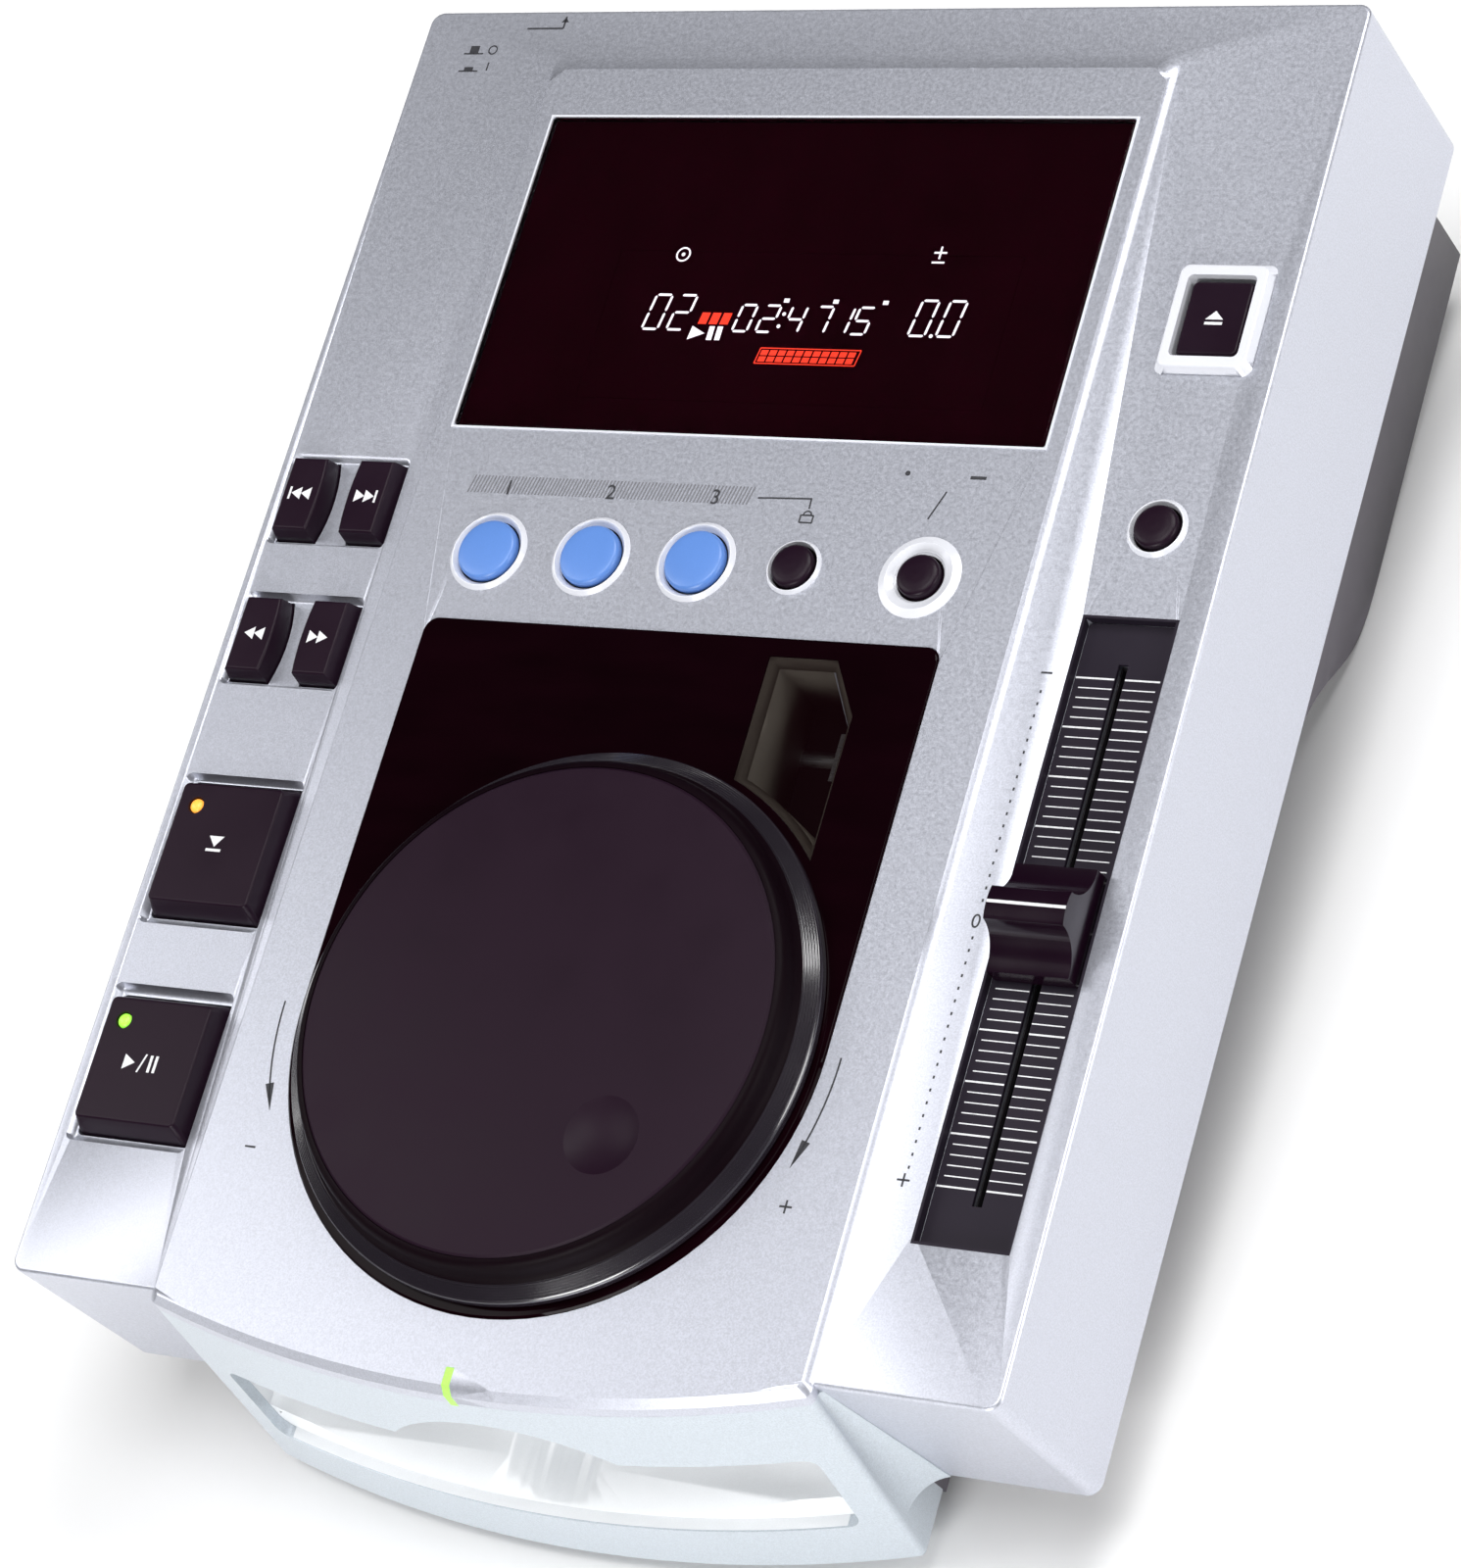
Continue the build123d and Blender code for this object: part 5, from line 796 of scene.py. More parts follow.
def leaning(corner: Point, size: Point, lean: float) -> list[Point]:
    """Outline of a cell that leans to the right.

    Args:
        corner: Its lower left corner.
        size: Its width and height.
        lean: How far its upper side is moved.

    Returns:
        The outline.
    """
    (x, y), (w, h) = corner, size
    return [(x, y), (x + w, y), (x + w + lean, y + h), (x + lean, y + h)]


def polar(centre: Point, radius: float, degrees: float) -> Point:
    """Point at an angle round a centre."""
    turn = math.radians(degrees)
    return (centre[0] + radius * math.cos(turn), centre[1] + radius * math.sin(turn))


def arc(centre: Point, radius: float, start: float, end: float, steps: int) -> list[Point]:
    """Points along an arc.

    Args:
        centre: Its centre.
        radius: Its radius.
        start: First angle in degrees.
        end: Last angle in degrees.
        steps: Number of runs.

    Returns:
        The points.
    """
    return [polar(centre, radius, turn) for turn in spread(start, end, steps)]


def shifted(points: list[Point], at: Point, size: float = 1.0, mirror: bool = False) -> list[Point]:
    """Scale an outline and move it.

    Args:
        points: The outline about its own middle.
        at: Where its middle goes.
        size: Scale.
        mirror: Whether left and right change places.

    Returns:
        The new outline.
    """
    side = -1.0 if mirror else 1.0
    return [(at[0] + side * size * px, at[1] + size * py) for px, py in points]


# ------------------------------------------------------------------ symbols
class Mark(Enum):
    """Symbols on keys and in the display, as outlines about their middle."""

    TRACK_BACK = "track back"
    TRACK_FORWARD = "track forward"
    SEARCH_BACK = "search back"
    SEARCH_FORWARD = "search forward"
    PLAY_PAUSE = "play and pause"
    SET_POINT = "set point"
    EJECT = "eject"

    def outlines(self) -> list[list[Point]]:
        """Return the outlines of unit height that make up the symbol."""
        arrow = [(-0.42, -0.5), (0.42, 0.0), (-0.42, 0.5)]
        bar = rectangle((-0.09, 0.09), (-0.5, 0.5))
        pair = [shifted(arrow, (-0.46, 0.0)), shifted(arrow, (0.38, 0.0))]
        track = [*pair, shifted(bar, (0.93, 0.0))]
        middle = (0.0, 0.0)
        shapes = {
            Mark.TRACK_FORWARD: track,
            Mark.SEARCH_FORWARD: pair,
            Mark.TRACK_BACK: [shifted(outline, middle, mirror=True) for outline in track],
            Mark.SEARCH_BACK: [shifted(outline, middle, mirror=True) for outline in pair],
            Mark.PLAY_PAUSE: [
                shifted(arrow, (-0.95, 0.0)),
                [(-0.25, -0.6), (-0.12, -0.6), (0.26, 0.6), (0.13, 0.6)],
                shifted(bar, (0.62, 0.0), 1.1),
                shifted(bar, (1.02, 0.0), 1.1),
            ],
            Mark.SET_POINT: [
                [(-0.5, 0.42), (0.0, -0.22), (0.5, 0.42)],
                rectangle((-0.5, 0.5), (-0.5, -0.34)),
            ],
            Mark.EJECT: [
                [(-0.62, -0.12), (0.62, -0.12), (0.0, 0.5)],
                rectangle((-0.62, 0.62), (-0.5, -0.3)),
            ],
        }
        return shapes[self]

    def draw(self, blank: Blank, at: Point, height: float, z: float) -> None:
        """Print the symbol on a surface.

        Args:
            blank: The blank that it is added to.
            at: Its middle.
            height: Its height.
            z: The surface.
        """
        for outline in self.outlines():
            blank.plate(shifted(outline, at, height), inked(z))


# ------------------------------------------------------------------ the case
@dataclass
class CaseShell:
    """Silver slab, nose, white disc throat, slot lips and light guide."""

    crease: float = 22.0
    fine_crease: float = 16.0
    mid_x: float = -1.15
    mouth_w: float = 131.0
    bow_r: float = 277.0
    back_y: float = -145.9
    front_y: float = -155.0
    front_lean: float = 0.19
    lip_z: float = -44.5
    lip_end: float = 3.2
    lip_inset: Point = (0.35, 3.4)
    lip_steps: int = 28
    # Painted shadow under the mouth's upper lip: dark strips on the slot's wall and on the throat
    # floor.
    brush_at: Point = (10.5, -149.4)
    brush_gap: float = 0.4
    brush_walls: tuple[tuple[Point, ...], ...] = (
        ((-43.0, -36.8), (-12.7, -36.8), (-12.7, -31.9), (-43.0, -31.9)),
        (
            (12.7, -37.9), (31.0, -37.9), (40.0, -36.2), (50.0, -34.8), (60.0, -34.2),
            (60.0, -31.9), (12.7, -31.9),
        ),
    )
    brush_floors: tuple[Point, ...] = ((-43.0, -13.2), (11.0, 33.0))
    brush_floor_z: Point = (-37.99, -37.85)
    brush_steps: int = 12

    def build(self) -> None:
        """Dress the shell's solids."""
        skin("top_case", "case_top_shell", SILVER, self.fine_crease)
        skin("nose", "case_nose_shell", PALE, self.crease)
        skin("slot_throat", "disc_throat", THROAT_WHITE, self.crease)
        skin("light_guide", "nose_light_guide", GUIDE_GREEN, self.crease)
        coat("slot_lips", FELT)
        self.sill()
        self.brush()

    def bow(self, x: float, inset: float) -> float:
        """Depth of the nose's bowed front at the mouth's lower edge.

        Args:
            x: Place across the deck.
            inset: Distance behind the front face.

        Returns:
            The place along the deck.
        """
        front = self.front_y - self.front_lean * (PANEL_Z - self.lip_z) + inset
        return front + self.bow_r - math.sqrt(self.bow_r**2 - (x - self.mid_x) ** 2)

    def sill(self) -> None:
        """White strip on the cut face of the mouth's lower lip."""
        blank = Blank()
        half = self.mouth_w / 2.0 - self.lip_end
        across = spread(self.mid_x - half, self.mid_x + half, self.lip_steps)
        near, far = self.lip_inset
        outline = [(x, self.bow(x, near)) for x in across]
        outline += [(x, self.bow(x, far)) for x in reversed(across)]
        blank.plate(outline, (self.lip_z + 0.01, self.lip_z + 0.07))
        blank.piece("mouth_sill", THROAT_WHITE)

    def brush_front(self, x: float) -> float:
        """Front edge of the painted shadow strip on the floor, which follows the nose's bow."""
        rise = self.bow(x + self.brush_at[0], 0.0) - self.bow(self.mid_x, 0.0)
        return min(self.brush_at[1] + rise, self.back_y - self.brush_gap)

    def brush(self) -> None:
        """Dark grey strips along the slot's lower edge, on the wall and on the floor: painted
        shadow under the nose's upper lip.
        """
        face = Matrix.Translation((0.0, self.back_y - 0.02, 0.0))
        upright = DECK @ face @ Matrix.Rotation(math.pi / 2.0, 4, "X")
        wall = Blank()
        for outline in self.brush_walls:
            wall.plate(list(outline), (0.0, 0.25))
        wall.piece("slot_painted_shadow", SHADOW_STRIP_GREY, place=upright)
        floor = Blank()
        rear = self.back_y - 0.05
        for x0, x1 in self.brush_floors:
            near = [(x, self.brush_front(x)) for x in spread(x0, x1, self.brush_steps)]
            floor.plate([*near, (x1, rear), (x0, rear)], self.brush_floor_z)
        floor.piece("throat_painted_shadow", SHADOW_STRIP_GREY)


@dataclass
class DeckPrints:
    """Marks printed on the silver deck: strips, lines, arrows, scale dots and signs."""

    hatch_x: Point = (-59.7, 5.9)
    hatch_y: Point = (28.9, 32.8)
    hatch_pitch: float = 0.8
    hatch_lean: float = 0.9
    fine_line: float = 0.3
    line: float = 0.35
    sign_line: float = 0.4
    minus_size: float = 2.4
    plus_size: float = 2.6
    number_size: float = 4.6
    number_y: float = 28.7
    number_lift: float = 0.05
    lock_body: tuple[Point, Point] = ((17.9, 20.7), (25.6, 27.2))
    lock_bow_r: float = 0.9
    state_rows: tuple[Point, ...] = ((133.0, 1.9), (128.7, 1.0))
    arrows: tuple[tuple[float, float, float, float], ...] = (
        (62.2, 180.5, 200.6, 1.0), (61.2, 0.0, -20.0, -1.0),
    )
    arrow_tip: Point = (1.2, 4.2)
    arrow_wing: float = 0.95
    dot_pitch: float = 2.5
    dot: Point = (0.4, 0.6)
    dot_gap: float = 2.6
    scale_x: float = 78.3
    scale_y: Point = (-101.0, -5.0)

    def build(self) -> None:
        """Print everything."""
        self.hatched_strip()
        self.numbers()
        self.panel_marks()
        self.power_marks()
        self.turn_arrows()
        self.tempo_dots()

    def hatched_strip(self) -> None:
        """Strip of fine slanting strokes above the effect buttons."""
        blank = Blank()
        x0, x1 = self.hatch_x
        y0, y1 = self.hatch_y
        for step in range(int((x1 - x0) / self.hatch_pitch)):
            x = x0 + step * self.hatch_pitch
            blank.stroke([(x, y0), (x + self.hatch_lean, y1)], self.fine_line, PANEL_PRINT)
        blank.piece("hatched_strip_print", INK_HATCH)

    def numbers(self) -> None:
        """Plain numbers over the three effect buttons."""
        z = PANEL_PRINT + self.number_lift
        for count, x in enumerate(RoundButtons.blue_x, start=1):
            at = (x, self.number_y)
            lettering(f"effect_number_{count}", str(count), at, self.number_size, z)

    def panel_marks(self) -> None:
        """Leader and padlock over the hold button, and the marks of the mode button."""
        blank = Blank()
        (left, right), (low, high) = self.lock_body
        body = rectangle((left, right), (low, high))
        for points in (
            [(7.3, 30.5), (19.2, 30.8)],
            [(19.2, 30.9), (19.3, 28.6)],
            [(45.6, 27.6), (48.0, 33.6)],
            [*body, body[0]],
        ):
            blank.stroke(points, self.line, PANEL_PRINT)
        bow = arc(((left + right) / 2.0, high), self.lock_bow_r, 0.0, 180.0, 8)
        blank.stroke(bow, self.fine_line, PANEL_PRINT)
        blank.drum((38.5, 37.2), inked(PANEL_PRINT), 0.55, steps=20)
        blank.stroke([(52.2, 36.8), (55.6, 36.8)], 0.7, PANEL_PRINT)
        blank.piece("panel_marks_print", INK_DARK)

    def power_marks(self) -> None:
        """Line to the power button, and pictograms of the button out and pressed."""
        blank = Blank()
        corner = (-74.4, 139.1)
        blank.stroke([(-83.3, corner[1]), corner, (corner[0], 142.0)], self.sign_line, STRIP_PRINT)
        head = shifted([(-0.9, 0.0), (0.9, 0.0), (0.0, -1.2)], (corner[0], 140.6), -1.0)
        blank.plate(head, inked(STRIP_PRINT))
        for y, height in self.state_rows:
            blank.stroke([(-97.2, y), (-92.4, y)], self.line, STRIP_PRINT)
            blank.block((-95.9, -93.7), (y, y + height), inked(STRIP_PRINT))
        blank.stroke(arc((-90.2, 133.9), 1.0, 0.0, 360.0, 20), self.fine_line, STRIP_PRINT)
        blank.stroke([(-90.2, 128.8), (-90.2, 130.8)], self.line, STRIP_PRINT)
        blank.piece("power_marks_print", INK_DARK)

    def turn_arrows(self) -> None:
        """Curved arrows on both sides of the dial, with minus and plus."""
        blank = Blank()
        centre = (JogDial.x, JogDial.y)
        ahead, behind = self.arrow_tip
        for radius, first, last, way in self.arrows:
            blank.stroke(arc(centre, radius, first, last, 18), self.line, PANEL_PRINT)
            head = [polar(centre, radius, last + way * ahead)]
            for reach in (self.arrow_wing, -self.arrow_wing):
                head.append(polar(centre, radius + reach, last - way * behind))
            blank.plate(head, inked(PANEL_PRINT))
        blank.minus((-61.0, -113.1), self.minus_size, self.sign_line, PANEL_PRINT)
        blank.plus((57.0, -111.8), self.plus_size, self.sign_line, PANEL_PRINT)
        blank.piece("turn_arrows_print", INK_DARK)

    def tempo_dots(self) -> None:
        """Dotted guide line beside the tempo slider, with its signs."""
        blank = Blank()
        y = self.scale_y[0]
        while y <= self.scale_y[1]:
            if abs(y - TempoSlider.y) > self.dot_gap:
                blank.block(*around((self.scale_x, y), self.dot), inked(STRIP_PRINT))
            y += self.dot_pitch
        blank.minus((78.5, -2.1), self.minus_size, self.sign_line, STRIP_PRINT)
        blank.plus((77.9, -103.5), self.plus_size, self.sign_line, STRIP_PRINT)
        blank.piece("tempo_guide_print", INK_DARK)
        lettering("tempo_zero_print", "0", (78.1, -54.0), 4.0, STRIP_PRINT)


def lettering(name: str, words: str, at: Point, size: float, z: float) -> bpy.types.Object:
    """A printed number in the default font, as a mesh.

    Args:
        name: The piece's name.
        words: The digits.
        at: Middle of the baseline.
        size: Height of the type in millimetres.
        z: The surface.

    Returns:
        The object.
    """
    curve = bpy.data.curves.new(name + "_type", "FONT")
    curve.body = words
    curve.size = size
    curve.align_x = "CENTER"
    curve.extrude = PRINT_T / 2.0
    curve.resolution_u = 6
    text = bpy.data.objects.new(name + "_type", curve)
    bpy.context.scene.collection.objects.link(text)
    bpy.context.view_layer.update()
    mesh = bpy.data.meshes.new_from_object(text)
    mesh.name = name
    bpy.data.objects.remove(text)
    bpy.data.curves.remove(curve)
    mesh.transform(DECK @ Matrix.Translation((at[0], at[1], z + PRINT_T / 2.0)))
    return enter(name, mesh, INK_DARK, "body", 35.0)


# ------------------------------------------------------------------ display
@dataclass
class Display:
    """Smoked window in a bright edge that paints the highlight of the panel's cut edge, the tube
    behind it and its lit segments.
    """

    middle: Point = (-1.05, 80.1)
    size: Point = (134.2, 72.4)
    tube: Point = (92.0, 34.0)
    tube_at: Point = (3.5, 69.0)
    large: Point = (4.2, 8.4)
    small: Point = (3.9, 6.5)
    stroke: float = 0.52
    slant: float = 0.16
    z: float = 0.06
    film_z: Point = (0.01, 0.05)
    base_y: float = 67.7
    segment_gap: float = 0.2
    sign_line: float = 0.4
    sign_size: float = 2.8
    point_r: float = 0.42
    red_at: Point = (-19.4, 69.4)
    red_cell: Point = (1.9, 2.6)
    red_pitch: float = 2.5
    red_lean: float = 0.4
    bar_at: Point = (-3.2, 61.3)
    bar_cell: Point = (1.58, 1.16)
    bar_pitch: Point = (1.98, 1.45)
    bar_lean: float = 0.18
    bar_shift: float = 0.22
    cells: int = 11
    track: Figures = ("02", (-32.4, -26.6))
    time: Figures = ("024715", (-11.4, -6.0, 0.1, 6.0, 10.8, 15.3))
    tempo: Figures = ("00", (28.4, 34.6))
    points: tuple[Point, ...] = ((-1.0, 1.6), (-1.0, 4.4), (33.8, 0.3))
    segments: dict[str, str] = field(
        default_factory=lambda: {
            "0": "abcdef", "1": "bc", "2": "abged", "4": "fgbc", "5": "afgcd", "7": "abc",
        }
    )

    def build(self) -> None:
        """Window, rim, mask, tube, digits, symbols and the lit bar."""
        skin("display_window", "display_pane", DISPLAY_SMOKE)
        coat("display_tube", TUBE_GLASS)
        self.rim()
        self.film()
        self.digits()
        self.signs()
        self.lit_bar()

    def frame_of(
        self, blank: Blank, outer: Point, at: Point, inner: Point, inner_at: Point, z: Point
    ) -> None:
        """Four bars round a rectangular opening.

        Args:
            blank: What they are added to.
            outer: Size outside.
            at: Middle of the outside.
            inner: Size of the opening.
            inner_at: Middle of the opening.
            z: Lower and upper height.
        """
        ox, oy = around(at, outer)
        ix, iy = around(inner_at, inner)
        blank.block(ox, (oy[0], iy[0]), z)
        blank.block(ox, (iy[1], oy[1]), z)
        blank.block((ox[0], ix[0]), iy, z)
        blank.block((ix[1], ox[1]), iy, z)

    def rim(self) -> None:
        """Thin bright edge round the window: a painted highlight of the panel's cut edge."""
        blank = Blank()
        outer = (self.size[0] + 1.1, self.size[1] + 1.1)
        inner = (self.size[0] + 0.16, self.size[1] + 0.16)
        z = (PANEL_Z - 0.6, PANEL_Z + 0.16)
        self.frame_of(blank, outer, self.middle, inner, self.middle, z)
        # Bright lacquer here is a painted highlight along the window's edge.
        blank.piece("display_rim_highlight", BRIGHT)

    def film(self) -> None:
        """Dark film behind the window, and the filter let into it over the tube."""
        border = Blank()
        outer = (self.size[0] - 0.3, self.size[1] - 0.3)
        self.frame_of(border, outer, self.middle, self.tube, self.tube_at, self.film_z)
        border.piece("display_film", FILM_MAROON)
        sheet = Blank()
        inner = (self.tube[0] - 0.1, self.tube[1] - 0.1)
        sheet.block(*around(self.tube_at, inner), self.film_z)
        sheet.piece("display_filter", FILM_MAROON)

    def slanted(self, x: float, y: float) -> Point:
        """Lean a point of the row of digits to the right."""
        return (x + (y - self.base_y) * self.slant, y)

    def segment(self, blank: Blank, ends: tuple[Point, Point]) -> None:
        """One six-sided segment between two points."""
        (ax, ay), (bx, by) = ends
        run = math.hypot(bx - ax, by - ay)
        ux, uy = (bx - ax) / run, (by - ay) / run
        half = self.stroke / 2.0
        near, far = self.segment_gap, run - self.segment_gap
        outline = []
        for along, across in (
            (near, 0.0), (near + half, -half), (far - half, -half),
            (far, 0.0), (far - half, half), (near + half, half),
        ):
            at = (ax + ux * along - uy * across, ay + uy * along + ux * across)
            outline.append(self.slanted(*at))
        blank.plate(outline, inked(self.z))

    def numeral(self, blank: Blank, figure: str, x: float, size: Point) -> None:
        """One seven-segment numeral with its left edge at x."""
        w, h = size
        half = self.stroke / 2.0
        left, right = x + half, x + w - half
        low, high = self.base_y + half, self.base_y + h - half
        mid = (low + high) / 2.0
        lines = {
            "a": ((left, high), (right, high)), "b": ((right, mid), (right, high)),
            "c": ((right, low), (right, mid)), "d": ((left, low), (right, low)),
            "e": ((left, low), (left, mid)), "f": ((left, mid), (left, high)),
            "g": ((left, mid), (right, mid)),
        }
        for letter in self.segments[figure]:
            self.segment(blank, lines[letter])

    def digits(self) -> None:
        """Track, time and tempo figures with their points."""
        blank = Blank()
        for (figures, places), size in (
            (self.track, self.large), (self.time, self.small), (self.tempo, self.large),
        ):
            for figure, x in zip(figures, places):
                self.numeral(blank, figure, x, size)
        for x, y in self.points:
            blank.drum(self.slanted(x, self.base_y + y), inked(self.z), self.point_r, steps=12)
        blank.piece("display_digits", DIGIT_WHITE)

    def signs(self) -> None:
        """Small lit marks round the figures, and two plain printed symbols."""
        blank = Blank()
        z = inked(self.z)
        blank.plate([(-20.8, 65.8), (-17.2, 67.3), (-20.4, 68.9)], z)
        for x in (-15.8, -13.9):
            blank.block((x - 0.6, x + 0.6), (65.8, 68.9), z)
        for x in (-0.6, 10.6, 21.8):
            blank.block((x - 0.6, x + 0.6), (74.7, 75.6), z)
        disc, tempo = (-27.7, 85.2), (30.7, 86.6)
        blank.stroke(arc(disc, 1.5, 0.0, 360.0, 24), 0.35, self.z)
        blank.drum(disc, z, self.point_r, steps=12)
        blank.plus(tempo, self.sign_size, self.sign_line, self.z)
        blank.minus((tempo[0], 84.4), self.sign_size, self.sign_line, self.z)
        blank.piece("display_white_signs", DIGIT_WHITE)
        red = Blank()
        for step in range(3):
            corner = (self.red_at[0] + step * self.red_pitch, self.red_at[1])
            red.plate(leaning(corner, self.red_cell, self.red_lean), z)
        red.piece("display_red_signs", DIGIT_RED)

    def lit_bar(self) -> None:
        """Two rows of small red cells in a thin frame under the time figures."""
        blank = Blank()
        left, low = self.bar_at
        for row in range(2):
            for step in range(self.cells):
                x = left + step * self.bar_pitch[0] + row * self.bar_shift
                cell = leaning((x, low + row * self.bar_pitch[1]), self.bar_cell, self.bar_lean)
                blank.plate(cell, inked(self.z))
        edge = leaning((left - 0.6, low - 0.4), (22.7, 3.45), 0.6)
        blank.stroke([*edge, edge[0]], 0.22, self.z)
        blank.piece("display_position_bar", DIGIT_RED)


# ------------------------------------------------------------------ jog dial
@dataclass
class JogDial:
    """Gloss plate, clear viewing pane and the dial with its ribbed flange."""

    x: float = -1.5
    y: float = -82.4
    top_z: float = 11.5
    top_r: float = 49.6
    dimple_r: float = 7.75
    dimple_depth: float = 2.1
    dimple_at: float = 32.3
    dimple_angle: float = -46.0
    steps: int = 224
    rib_from: Point = (53.0, 6.4)
    rib_to: Point = (55.65, 4.55)
    ribs: int = 6
    pane_z: Point = (1.95, 2.28)
    well_foot_z: float = -16.8
    well_step: float = 1.65
    well_taper: float = 0.15
    shaft_t: float = 0.05
    field_x: Point = (20.5, 42.0)
    field_rear: float = -3.2
    field_cut: Point = (35.4, -14.7)
    cut_share: float = 0.6
    field_near_r: float = 57.5
    floor_t: float = 0.4
    bowl_rings: int = 9
    bowl_steps: int = 56
    rib_depth: float = 0.24

    def build(self) -> None:
        """Dress the plate, hang the pane over its well, and turn the dial."""
        skin("jog_window", "jog_plate_gloss", WINDOW_BLACK)
        self.pane()
        self.well()
        self.dial()
        self.shoulder()
        self.flange()
        coat("jog_shaft", STEEL)
        coat("encoder_disc", BLACK)
        coat("jog_bracket", DARK_STEEL)
        coat("jog_bush", BRASS)
        coat("jog_sensor", BLACK)

    def field(self, inset: float) -> list[Point]:
        """Outline of the clear field beside the dial.

        Args:
            inset: How far inside the opening it runs.

        Returns:
            The outline, with the dial's side as an arc.
        """
        left, right = self.field_x[0] + inset, self.field_x[1] - inset
        rear, cut = self.field_rear - inset, inset * self.cut_share
        radius = self.field_near_r + inset
        ends = [math.degrees(math.acos((x - self.x) / radius)) for x in (left, right)]
        near_dial = arc((self.x, self.y), radius, ends[1], ends[0], 24)
        corner_x, corner_y = self.field_cut
        return [*near_dial, (left, rear), (corner_x - cut, rear), (right, corner_y - cut)]

    def pane(self) -> None:
        """Thin clear sheet, flush with the plate."""
        blank = Blank()
        blank.plate(self.field(0.06), self.pane_z)
        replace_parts(blank.piece("viewing_pane", VIEW_SMOKE), "view_window")

    def well(self) -> None:
        """Shaft under the pane, with a step over the case's edge in a darker olive that paints its
        shade, and a black floor sheet that paints the dark depth below.
        """
        top, foot = self.pane_z[0], self.well_foot_z
        # The step is in a darker copy of the well's olive: painted shade.
        self.shaft("viewing_step", WELL_STEP_PAINTED_SHADE, ((0.08, top), (self.well_step, 0.02)))
        deep = self.well_step + self.well_taper
        self.shaft("viewing_well", WELL_OLIVE, ((self.well_step, 0.0), (deep, foot)))
        # Black sheet at the well's foot: painted shade for the dark depth under the pane.
        floor = Blank()
        floor.plate(self.field(deep + 0.1), (foot, foot + self.floor_t))
        floor.piece("viewing_well_painted_shade", PAINTED_SHADE_BLACK)

    def shaft(self, name: str, finish: Finish, levels: tuple[Point, ...]) -> None:
        """Thin wall that follows the clear field's outline down through some levels.

        Args:
            name: The piece's name.
            finish: Its finish.
            levels: Inset and height of each level, from the top.
        """
        blank = Blank()
        loops = []
        for inset, z in levels:
            ring = [blank.bm.verts.new((px, py, z)) for px, py in self.field(inset)]
            loops.append([blank.bm.edges.new(pair) for pair in zip(ring, ring[1:] + ring[:1])])
        for upper, lower in zip(loops, loops[1:]):
            bmesh.ops.bridge_loops(blank.bm, edges=upper + lower)
        bmesh.ops.recalc_face_normals(blank.bm, faces=blank.bm.faces)
        piece = blank.piece(name, finish)
        wall = piece.modifiers.new("wall", "SOLIDIFY")
        wall.thickness = self.shaft_t / 1000.0
        wall.offset = 0.0

    def dial(self) -> None:
        """Matt top with the finger dimple, its thin edge line and its hollow underside."""
        blank = Blank()
        centre = (self.x, self.y)
        spot = polar(centre, self.dimple_at, self.dimple_angle)
        r, z = self.top_r, self.top_z
        side = [
            (r - 0.55, z), (r - 0.5, z - 0.01), (r, z - 0.42), (r, z - 0.9), (r - 1.6, z - 1.2),
            (r - 1.6, 8.8), (8.0, 8.9), (8.0, 2.4), (3.1, 2.4), (3.1, 8.9), (0.0, 8.9),
        ]
        blank.lathe(side, centre, self.steps)
        bmesh.ops.create_circle(
            blank.bm, cap_ends=False, segments=self.bowl_steps, radius=self.dimple_r,
            matrix=Matrix.Translation((*spot, z)),
        )
        edge = [e for e in blank.bm.edges if all(abs(v.co.z - z) < 1e-5 for v in e.verts)]
        bmesh.ops.triangle_fill(blank.bm, use_beauty=True, edges=edge, normal=(0.0, 0.0, 1.0))
        ball = (self.dimple_r**2 + self.dimple_depth**2) / (2.0 * self.dimple_depth)
        bottom = z - self.dimple_depth + ball
        bowl = [
            (radius, bottom - math.sqrt(ball**2 - radius**2))
            for radius in spread(self.dimple_r, 0.0, self.bowl_rings)
        ]
        blank.lathe(bowl, spot, self.bowl_steps)
        bmesh.ops.remove_doubles(blank.bm, verts=blank.bm.verts, dist=0.002)
        piece = blank.piece("dial_top", DIAL_BLACK, "jog", crease=20.0)
        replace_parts(piece, "jog_dial")

    def shoulder(self) -> None:
        """Rounded shoulder between the top and the flange, in a darker copy of the dial's black
        that paints its shade.
        """
        r, z = self.top_r, self.top_z
        rib_r, rib_z = self.rib_from
        profile = [
            (r - 0.6, z - 1.5), (r - 0.02, z - 0.6), (r + 0.15, z - 0.28), (r + 0.8, z - 0.4),
            (r + 1.4, z - 0.75), (r + 1.85, z - 1.4), (r + 2.15, z - 2.3), (r + 2.35, z - 3.6),
            (r + 2.7, z - 4.5), (rib_r + 0.1, rib_z - 0.1), (rib_r - 1.0, rib_z - 0.6),
            (r - 0.6, rib_z - 0.2), (r - 0.6, z - 1.5),
        ]
        blank = Blank()
        blank.lathe(profile, (self.x, self.y), self.steps)
        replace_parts(blank.piece("dial_shoulder", SHOULDER_PAINTED_SHADE, "jog", crease=40.0), "jog_dial")

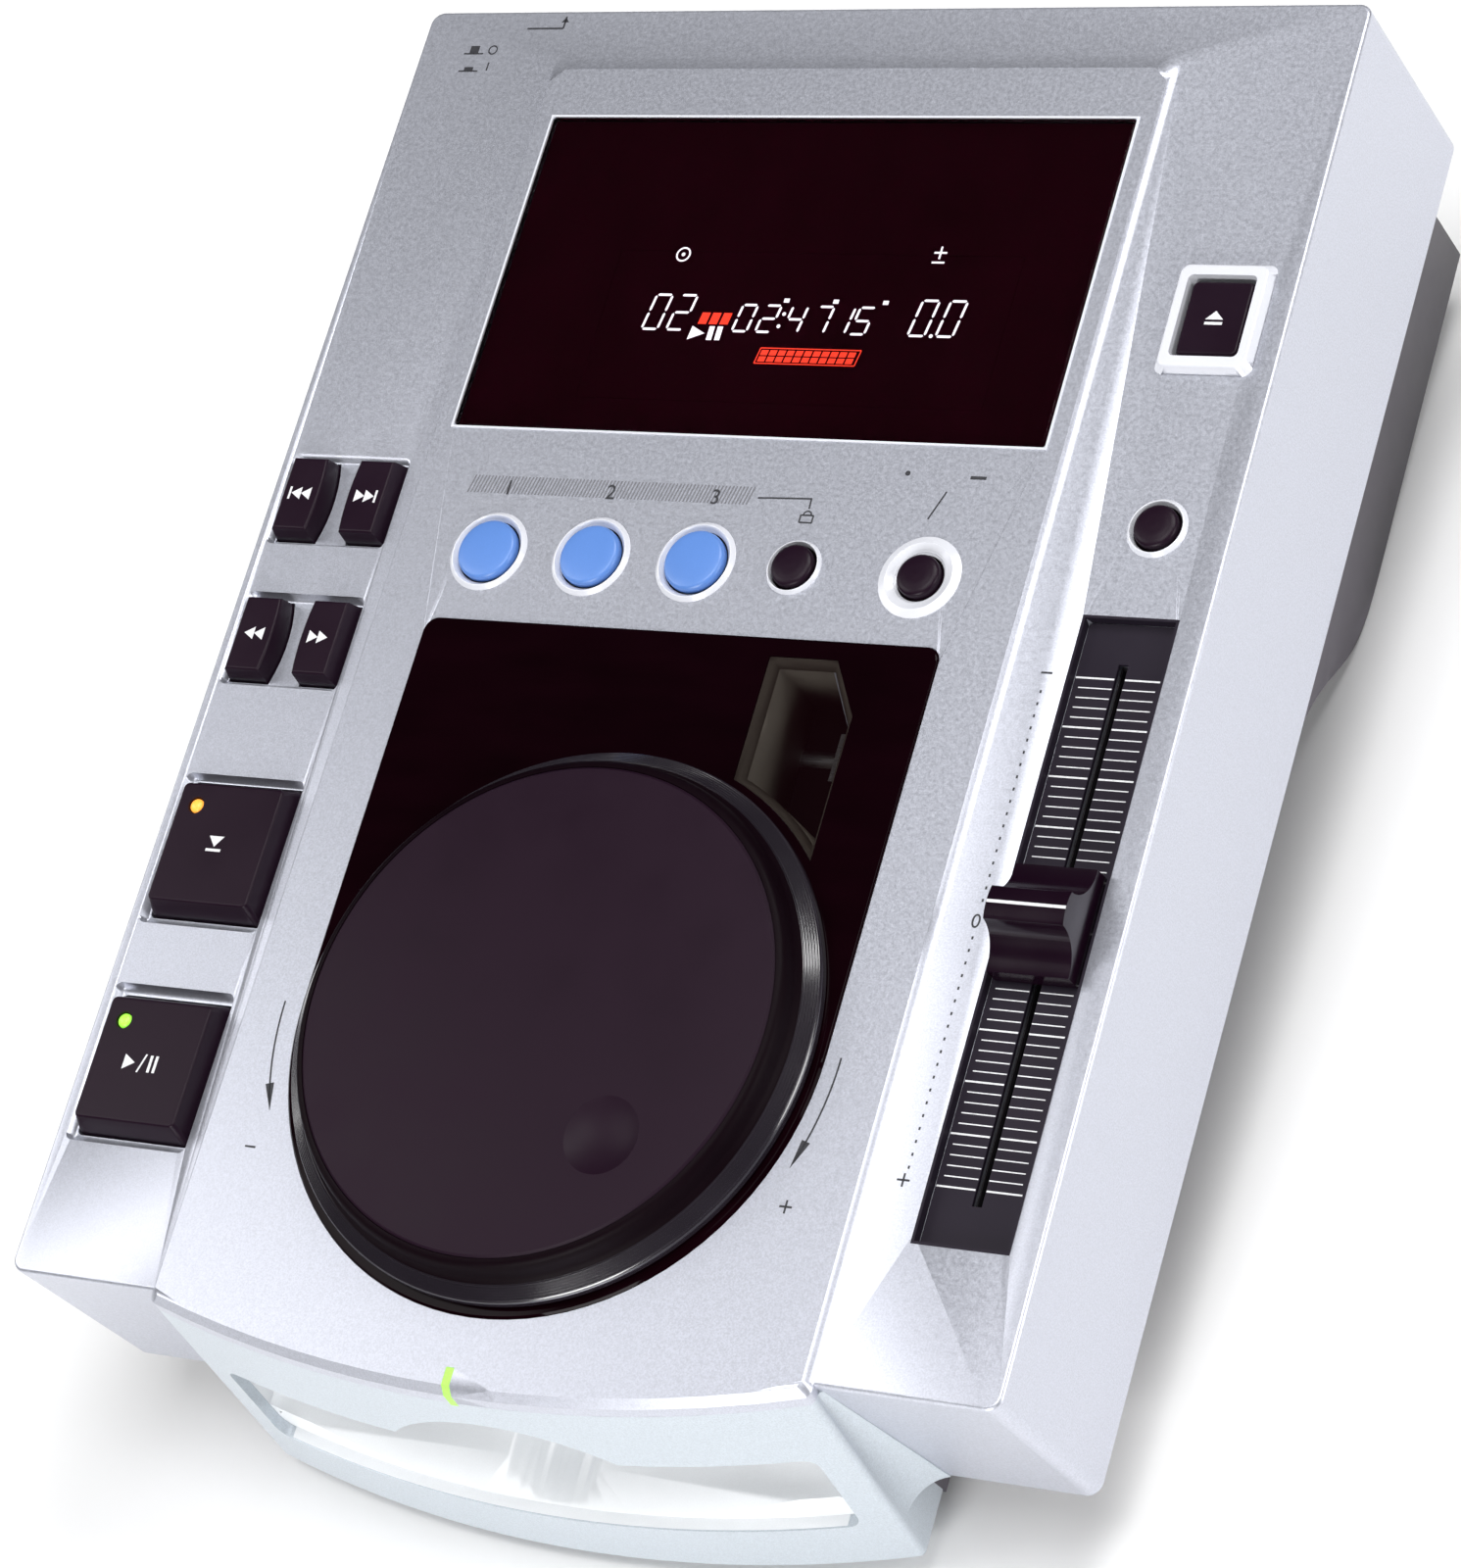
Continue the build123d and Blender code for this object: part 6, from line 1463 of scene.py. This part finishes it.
    def flange(self) -> None:
        """Flared flange with fine turned ribs, and its skirt."""
        blank = Blank()
        (r0, z0), (r1, z1) = self.rib_from, self.rib_to
        profile = [(r0 - 1.4, z0 - 0.4), (r0, z0)]
        crest = self.rib_depth
        for rib in range(self.ribs):
            for part, lift in ((0.15, 0.0), (0.4, crest), (0.7, crest), (0.95, 0.0)):
                share = (rib + part) / self.ribs
                across = r0 + (r1 - r0) * share + lift * 0.6
                profile.append((across, z0 + (z1 - z0) * share + lift * 0.8))
        profile += [
            (r1 + 0.25, z1 - 0.2), (56.0, 3.9), (56.0, 2.65), (54.5, 2.6), (54.4, 3.3),
            (r0 - 1.4, 4.9), (r0 - 1.4, z0 - 0.4),
        ]
        blank.lathe(profile, (self.x, self.y), self.steps)
        piece = blank.piece("dial_flange", FLANGE_BLACK, "jog", crease=40.0)
        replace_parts(piece, "jog_dial")


# ------------------------------------------------------------------ keys
@dataclass
class TransportKeys:
    """Cue and play keys, the two pairs, the eject key and the lamps."""

    pair_x: Point = (-99.35, -83.45)
    track_y: float = 26.5
    search_y: float = -5.5
    big_x: float = -91.3
    pair_z: float = 2.5
    big_z: float = 3.0
    pair_mark: float = 2.8
    lamp_x: float = -98.9
    lamp_r: float = 1.5
    lamp_z: tuple[float, float, float] = (-11.4, 2.4, 0.95)
    eject: Point = (93.4, 73.3)

    def build(self) -> None:
        """Dress the keys and print their symbols."""
        for node in (
            "cue_key", "play_key", "track_back_key", "track_forward_key",
            "search_back_key", "search_forward_key", "eject_key",
        ):
            skin(node, node + "_cap", KEY_BLACK)
        for row, y in (("track", self.track_y), ("search", self.search_y)):
            for way, x in zip(("back", "forward"), self.pair_x):
                mark = Mark(f"{row} {way}")
                self.symbol(f"{row}_{way}_key", mark, (x, y), self.pair_mark, self.pair_z)
        self.symbol("cue_key", Mark.SET_POINT, (self.big_x, -52.0), 3.6, self.big_z)
        self.symbol("play_key", Mark.PLAY_PAUSE, (self.big_x, -99.4), 3.2, self.big_z)
        self.symbol("eject_key", Mark.EJECT, self.eject, 3.0, 0.8)
        skin("eject_frame", "eject_surround", BRIGHT)
        self.lamps()

    def symbol(self, node: str, mark: Mark, at: Point, height: float, z: float) -> None:
        """Print a symbol that moves with its key.

        Args:
            node: The key's CAD node.
            mark: The symbol.
            at: Its middle.
            height: Its height.
            z: The key's top.
        """
        blank = Blank()
        mark.draw(blank, at, height, z + PRINT_LIFT)
        blank.piece(node.replace("_key", "_symbol"), INK_WHITE, body_of(node))

    def lamps(self) -> None:
        """Lenses of the two lamps, each in its own colour."""
        r, (foot, shoulder, rise) = self.lamp_r, self.lamp_z
        dome = [(r * math.cos(a), shoulder + rise * math.sin(a)) for a in (0.3, 0.6, 0.9, 1.2)]
        profile = [(0.0, foot), (r, foot), (r, shoulder), *dome, (0.0, shoulder + rise)]
        for name, y, finish in (
            ("cue_lamp_lens", -44.2, LAMP_AMBER), ("play_lamp_lens", -90.9, LAMP_GREEN),
        ):
            blank = Blank()
            blank.lathe(profile, (self.lamp_x, y), 32)
            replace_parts(blank.piece(name, finish), "key_lamps")


@dataclass
class RoundButtons:
    """Six round buttons in their rings."""

    blue_x: tuple[float, ...] = (-50.2, -26.2, -2.2)
    row_y: float = 15.9
    hold_at: Point = (19.8, 15.9)
    mode_at: Point = (47.5, 15.2)
    lock_at: Point = (93.0, 28.8)
    blue_ring: Ring = (8.7, 6.85, 0.75, 0.95)
    hold_ring: Ring = (5.9, 4.92, 0.5, 0.4)
    mode_ring: Ring = (8.7, 4.95, 1.5, 2.1)
    lock_ring: Ring = (6.2, 4.92, 0.6, 0.5)
    blue_gap_r: float = 6.74
    small_gap_r: float = 4.8
    blue_r: float = 6.5
    cap_rise: float = 1.8
    stem_end: float = -6.8
    crest: float = 0.85
    foot: float = -2.45

    def build(self) -> None:
        """Dress the buttons and the rings."""
        for count, x in enumerate(self.blue_x, start=1):
            self.blue_cap(count, x)
        for node in ("hold_button", "mode_button", "tempo_lock_button"):
            skin(node, node + "_cap", KEY_BLACK, 28.0)
        rings, gap_shadows = Blank(), Blank()
        for at, seat, size, radius in self.seats():
            self.ring(rings, at, seat, size)
            self.gap(gap_shadows, at, seat, radius)
        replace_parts(rings.piece("button_surrounds", BRIGHT, crease=18.0), "button_rings")
        # The sleeves paint the shadow in the gaps round the buttons.
        gap_shadows.piece("button_gap_shadows", PAINTED_SHADE_BLACK)

    def seats(self) -> list[tuple[Point, float, Ring, float]]:
        """Place, seat height, ring and radius of the gap of each of the six buttons."""
        rows = [((x, self.row_y), PANEL_Z, self.blue_ring, self.blue_gap_r) for x in self.blue_x]
        for at, seat, size in (
            (self.hold_at, PANEL_Z, self.hold_ring),
            (self.mode_at, PANEL_Z, self.mode_ring),
            (self.lock_at, STRIP_Z, self.lock_ring),
        ):
            rows.append((at, seat, size, self.small_gap_r))
        return rows

    def blue_cap(self, count: int, x: float) -> None:
        """Domed blue cap with a soft edge, hollow below, on its stem.

        Args:
            count: Which of the three it is.
            x: Its place across the deck.
        """
        r, top = self.blue_r, PANEL_Z + self.cap_rise
        edge, foot, stem = 0.9, self.foot + 0.6, 2.0
        crown = [
            (r - edge * (1.0 - math.cos(a)), top - 1.25 + edge * math.sin(a))
            for a in (1.45, 1.15, 0.8, 0.4, 0.0)
        ]
        profile = [
            (0.0, top), (r * 0.4, top - 0.06), (r * 0.7, top - 0.2), *crown, (r, foot),
            (r - 1.4, foot), (r - 1.4, top - 3.0), (stem, top - 3.0), (stem, self.stem_end),
            (0.0, self.stem_end),
        ]
        blank = Blank()
        blank.lathe(profile, (x, self.row_y), 96)
        node = f"effect_button_{count}"
        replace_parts(blank.piece(f"effect_cap_{count}", BLUE, body_of(node), crease=30.0), node)

    def ring(self, blank: Blank, at: Point, seat: float, size: Ring) -> None:
        """One ring: a slope outside, a narrow crest and a slope down to the button.

        Args:
            blank: What it is added to.
            at: Its centre.
            seat: The surface that it stands on.
            size: Outer radius, inner radius and the widths of the outer and inner slopes.
        """
        outer, inner, slope, funnel = size
        top, foot = seat + self.crest, self.foot
        profile = [
            (outer, seat + 0.01), (outer - 0.03, seat + 0.1), (outer - slope, top - 0.03),
            (outer - slope - 0.08, top), (inner + funnel, top), (inner + funnel - 0.08, top - 0.05),
            (inner, seat - 0.35), (inner, foot), (inner + 0.4, foot), (inner + 0.4, seat - 0.4),
            (inner + 0.5, seat + 0.01), (outer, seat + 0.01),
        ]
        blank.lathe(profile, at, 80)

    def gap(self, blank: Blank, at: Point, seat: float, radius: float) -> None:
        """Black sleeve in the gap between a ring and its button: painted shadow in the gap.

        Args:
            blank: What it is added to.
            at: Its centre.
            seat: The surface that the ring stands on.
            radius: About the middle of its wall.
        """
        inner, outer, top = radius - 0.12, radius + 0.1, seat - 0.42
        profile = [
            (inner, self.foot), (outer, self.foot), (outer, top), (inner, top), (inner, self.foot),
        ]
        blank.lathe(profile, at, 64)


# ------------------------------------------------------------------ slider
@dataclass
class TempoSlider:
    """Scale plate with its lines, and the knob with its white line."""

    x: float = 92.6
    y: float = -52.4
    plate_z: float = -2.0
    tenth: float = 10.14
    minor: float = 0.22
    major: float = 0.34
    knob_z: float = 10.0
    knob_line: Point = (16.0, 0.6)
    slot_gap: float = 1.1
    long_reach: Point = (9.0, 9.3)
    short_reach: Point = (8.0, 7.8)
    tray: Point = (9.9, 62.65)
    tray_wall: float = 0.55

    def build(self) -> None:
        """Dress the plate, print the scale and finish the knob."""
        skin("scale_plate", "tempo_scale_plate", PLATE_BLACK)
        self.scale()
        skin("slider_knob", "tempo_knob", KNOB_BLACK, 22.0)
        self.pointer()
        self.tray_rim()
        coat("fader_body", BLACK)
        coat("fader_lever", STEEL)

    def scale(self) -> None:
        """Fine and long lines on both sides of the slot."""
        blank = Blank()
        z = inked(self.plate_z + PRINT_LIFT)
        for step in range(-25, 26):
            y = self.y + step * self.tenth / 5.0
            long = step % 5 == 0
            half = (self.major if long else self.minor) / 2.0
            left, right = self.long_reach if long else self.short_reach
            for x in (
                (self.x - left, self.x - self.slot_gap), (self.x + self.slot_gap, self.x + right),
            ):
                blank.block(x, (y - half, y + half), z)
        blank.piece("tempo_scale_lines", INK_WHITE)

    def tray_rim(self) -> None:
        """Black wall that lines the recess round the plate."""
        blank = Blank()
        (half_w, half_d), wall = self.tray, self.tray_wall
        z = (self.plate_z - 0.1, 0.06)
        x0, x1, y0, y1 = self.x - half_w, self.x + half_w, self.y - half_d, self.y + half_d
        blank.block((x0, x0 + wall), (y0, y1), z)
        blank.block((x1 - wall, x1), (y0, y1), z)
        blank.block((x0 + wall, x1 - wall), (y0, y0 + wall), z)
        blank.block((x0 + wall, x1 - wall), (y1 - wall, y1), z)
        blank.piece("tempo_tray_rim", PLATE_BLACK)

    def pointer(self) -> None:
        """White line across the ridge of the knob."""
        blank = Blank()
        line = around((self.x, self.y), self.knob_line)
        blank.block(*line, (self.knob_z - 0.02, self.knob_z + 0.03))
        blank.piece("tempo_knob_line", INK_WHITE, "tempo_slider")


# ------------------------------------------------------------------ underside
@dataclass
class Chassis:
    """Lower case, rear panel, feet and screws."""

    screws: tuple[Point, ...] = (
        (-101.7, -134.0), (101.7, -134.0), (-101.7, 134.0), (101.7, 134.0), (-101.7, -26.0),
        (101.7, 49.0),
    )
    screw_top: float = -45.7
    head_r: float = 2.8
    head_h: float = 2.0
    shank: Point = (1.5, 11.0)
    cross: Point = (2.5, 0.56)
    cross_turn: float = 0.4

    def build(self) -> None:
        """Dress the lower case and its fittings."""
        skin("lower_case", "lower_case_shell", CHASSIS, 22.0)
        skin("rear_panel", "rear_steel_panel", PANEL_PAINT)
        skin("feet", "rubber_feet", RUBBER)
        self.screw_heads()

    def screw_heads(self) -> None:
        """Pan heads with a cross recess, on their shanks."""
        top, r, low = self.screw_top, self.head_r, self.screw_top - self.head_h
        profile = [
            (0.0, top), (r, top), (r, top - 0.9), (r - 0.3, top - 1.5), (r - 0.9, top - 1.85),
            (1.3, low), (0.0, low),
        ]
        heads, crosses = Blank(), Blank()
        for at in self.screws:
            heads.lathe(profile, at, 28)
            heads.drum(at, (top - 0.1, top + self.shank[1]), self.shank[0], steps=20)
            for turn in (self.cross_turn, self.cross_turn + math.pi / 2.0):
                crosses.block(*around(at, self.cross), (low - 0.02, top - 1.2), turn)
        heads.piece("case_screw_heads", SCREW_BLACK)
        crosses.piece("screw_recesses", BLACK)
        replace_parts(bpy.data.objects["case_screw_heads"], "case_screws")


@dataclass
class RearConnections:
    """Phono sockets, control socket, mains inlet and power button."""

    socket_z: float = -66.0
    panel_y: float = 138.5
    phono: tuple[tuple[str, float, Finish], ...] = (
        ("left", 66.0, SOCKET_WHITE), ("right", 52.0, SOCKET_RED),
    )
    control_x: float = 34.0
    shell: tuple[Point, ...] = (
        (4.25, 0.02), (4.45, 0.02), (4.45, 7.8), (4.2, 7.99), (1.7, 7.99), (1.7, 7.9), (4.25, 7.9),
        (4.25, 0.02),
    )
    collar: tuple[Point, ...] = (
        (4.5, 0.02), (5.9, 0.02), (5.9, 0.9), (5.6, 1.2), (4.5, 1.2), (4.5, 0.02),
    )
    washer: tuple[Point, ...] = (
        (3.95, 0.02), (5.2, 0.02), (5.2, 0.7), (4.9, 1.0), (3.95, 1.0), (3.95, 0.02),
    )

    def build(self) -> None:
        """Dress the sockets and add their metal parts."""
        skin("rear_sockets", "socket_block", BLACK)
        skin("mains_inlet", "inlet_housing", BLACK)
        skin("power_button", "power_cap", KEY_BLACK, 30.0)
        coat("power_switch", BLACK)
        self.shells()

    def shells(self) -> None:
        """Metal shells and coloured rings round the phono sockets, and a washer."""
        for side, x, colour in self.phono:
            self.turned(f"phono_shell_{side}", self.shell, x, STEEL)
            self.turned(f"phono_collar_{side}", self.collar, x, colour)
        self.turned("control_socket_washer", self.washer, self.control_x, STEEL, 36)

    def turned(
        self, name: str, profile: tuple[Point, ...], x: float, finish: Finish, steps: int = 40
    ) -> None:
        """A turned part that stands out of the rear panel.

        Args:
            name: The piece's name.
            profile: Its (radius, height) points, height from the panel.
            x: Its place across the deck.
            finish: Its finish.
            steps: Faces round it.
        """
        seat = Matrix.Translation((x, self.panel_y, self.socket_z))
        blank = Blank()
        blank.lathe(list(profile), (0.0, 0.0), steps)
        at = DECK @ seat @ Matrix.Rotation(math.radians(-90.0), 4, "X")
        blank.piece(name, finish, place=at)


# ------------------------------------------------------------------ inside
@dataclass
class Mechanism:
    """Loading mechanism, drive parts and boards inside the case."""

    coats: tuple[tuple[str, Finish], ...] = (
        ("mech_frame", STEEL), ("dampers", RUBBER), ("loading_roller", RUBBER),
        ("turntable_hub", BLACK), ("spindle_motor", STEEL), ("clamp_arm", STEEL),
        ("clamper", BLACK), ("guide_rods", STEEL), ("pickup_sled", BLACK), ("lead_screw", STEEL),
        ("feed_motors", STEEL), ("control_boards", BOARD), ("main_board", BOARD),
        ("power_board", BOARD), ("transformer", IRON), ("key_switches", BLACK),
    )

    def build(self) -> None:
        """Give each inner solid its finish."""
        for node, finish in self.coats:
            coat(node, finish)


# ------------------------------------------------------------------ studio
@dataclass
class Studio:
    """Floor, soft lights and the camera."""

    floor_size: float = 12.0
    floor_shades: tuple[Colour, Colour] = ((0.90, 0.90, 0.90), (0.94, 0.94, 0.94))
    sky: float = 0.06
    sky_span: Point = (0.2, 0.95)
    sky_low: Colour = (0.02, 0.015, 0.016)
    sky_high: Colour = (0.94, 0.96, 1.0)
    lamps: tuple[tuple[str, Vec, float, float], ...] = (
        ("front_low", (0.05, -1.22, 0.45), 0.55, 10.6),
        ("right_low", (1.272, 0.0, 0.320), 0.55, 5.6),
        ("right_mid", (1.126, 0.1, 0.700), 0.55, 2.4),
        ("top", (0.08, -0.08, 1.34), 0.6, 7.4),
        ("left_mid", (-1.126, 0.0, 0.700), 0.55, 2.4),
        ("left_high", (-0.86, -0.2, 1.02), 0.55, 3.2),
        ("back_high", (0.38, 0.62, 1.12), 0.55, 8.6),
    )
    aim: Vec = (0.0, -0.03, 0.05)
    camera_at: Vec = (0.5146901, -0.4482547, 0.8127890)
    camera_turn: Vec = (35.25297846, 23.45898959, 20.25406688)
    lens: float = 119.0535

    def build(self) -> None:
        """Set the stage."""
        self.floor()
        self.world()
        self.lights()
        self.camera()
        bpy.context.scene.view_settings.view_transform = "Standard"

    def floor(self) -> None:
        """Wide pale floor that shows white to the camera away from shadows."""
        mesh = bpy.data.meshes.new("floor")
        work = bmesh.new()
        bmesh.ops.create_grid(work, x_segments=2, y_segments=2, size=self.floor_size)
        work.to_mesh(mesh)
        work.free()
        graph = Graph("floor paint")
        drift = graph.grain(400.0, 2.0)
        graph.feed("Base Color", graph.shades(drift, *self.floor_shades))
        graph.fixed(Roughness=0.9)
        mesh.materials.append(graph.material)
        floor = bpy.data.objects.new("floor", mesh)
        bpy.context.scene.collection.objects.link(floor)

    def world(self) -> None:
        """Dim room that is pale overhead."""
        world = bpy.data.worlds.new("studio")
        world.use_nodes = True
        bpy.context.scene.world = world
        tree = world.node_tree
        tree.nodes.clear()
        output = tree.nodes.new("ShaderNodeOutputWorld")
        light = tree.nodes.new("ShaderNodeBackground")
        light.inputs["Strength"].default_value = self.sky
        where = tree.nodes.new("ShaderNodeTexCoord")
        parts = tree.nodes.new("ShaderNodeSeparateXYZ")
        ramp = tree.nodes.new("ShaderNodeValToRGB")
        ramp.color_ramp.interpolation = "EASE"
        shades = (self.sky_low, self.sky_high)
        for element, place, colour in zip(ramp.color_ramp.elements, self.sky_span, shades):
            element.position = place
            element.color = (*colour, 1.0)
        tree.links.new(where.outputs["Generated"], parts.inputs["Vector"])
        tree.links.new(parts.outputs["Z"], ramp.inputs["Fac"])
        tree.links.new(ramp.outputs["Color"], light.inputs["Color"])
        tree.links.new(light.outputs["Background"], output.inputs["Surface"])

    def lights(self) -> None:
        """Soft boxes all round, the nearest of them low in front."""
        for name, at, size, power in self.lamps:
            self.lamp(name, at, size, power)

    def lamp(self, name: str, at: Vec, size: float, power: float) -> None:
        """Add one area lamp that faces the player.

        Args:
            name: Its name.
            at: Its place.
            size: Side of its square face in metres.
            power: Power in watts.
        """
        data = bpy.data.lights.new(name, "AREA")
        data.shape = "SQUARE"
        data.size = size
        data.energy = power
        lamp = bpy.data.objects.new(name, data)
        lamp.location = at
        facing = Vector(self.aim) - Vector(at)
        lamp.rotation_euler = facing.to_track_quat("-Z", "Y").to_euler()
        bpy.context.scene.collection.objects.link(lamp)

    def camera(self) -> None:
        """Long lens from the front right, rolled so that the deck leans."""
        data = bpy.data.cameras.new("camera")
        data.lens = self.lens
        data.sensor_width = 36.0
        data.sensor_fit = "AUTO"
        data.clip_start = 0.05
        data.clip_end = 40.0
        camera = bpy.data.objects.new("camera", data)
        camera.location = self.camera_at
        camera.rotation_euler = Euler([math.radians(a) for a in self.camera_turn], "XYZ")
        bpy.context.scene.collection.objects.link(camera)
        bpy.context.scene.camera = camera


def main() -> None:
    """Build every sub-assembly in order."""
    logging.basicConfig(level=logging.INFO, format="%(name)s: %(message)s")
    for assembly in (
        CaseShell(), DeckPrints(), Display(), JogDial(), TransportKeys(), RoundButtons(),
        TempoSlider(), Chassis(), RearConnections(), Mechanism(), Studio(),
    ):
        LOG.info("building %s", type(assembly).__name__)
        assembly.build()


if __name__ == "__main__":
    main()
